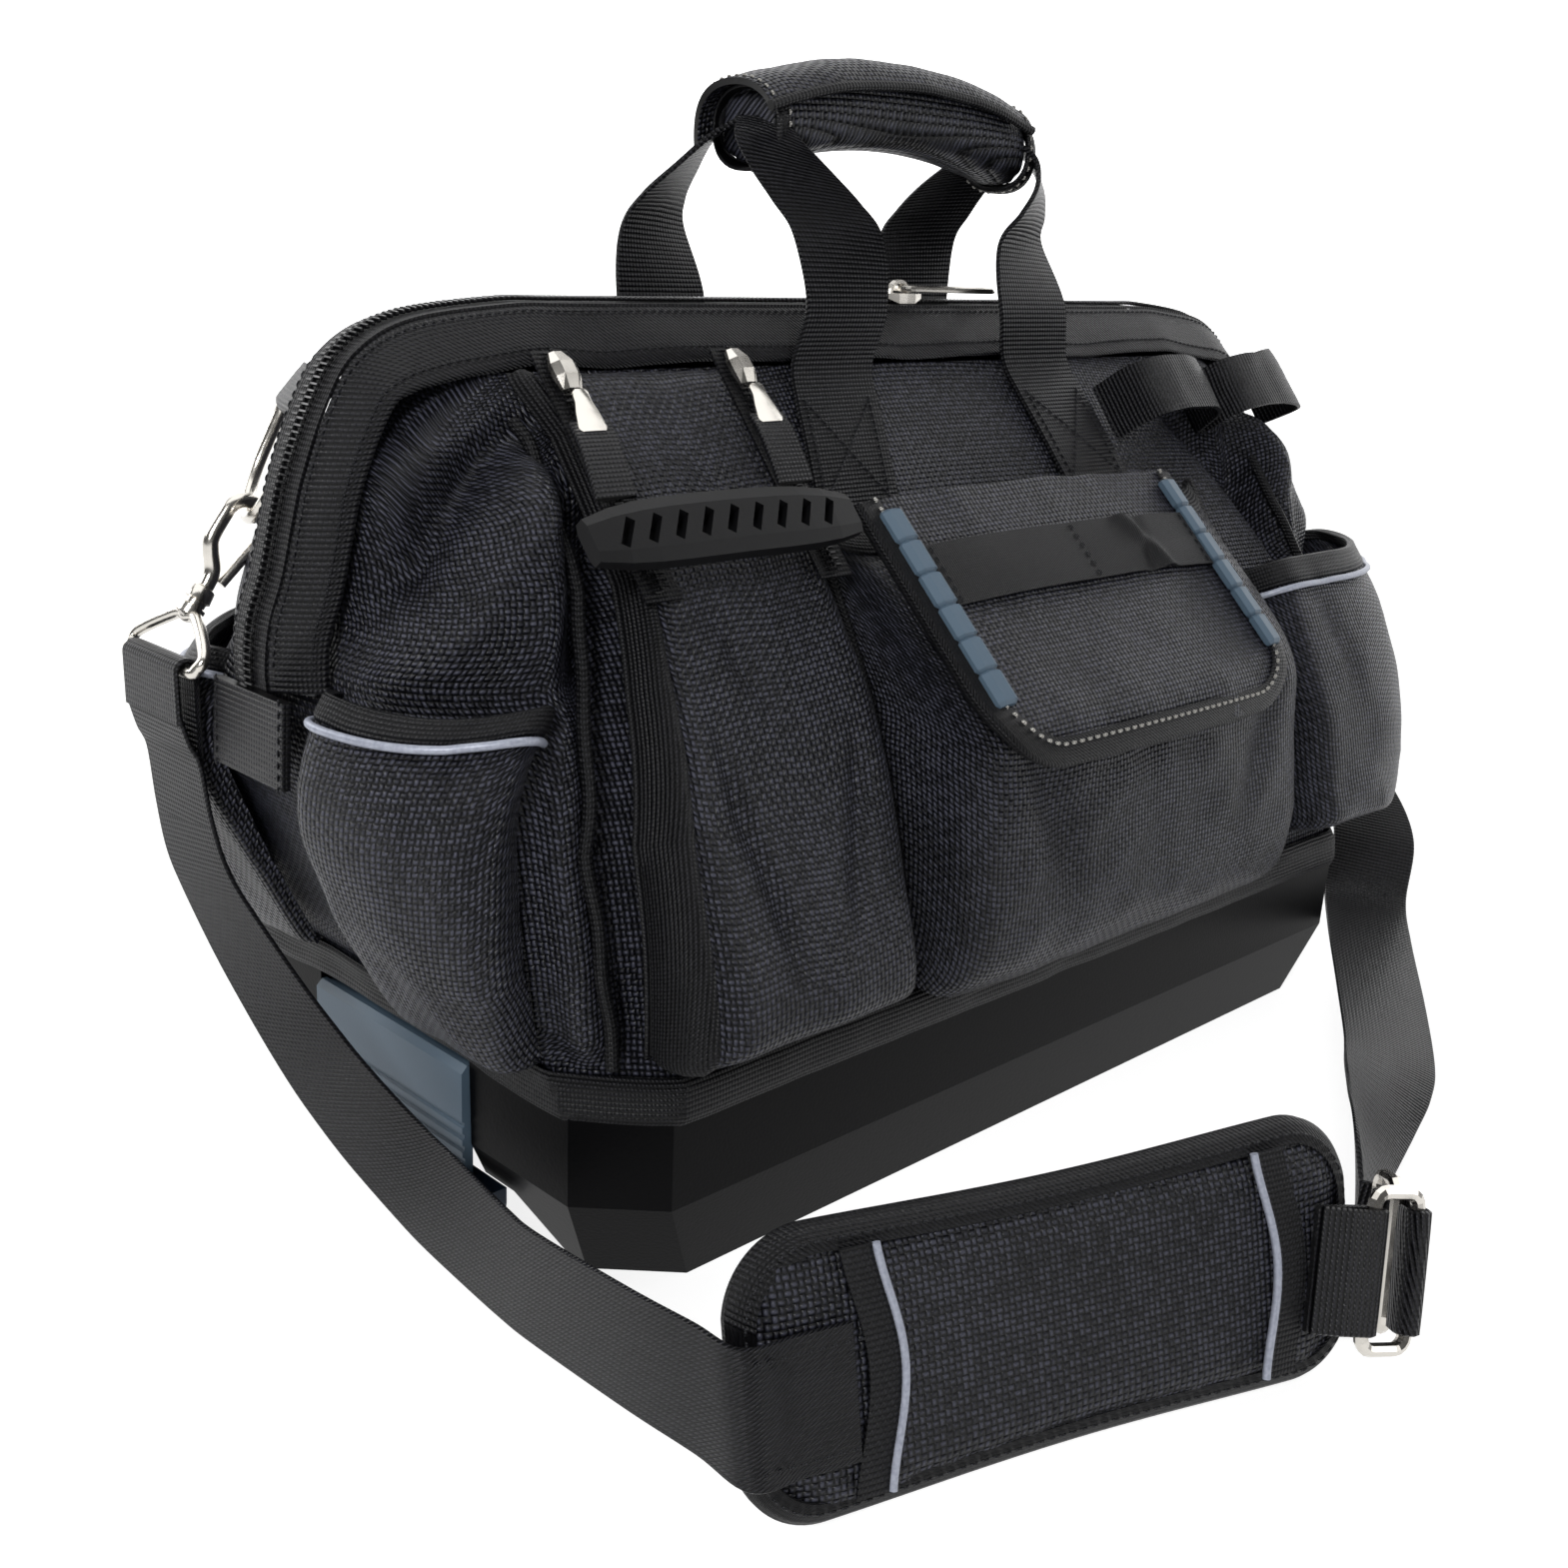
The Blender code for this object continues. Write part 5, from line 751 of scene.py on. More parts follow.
zip_chain("main_zip", line, out, 0.0091, 0.0036, 0.0021, ("main_zip",))
print("turns of coil:", 2 * int(mouth_length / TOOTH_PITCH))

# %% [markdown]
# ## Zip tabs
# At each end the zip is closed in a doubled webbing, which gives the hand something to hold while the zip
# is pulled.

# %% Zip tabs
TAB_LINE = ((0.2541, 0, 0.1757), (0.2546, 0, 0.166), (0.2551, 0, 0.157), (0.2554, 0, 0.1497))
for side, sign in (("left", -1), ("right", 1)):
    path = np.array(TAB_LINE) * (sign, 1, 1)
    tab = band_rings(through(path, 16), (0, 1, 0), 0.042, 0.0032)
    sections(f"zip_end_{side}", tab, webbing, "bag", (f"zip_tab_{side}",))
    for row, y in (("a", -0.0185), ("b", 0.0185)):
        stitch(f"zip_end_stitch_{side}_{row}", through(path + (sign * 0.0017, y, 0), 12), (sign, 0, 0))
print("zip ends: 2")

# %% [markdown]
# ## Pockets
# Each pocket is one cloth, sewn flat to the body along its sides and foot, with fullness gathered in, so
# that its middle stands off. Standing off is a smooth bump across, times a depth that changes with the
# height. Loaded and emptied pockets keep soft folds, which run up from the corners.

# %% Pockets
POCKET_OFF, POCKET_WALL, POCKET_SEAM = 0.0044, 0.0017, 0.0020


def bump(k, sharpness=14):
    """1 over most of the width and 0 at both edges: one less the distance from the middle to a high
    power."""
    return 1 - np.abs(2 * k - 1) ** sharpness


def pocket_folds(k, t, width, folds, seed, slack):
    """How far the cloth stands off for its slack: soft disorder and a few folds, fading to nothing at the
    seams. A fold's row gives its two ends as shares across and up, its breadth, and its rise in mm."""
    off = slack * MM * ripple(k * width, t * BODY_RISE, seed, 0.09, 0.015)
    for start, end, breadth, rise in folds:
        off = off + rise * MM * crease(k, t, start, end, breadth)
    return off * bump(k, 8) * np.sin(np.pi * np.linspace(0, 1, len(t))[:, None]) ** 0.5


def pocket(name, left, right, levels, depths, folds, seed, stands_for, slack=0.9, top_sag=0.0,
           size=(90, 80)):
    """A pocket's cloth between two lines up the body: it stands off by a depth for each level, times a bump
    across. Its grid is returned, so that a band or piping can be laid on it."""
    high, wide = size
    knots = through(np.stack([np.array(levels), np.array(depths) * 10, 0 * np.array(levels)], -1), high)
    t = knots[:, :1]
    depth = knots[:, 1:2] / 10
    k = np.linspace(0, 1, wide)[None, :]
    s = mix(left(t), right(t), k)
    width = np.abs(right(0.3) - left(0.3))
    t = t - top_sag * np.sin(np.pi * k) * np.linspace(0, 1, high)[:, None] ** 3
    grid = on_body(s, t, POCKET_OFF + depth * bump(k) + pocket_folds(k, t, width, folds, seed, slack))
    cloth(name, grid, POCKET_WALL, body_cloth, "bag", stands_for)
    return grid


def edge_band(name, grid):
    """A binding laid over the six top rows of a pocket, a millimetre off its cloth, over its edge and down
    inside."""
    normal = outward(grid, False, BAG_MIDDLE)
    top, way = grid[-1], unit(grid[-1] - grid[-3])
    rows = [grid[-6] + normal[-1] * 0.0002, *(grid[-k] + normal[-k] * 0.0010 for k in (5, 4, 3, 2, 1))]
    rows += [top + way * 0.0010 + normal[-1] * 0.0002, top + way * 0.0009 - normal[-1] * 0.0018]
    rows += [grid[-3] - normal[-3] * 0.0024]
    cloth(name, np.stack(rows), 0.0007, binding, "bag")


def piping(name, path, radius=0.0013):
    """A round cord of reflective piping along a path."""
    sections(name, tube_rings(path, radius, 10), silver_piping, "bag")


def rim_piping(name, grid):
    """Piping under a pocket's binding, just off its cloth."""
    piping(name, grid[-7] + outward(grid, False, BAG_MIDDLE)[-7] * 0.0012)


SIDE_FOLDS = (((0.12, 0.85), (0.35, 0.25), 0.05, -2.2), ((0.85, 0.9), (0.62, 0.3), 0.05, -2.0))
side_grid = pocket(
    "side_pocket_cloth", lambda t: 0.134 + 0 * t, lambda t: 0.254 + 0 * t,
    (0.08, 0.095, 0.20, 0.35, 0.48, 0.575), (0, 0.0235, 0.024, 0.0232, 0.0206, 0.0182), SIDE_FOLDS, 41,
    ("side_pocket",))
edge_band("side_pocket_hem", side_grid)
rim_piping("side_pocket_piping", side_grid)

END_FOLDS = (((0.2, 0.9), (0.4, 0.35), 0.06, -1.6), ((0.8, 0.9), (0.65, 0.45), 0.05, 1.4))
END_DEPTHS = np.array((0, 0.0098, 0.0126, 0.0140, 0.0122, 0.0104))
for name, turn, share in (("front", 1, 1.0), ("rear", -1, 0.5)):
    grid = pocket(
        f"end_pocket_{name}_cloth", lambda t, n=turn: n * (0.089 + 0.006 * t) - round_length(t),
        lambda t, n=turn: n * 0.031 - round_length(t), (0.06, 0.075, 0.20, 0.36, 0.50, 0.555),
        END_DEPTHS * share, END_FOLDS, 51 + turn, (f"end_pocket_{name}",), top_sag=0.02)
    edge_band(f"end_pocket_hem_{name}", grid)
    rim_piping(f"end_pocket_piping_{name}", grid)
print("side pocket's grid:", side_grid.shape, "end pocket's grid:", grid.shape)

# %% [markdown]
# ## The twin zip pocket
# The pocket at the front's left stands out most at its foot, and slopes back up to the mouth. Two zips run
# down its upper half, from sliders that are pulled together by one rubber bar.

# %% The twin zip pocket
TWIN_LEVELS = (0.07, 0.085, 0.25, 0.42, 0.56, 0.65, 0.80, 0.90, 0.965, 0.985)
TWIN_DEPTHS = np.array((0, 1, 0.88, 0.68, 0.50, 0.42, 0.31, 0.22, 0.15, 0)) * 0.024
TWIN_FOLDS = (((0.15, 0.55), (0.42, 0.12), 0.035, -2.0), ((0.85, 0.5), (0.60, 0.15), 0.04, -1.8),
              ((0.30, 0.60), (0.5, 0.5), 0.03, -1.2))
twin_grid = pocket(
    "twin_pocket_cloth", lambda t: 0.009 + 0.006 * np.sin(np.pi * np.clip(t, 0, 0.9) / 0.9) - seam(t),
    lambda t: -mix(0.104, 0.094, np.clip(2 * t, 0, 1)), TWIN_LEVELS, TWIN_DEPTHS, TWIN_FOLDS, 61,
    ("twin_pocket",), slack=0.72, size=(120, 90))
twin_out = outward(twin_grid, False, BAG_MIDDLE)
edge = twin_grid[:, -1] + twin_out[:, -1] * 0.0006
sections("twin_pocket_seam_right", tube_rings(edge, POCKET_SEAM, 8), binding, "bag")
# The left seam is bound. Each pair is a column of the pocket's grid and how far the binding stands off it.
edge_fold = ((0, 0.0012), (1, 0.0018), (3, 0.0021), (5, 0.0018), (6, 0.0004))
fold_rows = [twin_grid[:, column] + twin_out[:, column] * lift for column, lift in edge_fold]
tape = np.stack([fold_rows[0] + (-0.0016, 0.001, 0), *fold_rows])
cloth("twin_pocket_binding", tape, 0.0009, binding, "bag")
print("twin pocket's grid:", twin_grid.shape)

# %% [markdown]
# ## The twin pocket's zips and pulls
# The two short zips lie straight on the pocket's slope. From each slider a flat nickel plate and a short
# webbing reach down to the rubber bar, and they turn with it.

# %% The twin pocket's zips and pulls
ZIP_LEAN = np.radians(40.32)
ZIP_DOWN = np.array([0, -np.sin(ZIP_LEAN), -np.cos(ZIP_LEAN)])
ZIP_OUT = np.array([0, -np.cos(ZIP_LEAN), np.sin(ZIP_LEAN)])
ZIP_PLACES = (("left", -0.169), ("right", -0.098))
t = np.linspace(0.66, 0.965, 9)
face = on_body(0, t, POCKET_OFF + np.interp(t, TWIN_LEVELS[4:9], TWIN_DEPTHS[4:9]) + 0.0016)
zip_top = face[-1] - ZIP_DOWN * 0.0095
zip_run = float(np.linalg.norm(face[0] - face[-1])) + 0.0095
for name, x in ZIP_PLACES:
    path = zip_top + (x, 0, 0) + ZIP_DOWN * np.linspace(0, zip_run, 40)[:, None] + ZIP_OUT * 0.0010
    zip_name = f"pocket_zip_{name}"
    zip_chain(zip_name, path, np.tile(ZIP_OUT, (40, 1)), 0.0068, 0.0030, 0.0016, (zip_name,))
reach = ZIP_DOWN * 0.041 + ZIP_OUT * 0.008 + (-0.011, 0, 0)
PLATE = ((0, 0.0020), (0.06, 0.0030), (0.3, 0.0031), (0.55, 0.0042), (0.9, 0.0052), (1, 0.0044))
PLATE_LONG, PLATE_OFF, PLATE_HALF_THICK = 0.0175, 0.0012, 0.0006
corners = np.array([(-1, -0.5), (-1, 0.5), (-0.8, 1), (0.8, 1), (1, 0.5), (1, -0.5), (0.8, -1), (-0.8, -1)])
raised = ZIP_OUT * (PLATE_OFF + PLATE_HALF_THICK * corners[:, 1:])
for name, x in ZIP_PLACES:
    start = np.array([x, -0.04343, 0.26245])
    rings = [start + unit(reach) * share * PLATE_LONG + corners[:, :1] * half * (1, 0, 0) + raised
             for share, half in PLATE]
    sections(f"pull_plate_{name}", rings, nickel, "pull_bar")
    bow = ((0.30, 0), (0.5, 0.0012), (0.8, 0.0008), (1, 0))
    path = through([start + reach * share + ZIP_OUT * off for share, off in bow], 16)
    pull = band_rings(path, (1, 0, 0), 0.0148, 0.0016)
    sections(f"pull_tape_{name}", pull, webbing, "pull_bar", (f"pull_webbing_{name}",))
print("pocket zips", round(zip_run * 1000), "mm long")

# %% [markdown]
# ## The middle pocket
# This one is full: its face stands almost upright over the base's edge, then leans back under the flap. Its
# middle follows a profile of its own, and the body's form takes over at its sides.

# %% The middle pocket
MIDDLE = np.stack([
    (0.045, 0.052, 0.12, 0.25, 0.40, 0.55, 0.70, 0.755),
    np.array((0.530, 0.535, 0.578, 0.592, 0.583, 0.545, 0.372, 0.295)) * -BASE_DEPTH,
    np.array((0.275, 0.262, 0.300, 0.400, 0.527, 0.625, 0.765, 0.815)) * BODY_TOP], -1)
knots = through(MIDDLE * (0.2, 1, 1), 90) / (0.2, 1, 1)
t = knots[:, :1]
k = np.linspace(0, 1, 110)[None, :]
s = mix(-0.088, 0.128, k) + 0 * t
under = on_body(s, t, POCKET_OFF)
full = bump(k, 16) * np.clip((t - 0.044) / 0.006, 0, 1)
grid = under.copy()
grid[..., 1:] = mix(under[..., 1:], knots[:, None, 1:], full[..., None])
normal = outward(grid, False, BAG_MIDDLE)
MIDDLE_FOLDS = (((0.10, 0.62), (0.30, 0.18), 0.035, -2.6), ((0.90, 0.62), (0.72, 0.20), 0.035, -2.4),
                ((0.30, 0.10), (0.62, 0.13), 0.020, -1.6), ((0.36, 0.50), (0.50, 0.22), 0.040, 1.5))
middle_grid = grid + normal * pocket_folds(k, t, 0.216, MIDDLE_FOLDS, 71, 1.1)[..., None]
cloth("middle_pocket_cloth", middle_grid, POCKET_WALL, body_cloth, "bag", ("middle_pocket",))
edge_band("middle_pocket_hem", middle_grid)
for name, column in (("left", 0), ("right", -1)):
    edge = middle_grid[:, column] + normal[:, column] * 0.0006
    sections(f"middle_pocket_seam_{name}", tube_rings(edge, POCKET_SEAM, 8), binding, "bag")
print("middle pocket stands out to y =", round(float(middle_grid[..., 1].min()) * 1000, 1), "mm")

# %% [markdown]
# ## The flap
# The flap is a stiffened cloth that hangs from a sewn hinge and bends down over the pocket's mouth. It is
# crowned, so that it sheds rain. A grosgrain binding folds over its whole edge, sewn with one pale thread.

# %% The flap
FLAP_HINGE = np.array([0.0055, -0.0755, 0.2285])
BEHIND_FLAP = FLAP_HINGE + (0, 0.03, -0.07)
FLAP_DROP, FLAP_HALF, FLAP_CORNER = 0.103, 0.0855, 0.030
fine = np.linspace(0, FLAP_DROP * 1.1, 300)
past = np.clip((fine / FLAP_DROP - 0.78) / 0.22, 0, 1)
lean = np.radians(mix(46, 8, past * past * (3 - 2 * past)))
fall_y, fall_z = -np.cumsum(np.sin(lean)) * fine[1], -np.cumsum(np.cos(lean)) * fine[1]


def on_flap(step, x, off):
    """A point of the crowned flap from its distance down, across and off the face."""
    y, z, tilt = (np.interp(step, fine, values) for values in (fall_y, fall_z, lean))
    rise = 0.004 * (1 - np.clip(x / FLAP_HALF, -1.05, 1.05) ** 2) + off
    return FLAP_HINGE + np.stack([x + 0 * y, y - np.cos(tilt) * rise, z + np.sin(tilt) * rise], -1)


def flap_half(step, inset=0.0):
    """Half the flap's width at a distance down: straight, then a quarter round."""
    radius = FLAP_CORNER - inset
    low = np.clip(step - (FLAP_DROP - FLAP_CORNER), 0, radius)
    return FLAP_HALF - inset - radius + np.sqrt(np.maximum(radius**2 - low**2, 0))


steps = FLAP_DROP * np.sin(np.linspace(0, 1, 60)[:, None] * np.pi / 2)
x = flap_half(steps) * np.linspace(-1, 1, 80)[None, :]
slack = 0.7 * MM * ripple(x, steps, 81, 0.08, 0.015) * (1 - (x / FLAP_HALF) ** 6)
cloth("flap_cloth", on_flap(steps + 0 * x, x, slack), 0.0028, body_cloth, "flap", ("flap",))

turn = np.radians(np.linspace(0, 90, 16))
corner_step = FLAP_DROP - FLAP_CORNER + FLAP_CORNER * np.sin(turn)
corner_x = FLAP_HALF - FLAP_CORNER + FLAP_CORNER * np.cos(turn)
side_step, side_x = np.linspace(0.001, FLAP_DROP - FLAP_CORNER, 30)[:-1], np.full(29, FLAP_HALF)
half_line = np.concatenate([np.stack([side_step, side_x], -1), np.stack([corner_step, corner_x], -1)])
foot = np.stack([np.full(24, FLAP_DROP), np.linspace(corner_x[-1], -corner_x[-1], 26)[1:-1]], -1)
outline = np.concatenate([half_line, foot, half_line[::-1] * (1, -1)])
normal = unit(np.stack([-np.gradient(outline[:, 1]), np.gradient(outline[:, 0])], -1))
normal = normal * np.sign(np.sum(normal * (outline - (0.05, 0)), -1, keepdims=True))


def along_edge(inset, off):
    """The flap's outline, moved in from the edge and off the face."""
    flat = outline - normal * inset
    return on_flap(flat[:, 0], flat[:, 1], off + 0 * flat[:, 0])


# The tape's section, in mm in from the edge and off the face: over the front, round the edge, along the
# back.
TAPE_MM = ((7.8, 0.5), (7.4, 1.0), (5.0, 1.2), (2.0, 1.2), (-0.4, 1.0), (-1.5, 0.0),
           (-1.7, -1.5), (-1.2, -3.2), (0.6, -3.9), (4.0, -4.0), (7.2, -3.9))
wrap = np.stack([along_edge(inset * MM, off * MM) for inset, off in TAPE_MM], 1)
cloth("flap_edge_tape", wrap, 0.0008, binding, "flap", ("flap_binding",), centre=BEHIND_FLAP)
FLAP_STITCH_IN = 0.0058
face_out = unit(along_edge(FLAP_STITCH_IN, 0.01) - along_edge(FLAP_STITCH_IN, 0.0))
seam_line = along_edge(FLAP_STITCH_IN, 1.35 * MM)
stitch("flap_edge_stitch", seam_line, face_out, pale_thread, "flap", 3.8, 2.1, 0.62)
print("flap:", round(2000 * FLAP_HALF), "by", round(1000 * FLAP_DROP), "mm")

# %% [markdown]
# ## The elastic on the flap
# A band of elastic crosses the flap between its two grip strips. It is sewn only at its ends and middle, so
# it lies slack, and it folds in where it has been stretched over something.

# %% The elastic on the flap
ELASTIC_HALF, ELASTIC_DOWN, ELASTIC_WIDE = 0.0728, 0.0212, 0.0236
x = np.linspace(-ELASTIC_HALF, ELASTIC_HALF, 120)[:, None]
k = np.linspace(0, 1, 12)[None, :]
lift = 0.0019 + 0.0012 * np.abs(np.sin(x / ELASTIC_HALF * np.pi)) ** 0.7 * (0.4 + 0.6 * np.sin(np.pi * k))
lift = lift + 2.2 * MM * np.exp(-(((x - 0.030 - 0.012 * k) / 0.004) ** 2))
lift = lift - 1.2 * MM * np.exp(-(((x - 0.041 + 0.010 * k) / 0.003) ** 2))
lift = np.maximum(lift, 0.0014)
band_grid = on_flap(ELASTIC_DOWN + ELASTIC_WIDE * k + 0 * x, x + 0 * k, lift)
cloth("flap_elastic", band_grid, 0.0009, elastic, "flap", ("elastic_band",), centre=BEHIND_FLAP)
for name, at in (("left", 2), ("middle", 60), ("right", 117)):
    spot = band_grid[at, 1:-1] + unit(face_out.mean(0)) * 0.0004
    stitch(f"flap_elastic_stitch_{name}", spot, face_out.mean(0), black_thread, "flap", 3.0)
print("elastic, at most off the flap:", round(float(lift.max()) * 1000, 1), "mm")

# %% [markdown]
# ## Tool loops
# One webbing is sewn down at three places, and stands off between them as two loops for hammers or drivers.

# %% Tool loops
LOOP_START, LOOP_WIDE, LOOP_DEEP = 0.097, 0.061, 0.022
LOOP_SHARES = ((0.03, 0), (0.10, 0.70), (0.3, 1), (0.5, 1.04), (0.7, 1), (0.90, 0.70), (0.97, 0))
knots = [(LOOP_START + (i + share) * LOOP_WIDE, depth * LOOP_DEEP, 0)
         for i in (0, 1) for share, depth in LOOP_SHARES]
arch = through(knots, 160)
t = np.linspace(0.845, 0.940, 12)[:, None]
wave = 0.4 * MM * ripple(arch[None, :, 0], t * BODY_RISE, 91, 0.05, 0.01)
loops = on_body(arch[None, :, 0] + 0 * t, t, 0.0021 + np.maximum(arch[None, :, 1], 0) + wave)
cloth("tool_loop_webbing", np.swapaxes(loops, 0, 1), 0.0015, webbing, "bag", ("tool_loops",))
for name, s in (("left", 0.0985), ("middle", 0.158), ("right", 0.2175)):
    normal = on_body(s, t[:, 0], 0.01) - on_body(s, t[:, 0], 0)
    stitch(f"tool_loop_stitch_{name}", on_body(s, t[:, 0], 0.0026), normal, pitch=2.6)
print("tool loops stand off", round(float(arch[:, 1].max()) * 1000), "mm")

# %% [markdown]
# ## Carrying straps
# Four webbings carry the bag. Each is sewn flat on a panel, with a box and a cross of thread, then runs
# free over the hem and gathers with the others in the grip.

# %% Carrying straps
# Each webbing's x where it is sewn lowest and where it crosses the rim. Then its way out of the bag's
# middle plane at seven heights, and how much of the way to the grip's gate it has gone at each of its
# knots.
HANDLE = {"front": {"left": (-0.060, -0.037), "right": (0.075, 0.066)},
          "rear": {"left": (-0.074, -0.078), "right": (0.060, 0.053)}}
HANDLE_WIDE, HANDLE_NARROW, GATES = 0.040, 0.019, (("left", -0.0665), ("right", 0.0745))
sewn = on_body(0, np.linspace(0.775, 0.94, 5), 0.0019)
FREE_HEIGHTS = (0.2671, RIM_HEIGHT, 0.309, 0.320, 0.330, 0.340, 0.346)
FREE_OUT = {("front", "left"): (0.0258, 0.0252, 0.0265, 0.0225, 0.0175, 0.0125, 0.0055),
            ("front", "right"): (0.0258, 0.0252, 0.0150, 0.0180, 0.0185, 0.0125, 0.0055),
            ("rear", "left"): (0.0258, 0.0262, 0.0350, 0.0330, 0.0250, 0.0150, 0.0060),
            ("rear", "right"): (0.0258, 0.0252, 0.0300, 0.0270, 0.0220, 0.0140, 0.0060)}
WAY_TO_GATE = np.array((0, 0, 0, 0, 0, 0, 0, 0.25, 0.50, 0.77, 1.0, 1.0))
for face, mirror in (("front", 1), ("rear", -1)):
    for side, gate in GATES:
        low, rim = HANDLE[face][side]
        free = np.stack([np.zeros(7), -np.array(FREE_OUT[face, side]), FREE_HEIGHTS], -1)
        knots = np.concatenate([sewn, free])
        up_to_rim = np.interp(knots[:, 2], (sewn[0, 2], RIM_HEIGHT), (low, rim))
        knots[:, 0] = up_to_rim + (gate - rim) * WAY_TO_GATE
        knots[-1, 0] -= 0.0045 * np.sign(gate)
        path = through(knots, 110) * (1, mirror, 1)
        climb = np.clip((path[:, 2] - RIM_HEIGHT) / 0.058, 0, 1)
        twist = 0.9 * climb**1.5 * np.sign(gate) * mirror
        ways = np.stack([np.cos(twist), np.sin(twist), 0 * twist], -1)
        rings = band_rings(path, ways, mix(HANDLE_WIDE, HANDLE_NARROW, climb**2), 0.0021)
        solid = f"handle_strap_{face}_{side}"
        leg = sections(f"carry_strap_{face}_{side}", rings, webbing, None, (solid,))
        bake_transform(leg)
        t = np.linspace(0.785, 0.935, 12)
        normal = (on_body(0, t, 0.01) - on_body(0, t, 0)) * (1, mirror, 1)
        place_x = np.interp(on_body(0, t)[:, 2], (sewn[0, 2], RIM_HEIGHT), (low, rim))
        for name, start, end in (("a", -1, 1), ("b", 1, -1), ("c", -1, -1), ("d", 1, 1)):
            line_x = place_x + mix(start, end, np.linspace(0, 1, 12)) * 0.0155
            spot = on_body(0, t, 0.0031) * (1, mirror, 1) + np.stack([line_x, 0 * t, 0 * t], -1)
            stitch(f"strap_stitch_{face}_{side}_{name}", spot, normal, pitch=2.8)
print("carrying straps: 4")

# %% [markdown]
# ## Padded pieces
# A padded piece is a sewn shell that its filling blows up, like a cushion. So it is made that way: a
# slightly small form is remeshed evenly, and a cloth simulation puts pressure in it. No point may move
# further than a cap.

# %% Padded pieces


def puff(piece, pressure, cap, steps=20):
    """Remeshes a closed form, inflates it as cloth, and keeps each point within a cap of where it began."""
    bpy.context.view_layer.objects.active = piece
    remesh = piece.modifiers.new("even", "REMESH")
    remesh.mode = "VOXEL"
    remesh.voxel_size = 0.0042
    bpy.ops.object.modifier_apply(modifier=remesh.name)
    rest = np.array([v.co for v in piece.data.vertices])
    cloth_sim = piece.modifiers.new("fill", "CLOTH")
    cloth_sim.settings.use_pressure = True
    cloth_sim.settings.uniform_pressure_force = pressure
    cloth_sim.settings.tension_stiffness = cloth_sim.settings.compression_stiffness = 25
    cloth_sim.settings.effector_weights.gravity = 0
    for step in range(1, steps + 1):
        bpy.context.scene.frame_set(step)
    graph = bpy.context.evaluated_depsgraph_get()
    moved = np.array([v.co for v in piece.evaluated_get(graph).data.vertices])
    piece.modifiers.clear()
    bpy.context.scene.frame_set(1)
    shift = moved - rest
    reach = np.linalg.norm(shift, axis=1, keepdims=True)
    rest = rest + shift * np.minimum(1, cap / np.maximum(reach, 1e-9))
    piece.data.vertices.foreach_set("co", rest.ravel())
    finer = piece.modifiers.new("finer", "SUBSURF")
    finer.levels = finer.render_levels = 1
    bpy.ops.object.modifier_apply(modifier=finer.name)
    piece.data.shade_smooth()


def lay_cut(piece, first, second):
    """Writes the cut map of a remeshed piece from its position along two directions."""
    mesh = piece.data
    spots = np.empty(len(mesh.vertices) * 3)
    mesh.vertices.foreach_get("co", spots)
    corner = np.empty(len(mesh.loops), int)
    mesh.loops.foreach_get("vertex_index", corner)
    flat = spots.reshape(-1, 3) @ np.stack([first, second], -1)
    layer = mesh.uv_layers.get("cut") or mesh.uv_layers.new(name="cut")
    layer.data.foreach_set("uv", flat[corner].astype(np.float32).ravel())


# %% [markdown]
# ## The grip
# The grip is a foam pad in a wrap of the body's cloth. The wrap's free edge closes over the top with a
# strip of touch fastener, and shows as a curled lip. It is bound at both ends, where pale thread shows.

# %% The grip
GRIP_HALF, GRIP_CENTRE, GRIP_ARCH = 0.0725, 0.3524, 0.0115
WRAP_DEEP, WRAP_TALL = 0.0166, 0.0138


def rounded_square(angles):
    """Cosine and sine, each to the power 0.85 with its sign kept: a circle pushed out at its four
    corners."""
    return [np.sign(wave) * np.abs(wave) ** 0.85 for wave in (np.cos(angles), np.sin(angles))]


cosine, sine = rounded_square(np.arange(32) / 32 * TAU)


def grip_ring(share, deep, tall, extra=0.0):
    """One section of the grip at a share of its half length: a rounded square, drawn in at the ends."""
    full = 1 - 0.08 * abs(share) ** 8
    return np.stack([np.full(32, share * GRIP_HALF), (deep * full + extra) * cosine,
                     GRIP_CENTRE - GRIP_ARCH * share**2 + (tall * full + extra) * sine], -1)


shares = mix(-0.875, 0.955, (1 + np.sin(np.linspace(-1, 1, 41) * np.pi / 2)) / 2)
rings = [grip_ring(share, WRAP_DEEP - 0.0004, WRAP_TALL - 0.0005) for share in shares]
grip = sections("grip_pad", rings, soft_cloth, "handle_grip", ("handle_grip",))
puff(grip, 3.0, 0.0012)
lay_cut(grip, np.array([1, 0, 0]), np.array([0, 0.7, 0.7]))
for name, share in (("left", -0.862), ("right", 0.955)):
    sleeve = ((-1.0, -0.0006), (-0.9, 0.0008), (0, 0.0013), (0.9, 0.0008), (1.0, -0.0006))
    rings = [grip_ring(share + k * 0.035, WRAP_DEEP, WRAP_TALL, extra) for k, extra in sleeve]
    middle = np.array([share * GRIP_HALF, 0, GRIP_CENTRE - GRIP_ARCH * share**2])
    cloth(f"grip_binding_{name}", np.stack(rings), 0.0036, binding, "handle_grip", ring=True,
          centre=middle)
    ring = grip_ring(share - np.sign(share) * 0.022, WRAP_DEEP, WRAP_TALL, 0.0014)
    around = np.concatenate([ring, ring[:2]])
    stitch(f"grip_stitch_{name}", around, around - middle, pale_thread, "handle_grip", 3.6, 1.9, 0.4)

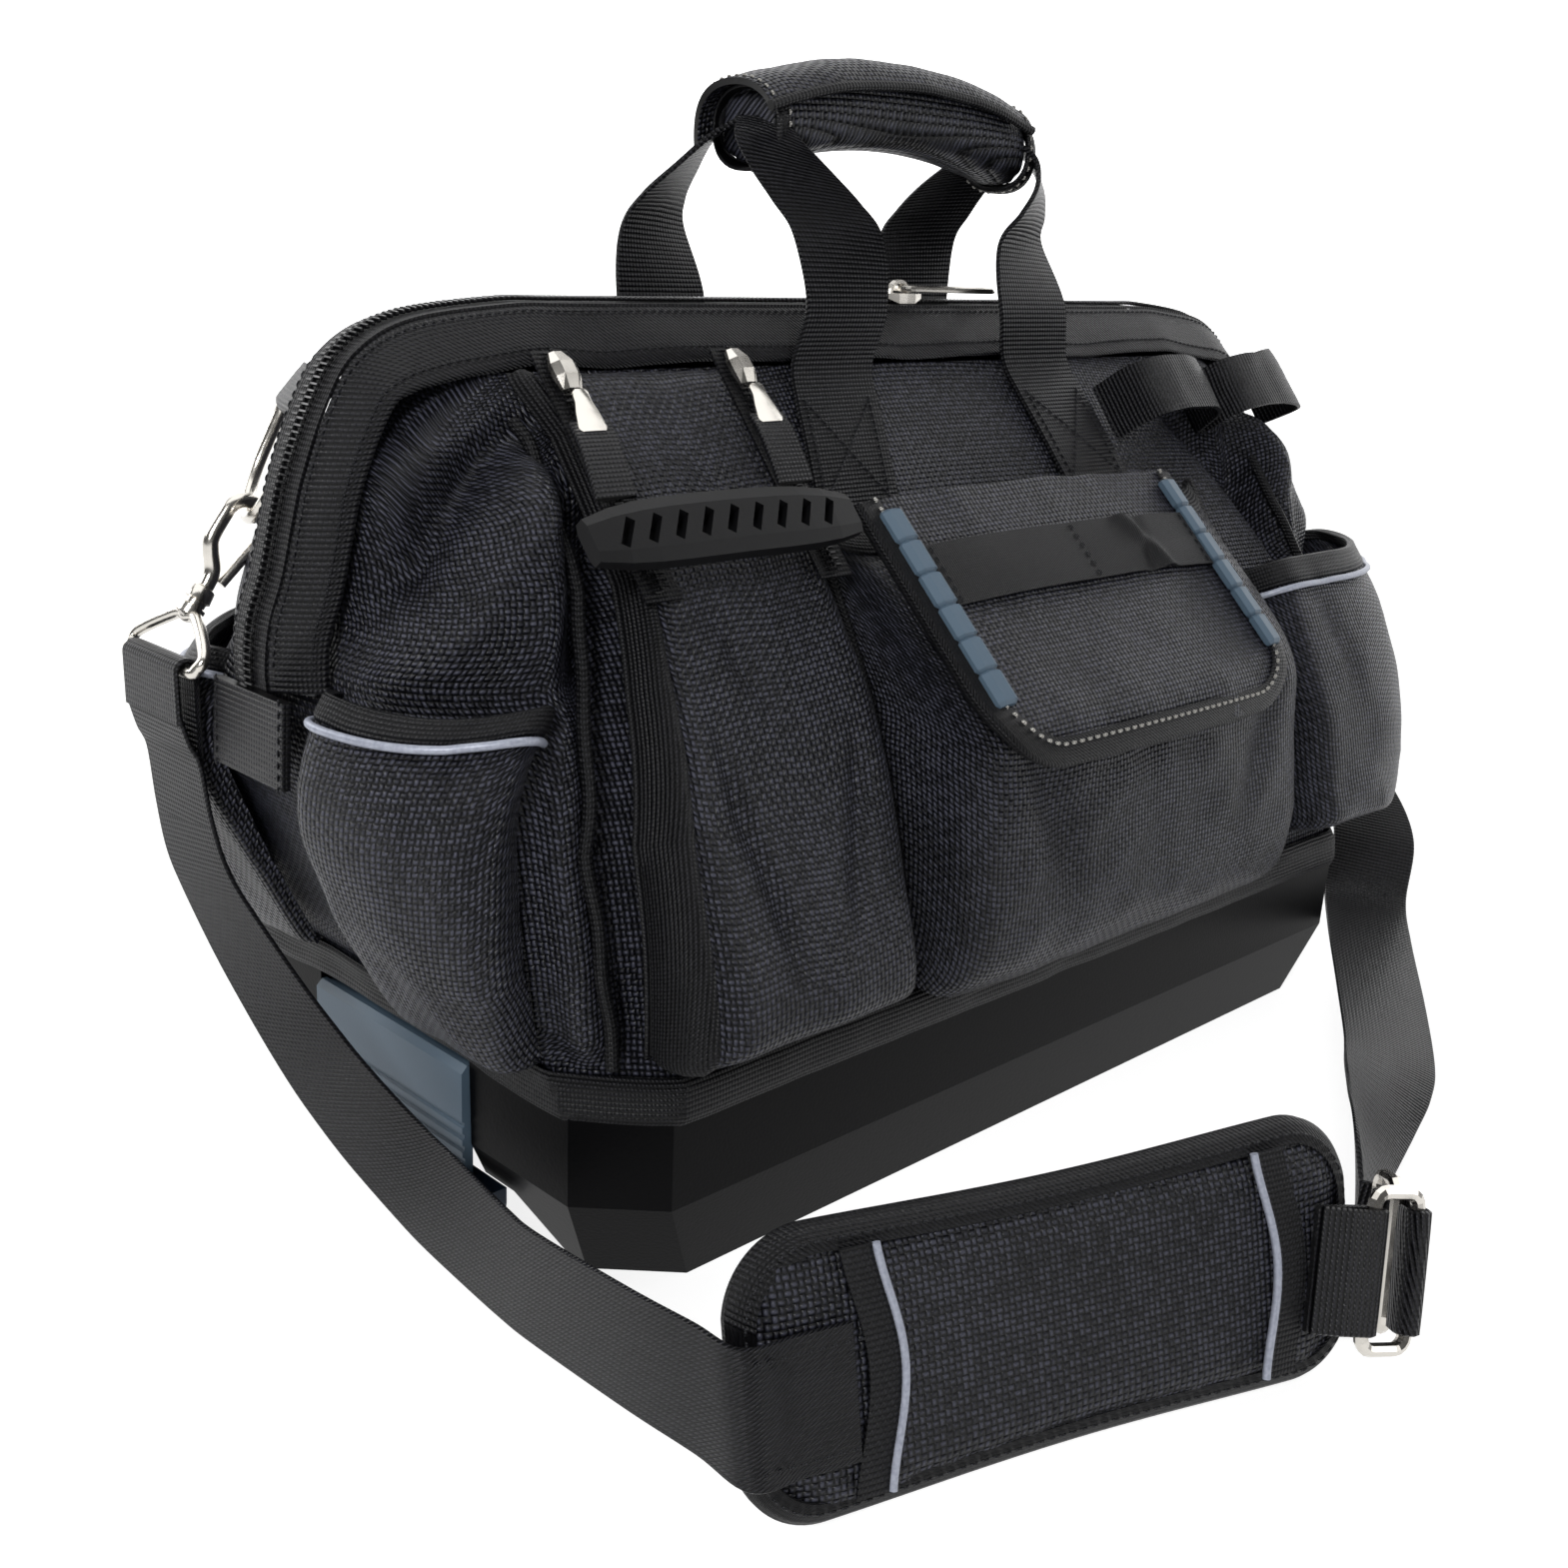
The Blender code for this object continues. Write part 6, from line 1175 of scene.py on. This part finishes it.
# The wrap's lip runs from low on the front over the top, and at its left end on down the back, as a hood.
k = np.linspace(-1, 1, 60)[:, None]
angles = np.radians(mix(25, 140 + 55 * np.clip((-k - 0.5) / 0.35, 0, 1), np.linspace(0, 1, 40)[None, :]))
x = k * 0.0685 - 0.002
level = GRIP_CENTRE - GRIP_ARCH * (x / GRIP_HALF) ** 2
stand = 0.0030 + 0.4 * MM * ripple(x, angles * 0.017, 101, 0.06, 0.012)
round_y, round_z = rounded_square(angles)
lip = np.stack(np.broadcast_arrays(x, -(0.017 + stand) * round_y, level + (0.014 + stand) * round_z), -1)
cloth("grip_lip", lip, 0.0022, soft_cloth, "handle_grip", ("handle_grip_lip",),
      centre=(0, 0, GRIP_CENTRE))
lip_out = outward(lip, False, np.array([0, 0, GRIP_CENTRE]))
for name, row in (("left", 1), ("right", -2)):
    spot = lip[row] + lip_out[row] * 0.0003
    stitch(f"grip_lip_stitch_{name}", spot, lip_out[row], pale_thread, "handle_grip", 3.4, 1.9, 0.4)
edge = lip[:, 0] + lip_out[:, 0] * -0.0006
sections("grip_lip_edge", tube_rings(edge, 0.0018, 8), binding, "handle_grip")
print("grip, points:", len(grip.data.vertices))

# %% [markdown]
# ## Ring tabs
# A doubled webbing is sewn into the hem at each end, and holds the bar of a wire ring.

# %% Ring tabs


def frame_at(origin, heading_deg, lean_deg, dip_deg=0.0):
    """Three rows of axes and origin: x turned from the bag's length by a heading, z leant away from upright
    by a lean about that x, and then x dipped below level, about y."""
    h, lean, dip = np.radians([heading_deg, lean_deg, dip_deg])
    x = np.array([np.cos(h), np.sin(h), 0])
    y = np.array([-np.sin(h) * np.cos(lean), np.cos(h) * np.cos(lean), np.sin(lean)])
    z = np.cross(x, y)
    dipped = x * np.cos(dip) - z * np.sin(dip)
    return np.stack([dipped, y, np.cross(dipped, y), origin], -1)


def in_frame(rows, points):
    """Points given in a frame, as points of the bag: the frame's axes times the point, plus its origin."""
    return np.asarray(points, float) @ rows[:, :3].T + rows[:, 3]


RING_LEFT = frame_at((-0.21268, 0.0419, 0.25202), 70, 25)

bend = np.radians(np.linspace(180, 360, 14))
sling = np.concatenate([[(0, -0.0071, 0.013), (0, -0.0058, 0.007)],
                        np.stack([0 * bend, 0.0036 * np.cos(bend), 0.0036 * np.sin(bend)], -1),
                        [(0, 0.0018, 0.007), (0, 0.0002, 0.013)]])
for side, sign in (("left", -1), ("right", 1)):
    path = in_frame(RING_LEFT, sling) * (-sign, 1, 1)
    bar = RING_LEFT[:, 0] * (-sign, 1, 1)
    rings = band_rings(through(path, 40), bar, 0.025, 0.0015)
    sections(f"ring_sling_{side}", rings, webbing, "bag", (f"ring_tab_{side}",))
print("ring tabs: 2")

# %% [markdown]
# ## Rings and snap hooks
# A ring is drawn steel wire bent to a D. The snap hook is cast zinc: a round hook on a collar that turns,
# over a flat eye for the strap. A small gate springs shut against the hook's point. Each is a round bar
# carried along a path.

# %% Rings and snap hooks
RING_HALF, RING_TALL, RING_WIRE = 0.0195, 0.038, 0.0022
HOOK_WIRE, HOOK_ROUND, EYE_WIRE, GATE_WIRE = 0.0023, 0.0070, 0.00195, 0.0017
turn = np.radians(np.linspace(0, -180, 25))
half_z = RING_HALF - RING_TALL + RING_HALF * np.sin(turn)
half_round = np.stack([RING_HALF * np.cos(turn), 0 * turn, half_z], -1)
ring_corner = np.array([(0.0125, 0, 0), (0.0168, 0, -0.0006), (0.0190, 0, -0.0035), (0.0195, 0, -0.0120)])
other_corner = ring_corner[::-1] * (-1, 1, 1)
ring_path = through([(0, 0, 0), *ring_corner, *half_round, *other_corner, (0, 0, 0)], 121)[:-1]
HOOK_LEFT = frame_at(in_frame(RING_LEFT, (0, 0, -RING_TALL)), 90, 37)
loop_z = HOOK_WIRE + RING_WIRE + 0.0003 - HOOK_ROUND
shank_z = loop_z - HOOK_ROUND - 0.0105
turn = np.radians(np.linspace(0, 190, 20))
crook = np.stack([0 * turn, HOOK_ROUND * np.cos(turn), loop_z + HOOK_ROUND * np.sin(turn)], -1)
shank = np.array([(0, 0, -0.012), (0, 0, -0.004), (0, 0.0012, 0), (0, 0.0046, 0.0042), (0, 0.0067, 0.0082)])
hook_path = through([*(shank + (0, 0, shank_z)), *crook], 70)
gate = [(0, -0.0040, shank_z - 0.0030), (0, -0.0062, loop_z - 0.0080), crook[-1] - (0, 0, 0.0026)]
gate_path = through(gate, 24)
collar_low = shank_z - 0.017
collar_z = np.array([0, 0.0008, 0.0036, 0.0042, 0.0056, 0.0062, 0.0100, 0.0110]) + collar_low
collar_r = np.array([0.0028, 0.0042, 0.0042, 0.0033, 0.0033, 0.0042, 0.0038, 0.0024])
collar_path = np.stack([0 * collar_z, 0 * collar_z, collar_z], -1)
eye_outline = np.array([(0, 1), (0.3, 1), (1, -0.2), (1, -0.8), (0.9, -1), (0, -1)]) * (0.0220, 0.0080)
eye_half = np.stack([eye_outline[:, 0], 0 * eye_outline[:, 0], collar_low - 0.0080 + eye_outline[:, 1]], -1)
EYE_FOOT = collar_low - 0.0160
eye_path = through([*eye_half, *(eye_half[-2:0:-1] * (-1, 1, 1)), eye_half[0]], 97)[:-1]
crook_r = np.interp(np.arange(70), (0, 55, 69), (0.0026, HOOK_WIRE, 0.0018))
# Each bar: its name, its frame, path and radius, whether it is closed, and the body that it rides on and
# stands for.
BARS = (("ring_{}_wire", RING_LEFT, ring_path, RING_WIRE, True, "ring_{}"),
        ("snap_hook_{}_crook", HOOK_LEFT, hook_path, crook_r, False, "snap_hook_{}"),
        ("snap_hook_{}_collar_turned", HOOK_LEFT, collar_path, collar_r, False, "snap_hook_{}"),
        ("snap_hook_{}_eye_wire", HOOK_LEFT, eye_path, EYE_WIRE, True, "snap_hook_{}"),
        ("hook_gate_{}_bar", HOOK_LEFT, gate_path, GATE_WIRE, False, "hook_gate_{}"))
for name, rows_of, path, radius, closed, body in BARS:
    for side, sign in (("left", -1), ("right", 1)):
        rings = in_frame(rows_of, tube_rings(path, radius, 16, closed))
        body_here = body.format(side)
        sections(name.format(side), rings * (-sign, 1, 1), nickel, body_here, (body_here,), closed)
print("hook, from its eye to its crown:", round(float(loop_z + HOOK_ROUND - EYE_FOOT) * 1000, 1), "mm")

# %% [markdown]
# ## The shoulder strap
# The strap is one 38 mm webbing in two runs. At each end it bends round the eye of a snap hook and is sewn
# back on itself. The left run hangs down the end and turns along the ground to the pad. The right run lies
# in a wide bend on the floor, and weaves through a slider and the pad's ring. Rows of places and width
# directions give the runs.

# %% The shoulder strap
EYE_BAR = in_frame(HOOK_LEFT, (0, 0, EYE_FOOT))
LEFT_RUN = np.array((
    (-262.6, 47.4, 162, 0, -1, 0), (-260.2, 46.2, 152, 0, -1, .03),
    (-257.9, 45, 145.6, 0, -1, .05), (-255.5, 45.5, 127.6, .02, -1, .09),
    (-253.4, 43.7, 112.2, .05, -.99, .14), (-251.4, 38.1, 101.1, .07, -.98, .19),
    (-247.9, 23.6, 83.8, .13, -.95, .29), (-244.2, 12.2, 69.7, .16, -.91, .39),
    (-240.5, 3.5, 58.1, .18, -.85, .5), (-237.4, -5.3, 48.4, .19, -.78, .6),
    (-235.3, -15.1, 41.2, .18, -.69, .7), (-233.9, -25, 35.8, .17, -.6, .78),
    (-233.1, -35.8, 31.7, .15, -.5, .85), (-233.3, -48, 29, .13, -.39, .91),
    (-234.6, -61.4, 28.1, .12, -.27, .95), (-236.8, -79.5, 28, .08, -.16, .98),
    (-240.8, -105.6, 29.3, .02, -.07, 1), (-242.9, -123.5, 30.7, -.01, -.03, 1),
    (-245.7, -166.5, 35.8, 0, .04, 1), (-245.8, -192.8, 38.3, .02, .14, .99),
    (-244.9, -210.3, 38.5, .08, .25, .97), (-231, -214.9, 38.5, .08, .25, .97),
    (-216.5, -219.6, 38.5, .08, .25, .97)))
RIGHT_RUN = np.array((
    (262.6, 47.4, 162, 0, 1, 0), (262.9, 43.5, 153, 0, 1, 0),
    (263.1, 37, 146.9, -.02, 1, 0), (266.8, 29, 138.6, -.1, .99, 0),
    (270.4, 20.9, 130.7, -.18, .98, 0), (275.8, -.9, 114.4, -.33, .94, 0),
    (277, -16.1, 106.3, -.4, .92, 0), (277, -33.8, 97.8, -.46, .89, 0),
    (273.4, -56.5, 86.8, -.51, .86, 0), (262.6, -84.5, 73.5, -.51, .86, .03),
    (246.6, -106.3, 56.7, -.5, .86, .06), (224.5, -117.3, 36.1, -.5, .86, .1),
    (196.4, -135.3, 29.6, -.5, .86, .11), (141.6, -170.4, 27.4, -.49, .85, .17),
    (98.3, -196.9, 27, -.47, .84, .28), (78.3, -206.9, 26.9, -.44, .79, .43),
    (59.5, -214.3, 26.8, -.38, .67, .64), (38.4, -222.8, 27.4, -.28, .52, .81),
    (21.8, -229.7, 28.9, -.2, .41, .89), (5.2, -236.8, 30.2, -.1, .29, .95),
    (-9.6, -243.6, 28.2, .03, .21, .98), (-18.9, -248.7, 22.6, .2, .19, .96),
    (-23.7, -251.3, 19.9, .28, .18, .94)))
WEAVE = np.array((
    (-23.7, -251.3, 19.9), (-22.8, -255.1, 20.3), (-21.9, -258.9, 20.8), (-23.3, -260.2, 21.4),
    (-24.7, -261.6, 22.1), (-28.3, -260.6, 23), (-32, -259.6, 23.9), (-33.4, -261, 24.5),
    (-34.8, -262.4, 25.2), (-33.9, -266.2, 25.6), (-33, -269.9, 26.1), (-34.4, -271.3, 26.7),
    (-45.8, -282.7, 32.2), (-47.3, -283.5, 32.8), (-48.9, -283.4, 33.2), (-50.3, -282.5, 33.5),
    (-51.2, -281, 33.4), (-51.2, -279.3, 33.1), (-50.4, -277.9, 32.6), (-47.5, -275.1, 31.3)))
STRAP_WIDTH, STRAP_THICKNESS, EYE_BEND, LIFT_END = 0.036, 0.0018, 0.0032, 0.124
runs = {}
for side, sign, table in (("left", -1, LEFT_RUN), ("right", 1, RIGHT_RUN)):
    sweep = through(np.concatenate([table[:, :3] * MM, table[:, 3:] * 0.4], 1), 200)
    path, widths = sweep[:, :3], unit(sweep[:, 3:])
    if side == "right":
        weave = WEAVE[1:] * MM
        path = np.concatenate([path, weave])
        widths = np.concatenate([widths, np.tile(unit(np.array([.28, .18, .94])), (len(weave), 1))])
    cutoff = int(np.argmax(path[:, 2] < LIFT_END))
    rings = band_rings(path, widths, STRAP_WIDTH, STRAP_THICKNESS)
    runs[side] = np.linalg.norm(np.diff(path, axis=0), axis=1).sum()
    lower = sections(f"strap_{side}_run", rings[cutoff:], webbing, None, (f"strap_{side}",))
    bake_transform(lower)
    upper = sections(f"strap_{side}_top", rings[:cutoff + 1], webbing, None, (f"strap_{side}",))
    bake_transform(upper)
    bend = np.radians(np.linspace(0, 180, 16))
    round_bar = np.stack([-EYE_BEND * np.cos(bend), 0 * bend, EYE_BEND * np.sin(bend)], -1)
    sewn_back = [(EYE_BEND, 0, -0.014), (EYE_BEND, 0, -0.030)]
    fold = np.concatenate([[(-0.0031, 0, -0.0165)], round_bar, sewn_back])
    rings = band_rings((EYE_BAR + fold) * (-sign, 1, 1), (0, -sign, 0), STRAP_WIDTH, STRAP_THICKNESS)
    sections(f"strap_{side}_bend", rings, webbing, f"snap_hook_{side}")
print("strap runs, mm:", {side: round(run * 1000) for side, run in runs.items()})

# %% [markdown]
# ## The shoulder pad
# The pad is foam between two cloths, drawn in a little at its middle, with a binding sewn round its edge.
# It stands on its long edge in front of the bag. The strap is sewn to its left end, and a tab holds the
# ring at its right.

# %% The shoulder pad
PAD = frame_at((-0.1499, -0.2318, 0.04017), -18.2, -15)
PAD_HALF, PAD_TALL, PAD_ROUND = 0.097, 0.0375, 0.0225


def pad_height(x):
    """Half the pad's height at a distance along it: a round corner at each end, and a slight waist."""
    past = np.clip((np.abs(x) - (PAD_HALF - PAD_ROUND)) / PAD_ROUND, 0, 1)
    waist = 1 - 0.06 * np.cos(x / PAD_HALF * np.pi / 2) ** 2
    return (PAD_TALL - PAD_ROUND * (1 - np.sqrt(1 - past**2))) * waist


u = np.linspace(-1, 1, 72)[:, None]
v = np.linspace(-1, 1, 34)[None, :]
x = (PAD_HALF - 0.0015) * np.sin(u * np.pi / 2)
z = (pad_height(x) - 0.0012) * np.sin(v * np.pi / 2)
crown = np.sqrt(np.clip(1 - u**6, 0, 1)) * np.sqrt(np.clip(1 - v**4, 0, 1))
thick = 0.0022 + 0.0040 * crown
front, rear = (in_frame(PAD, np.stack([x + 0 * z, way * thick, z], -1)) for way in (-1, 1))
ring = np.concatenate([front, rear[:, ::-1]], 1)
pad = sections("shoulder_pad_cloth", ring, soft_cloth, "bag", ("shoulder_pad",))
puff(pad, 4.0, 0.0016)
lay_cut(pad, PAD[:, 0], PAD[:, 2])

# The binding's path runs along the top and back along the foot. It faces inward: up and down along the long
# sides, and lengthwise more and more towards the ends.
there = np.sin(np.linspace(-1, 1, 80) * np.pi / 2)
around_x = np.concatenate([there, there[-2:0:-1]]) * PAD_HALF * 0.9985
around_z = pad_height(around_x) * np.where(np.arange(158) < 80, 1, -1)
edge = np.stack([around_x, 0 * around_x, around_z], -1)
towards_end = around_x / PAD_HALF
inward = unit(np.stack([-towards_end * towards_end**4, 0 * around_x, -around_z / PAD_TALL * 1.2], -1))
# The tape's section, in mm in from the edge and off the pad's middle, over the front half. The back mirrors
# it.
PAD_TAPE_MM = np.array(((6.4, -5.3), (6.0, -5.9), (3.2, -5.0), (0.6, -3.3), (-0.9, -1.2)))
section = np.concatenate([PAD_TAPE_MM, PAD_TAPE_MM[::-1] * (1, -1)]) * MM
grid = in_frame(PAD, np.stack([edge + inward * inset + np.array([0, off, 0]) for inset, off in section]))
loop = np.concatenate([grid, grid[:, :1]], 1)
cloth("pad_binding", np.swapaxes(loop, 0, 1), 0.0007, binding, "bag", centre=PAD[:, 3])
stitch("pad_binding_stitch", loop[2] - PAD[:, 1] * 0.0004, -PAD[:, 1], pitch=3.4)
for name, at in (("left", -0.056), ("right", 0.063)):
    z = np.linspace(-1, 1, 40) * (pad_height(np.array(at)) - 0.005)
    bow = -0.0080 - 0.0008 * np.cos(z / PAD_TALL * np.pi / 2)
    bent = 0.003 * np.cos(z / PAD_TALL * np.pi)
    piping(f"pad_piping_{name}", in_frame(PAD, np.stack([at + bent, bow, z], -1)), 0.0012)
    tape_x = at + bent + np.sign(at) * 0.0055
    tape = in_frame(PAD, np.stack([tape_x, bow + 0.0004, z], -1))
    sections(f"pad_tape_{name}", band_rings(tape, PAD[:, 0], 0.0095, 0.0012), binding, "bag")
print("pad, points:", len(pad.data.vertices))

# %% [markdown]
# ## The strap's patch and the pad's tab
# The left run ends in a patch of doubled webbing, sewn to the pad. The tab at the right bends round the
# ring's bar.

# %% The strap's patch and the pad's tab
patch_knots = [(-0.1005, -0.0101, -0.004), (-0.080, -0.0104, -0.004), (-0.0655, -0.0104, -0.004)]
patch = in_frame(PAD, through(patch_knots, 20))
for row, z in (("upper", 0.0135), ("lower", -0.0135)):
    spot = patch + PAD[:, 2] * z - PAD[:, 1] * 0.0002
    stitch(f"pad_patch_stitch_{row}", spot, -PAD[:, 1], pitch=3.0)
TAB = frame_at((-0.06326, -0.27439, 0.03575), -18.2, -15, 12)
TAB_BEND = 0.0033
bend = np.radians(np.linspace(-90, 90, 16))
tab = np.concatenate([[(-0.018, 0.0012, 0), (-0.009, -0.0018, 0)],
                      TAB_BEND * np.stack([np.cos(bend), np.sin(bend), 0 * bend], -1),
                      [(-0.009, TAB_BEND, 0), (-0.018, TAB_BEND, 0)]])
rings = band_rings(in_frame(TAB, tab), TAB[:, 2], STRAP_WIDTH, STRAP_THICKNESS)
sections("pad_ring_tab", rings, webbing, "bag", ("pad_tab",))
print("patch:", round(float(np.ptp(patch[:, 0])) * 1000), "mm along the bag")

# %% [markdown]
# ## The room
# The bag stands on white paper before a lit backdrop, as in a product studio. A wide lamp hangs overhead. A
# small one at the left front draws the weave and the folds, a weak one fills the right, and one behind
# picks out the zip.

# %% The room


def room_sheet(name, corners, faces, paper, colour, glow):
    """A sheet of white paper that is lit and glows a little itself."""
    mesh = bpy.data.meshes.new(name)
    mesh.from_pydata(corners, [], faces)
    mesh.materials.append(finish(paper, Base_Color=linear(colour), Roughness=0.9,
                                 Emission_Color=linear(0xFFFFFF), Emission_Strength=glow)[0])
    sheet = bpy.data.objects.new(name, mesh)
    bpy.context.collection.objects.link(sheet)


square = [(-6, -6, 0), (6, -6, 0), (6, 6, 0), (-6, 6, 0)]
room_sheet("floor", square, [(0, 1, 2, 3)], "white paper floor", 0x8C8C8C, 0.85)
turns = np.radians(np.linspace(-25, 115, 30))
ring = np.stack([3.2 * np.cos(turns), 3.2 * np.sin(turns), 0 * turns], -1)
room_sheet("backdrop", np.concatenate([ring + (0, 0, -0.01), ring + (0, 0, 3)]).tolist(),
           [(k, k + 1, k + 31, k + 30) for k in range(29)], "lit white backdrop", 0xFFFFFF, 1.0)


def soft_light(name, place, target, size, power):
    """A square lamp at a place, turned to face a target."""
    lamp = bpy.data.lights.new(name, "AREA")
    lamp.size, lamp.energy = size, power
    light = bpy.data.objects.new(name, lamp)
    light.location = place
    light.rotation_euler = (Vector(target) - Vector(place)).to_track_quat("-Z", "Y").to_euler()
    bpy.context.collection.objects.link(light)


soft_light("top", (0.2, 0.2, 2.4), (0, 0, 0), 3.0, 46)
soft_light("key", (-1.5, -0.9, 1.1), (0, -0.05, 0.15), 0.5, 26)
soft_light("fill", (1.0, -1.5, 0.7), (0, 0, 0.15), 0.8, 5)
soft_light("rim", (-0.9, 0.9, 0.9), (-0.1, 0, 0.2), 0.6, 8)
world = bpy.data.worlds.new("room")
bpy.context.scene.world = world
world.use_nodes = True
world.node_tree.nodes["Background"].inputs["Color"].default_value = linear(0xFFFFFF)
world.node_tree.nodes["Background"].inputs["Strength"].default_value = 0.1
bpy.context.scene.view_settings.view_transform = "Standard"
print("lamps:", len(bpy.data.lights))
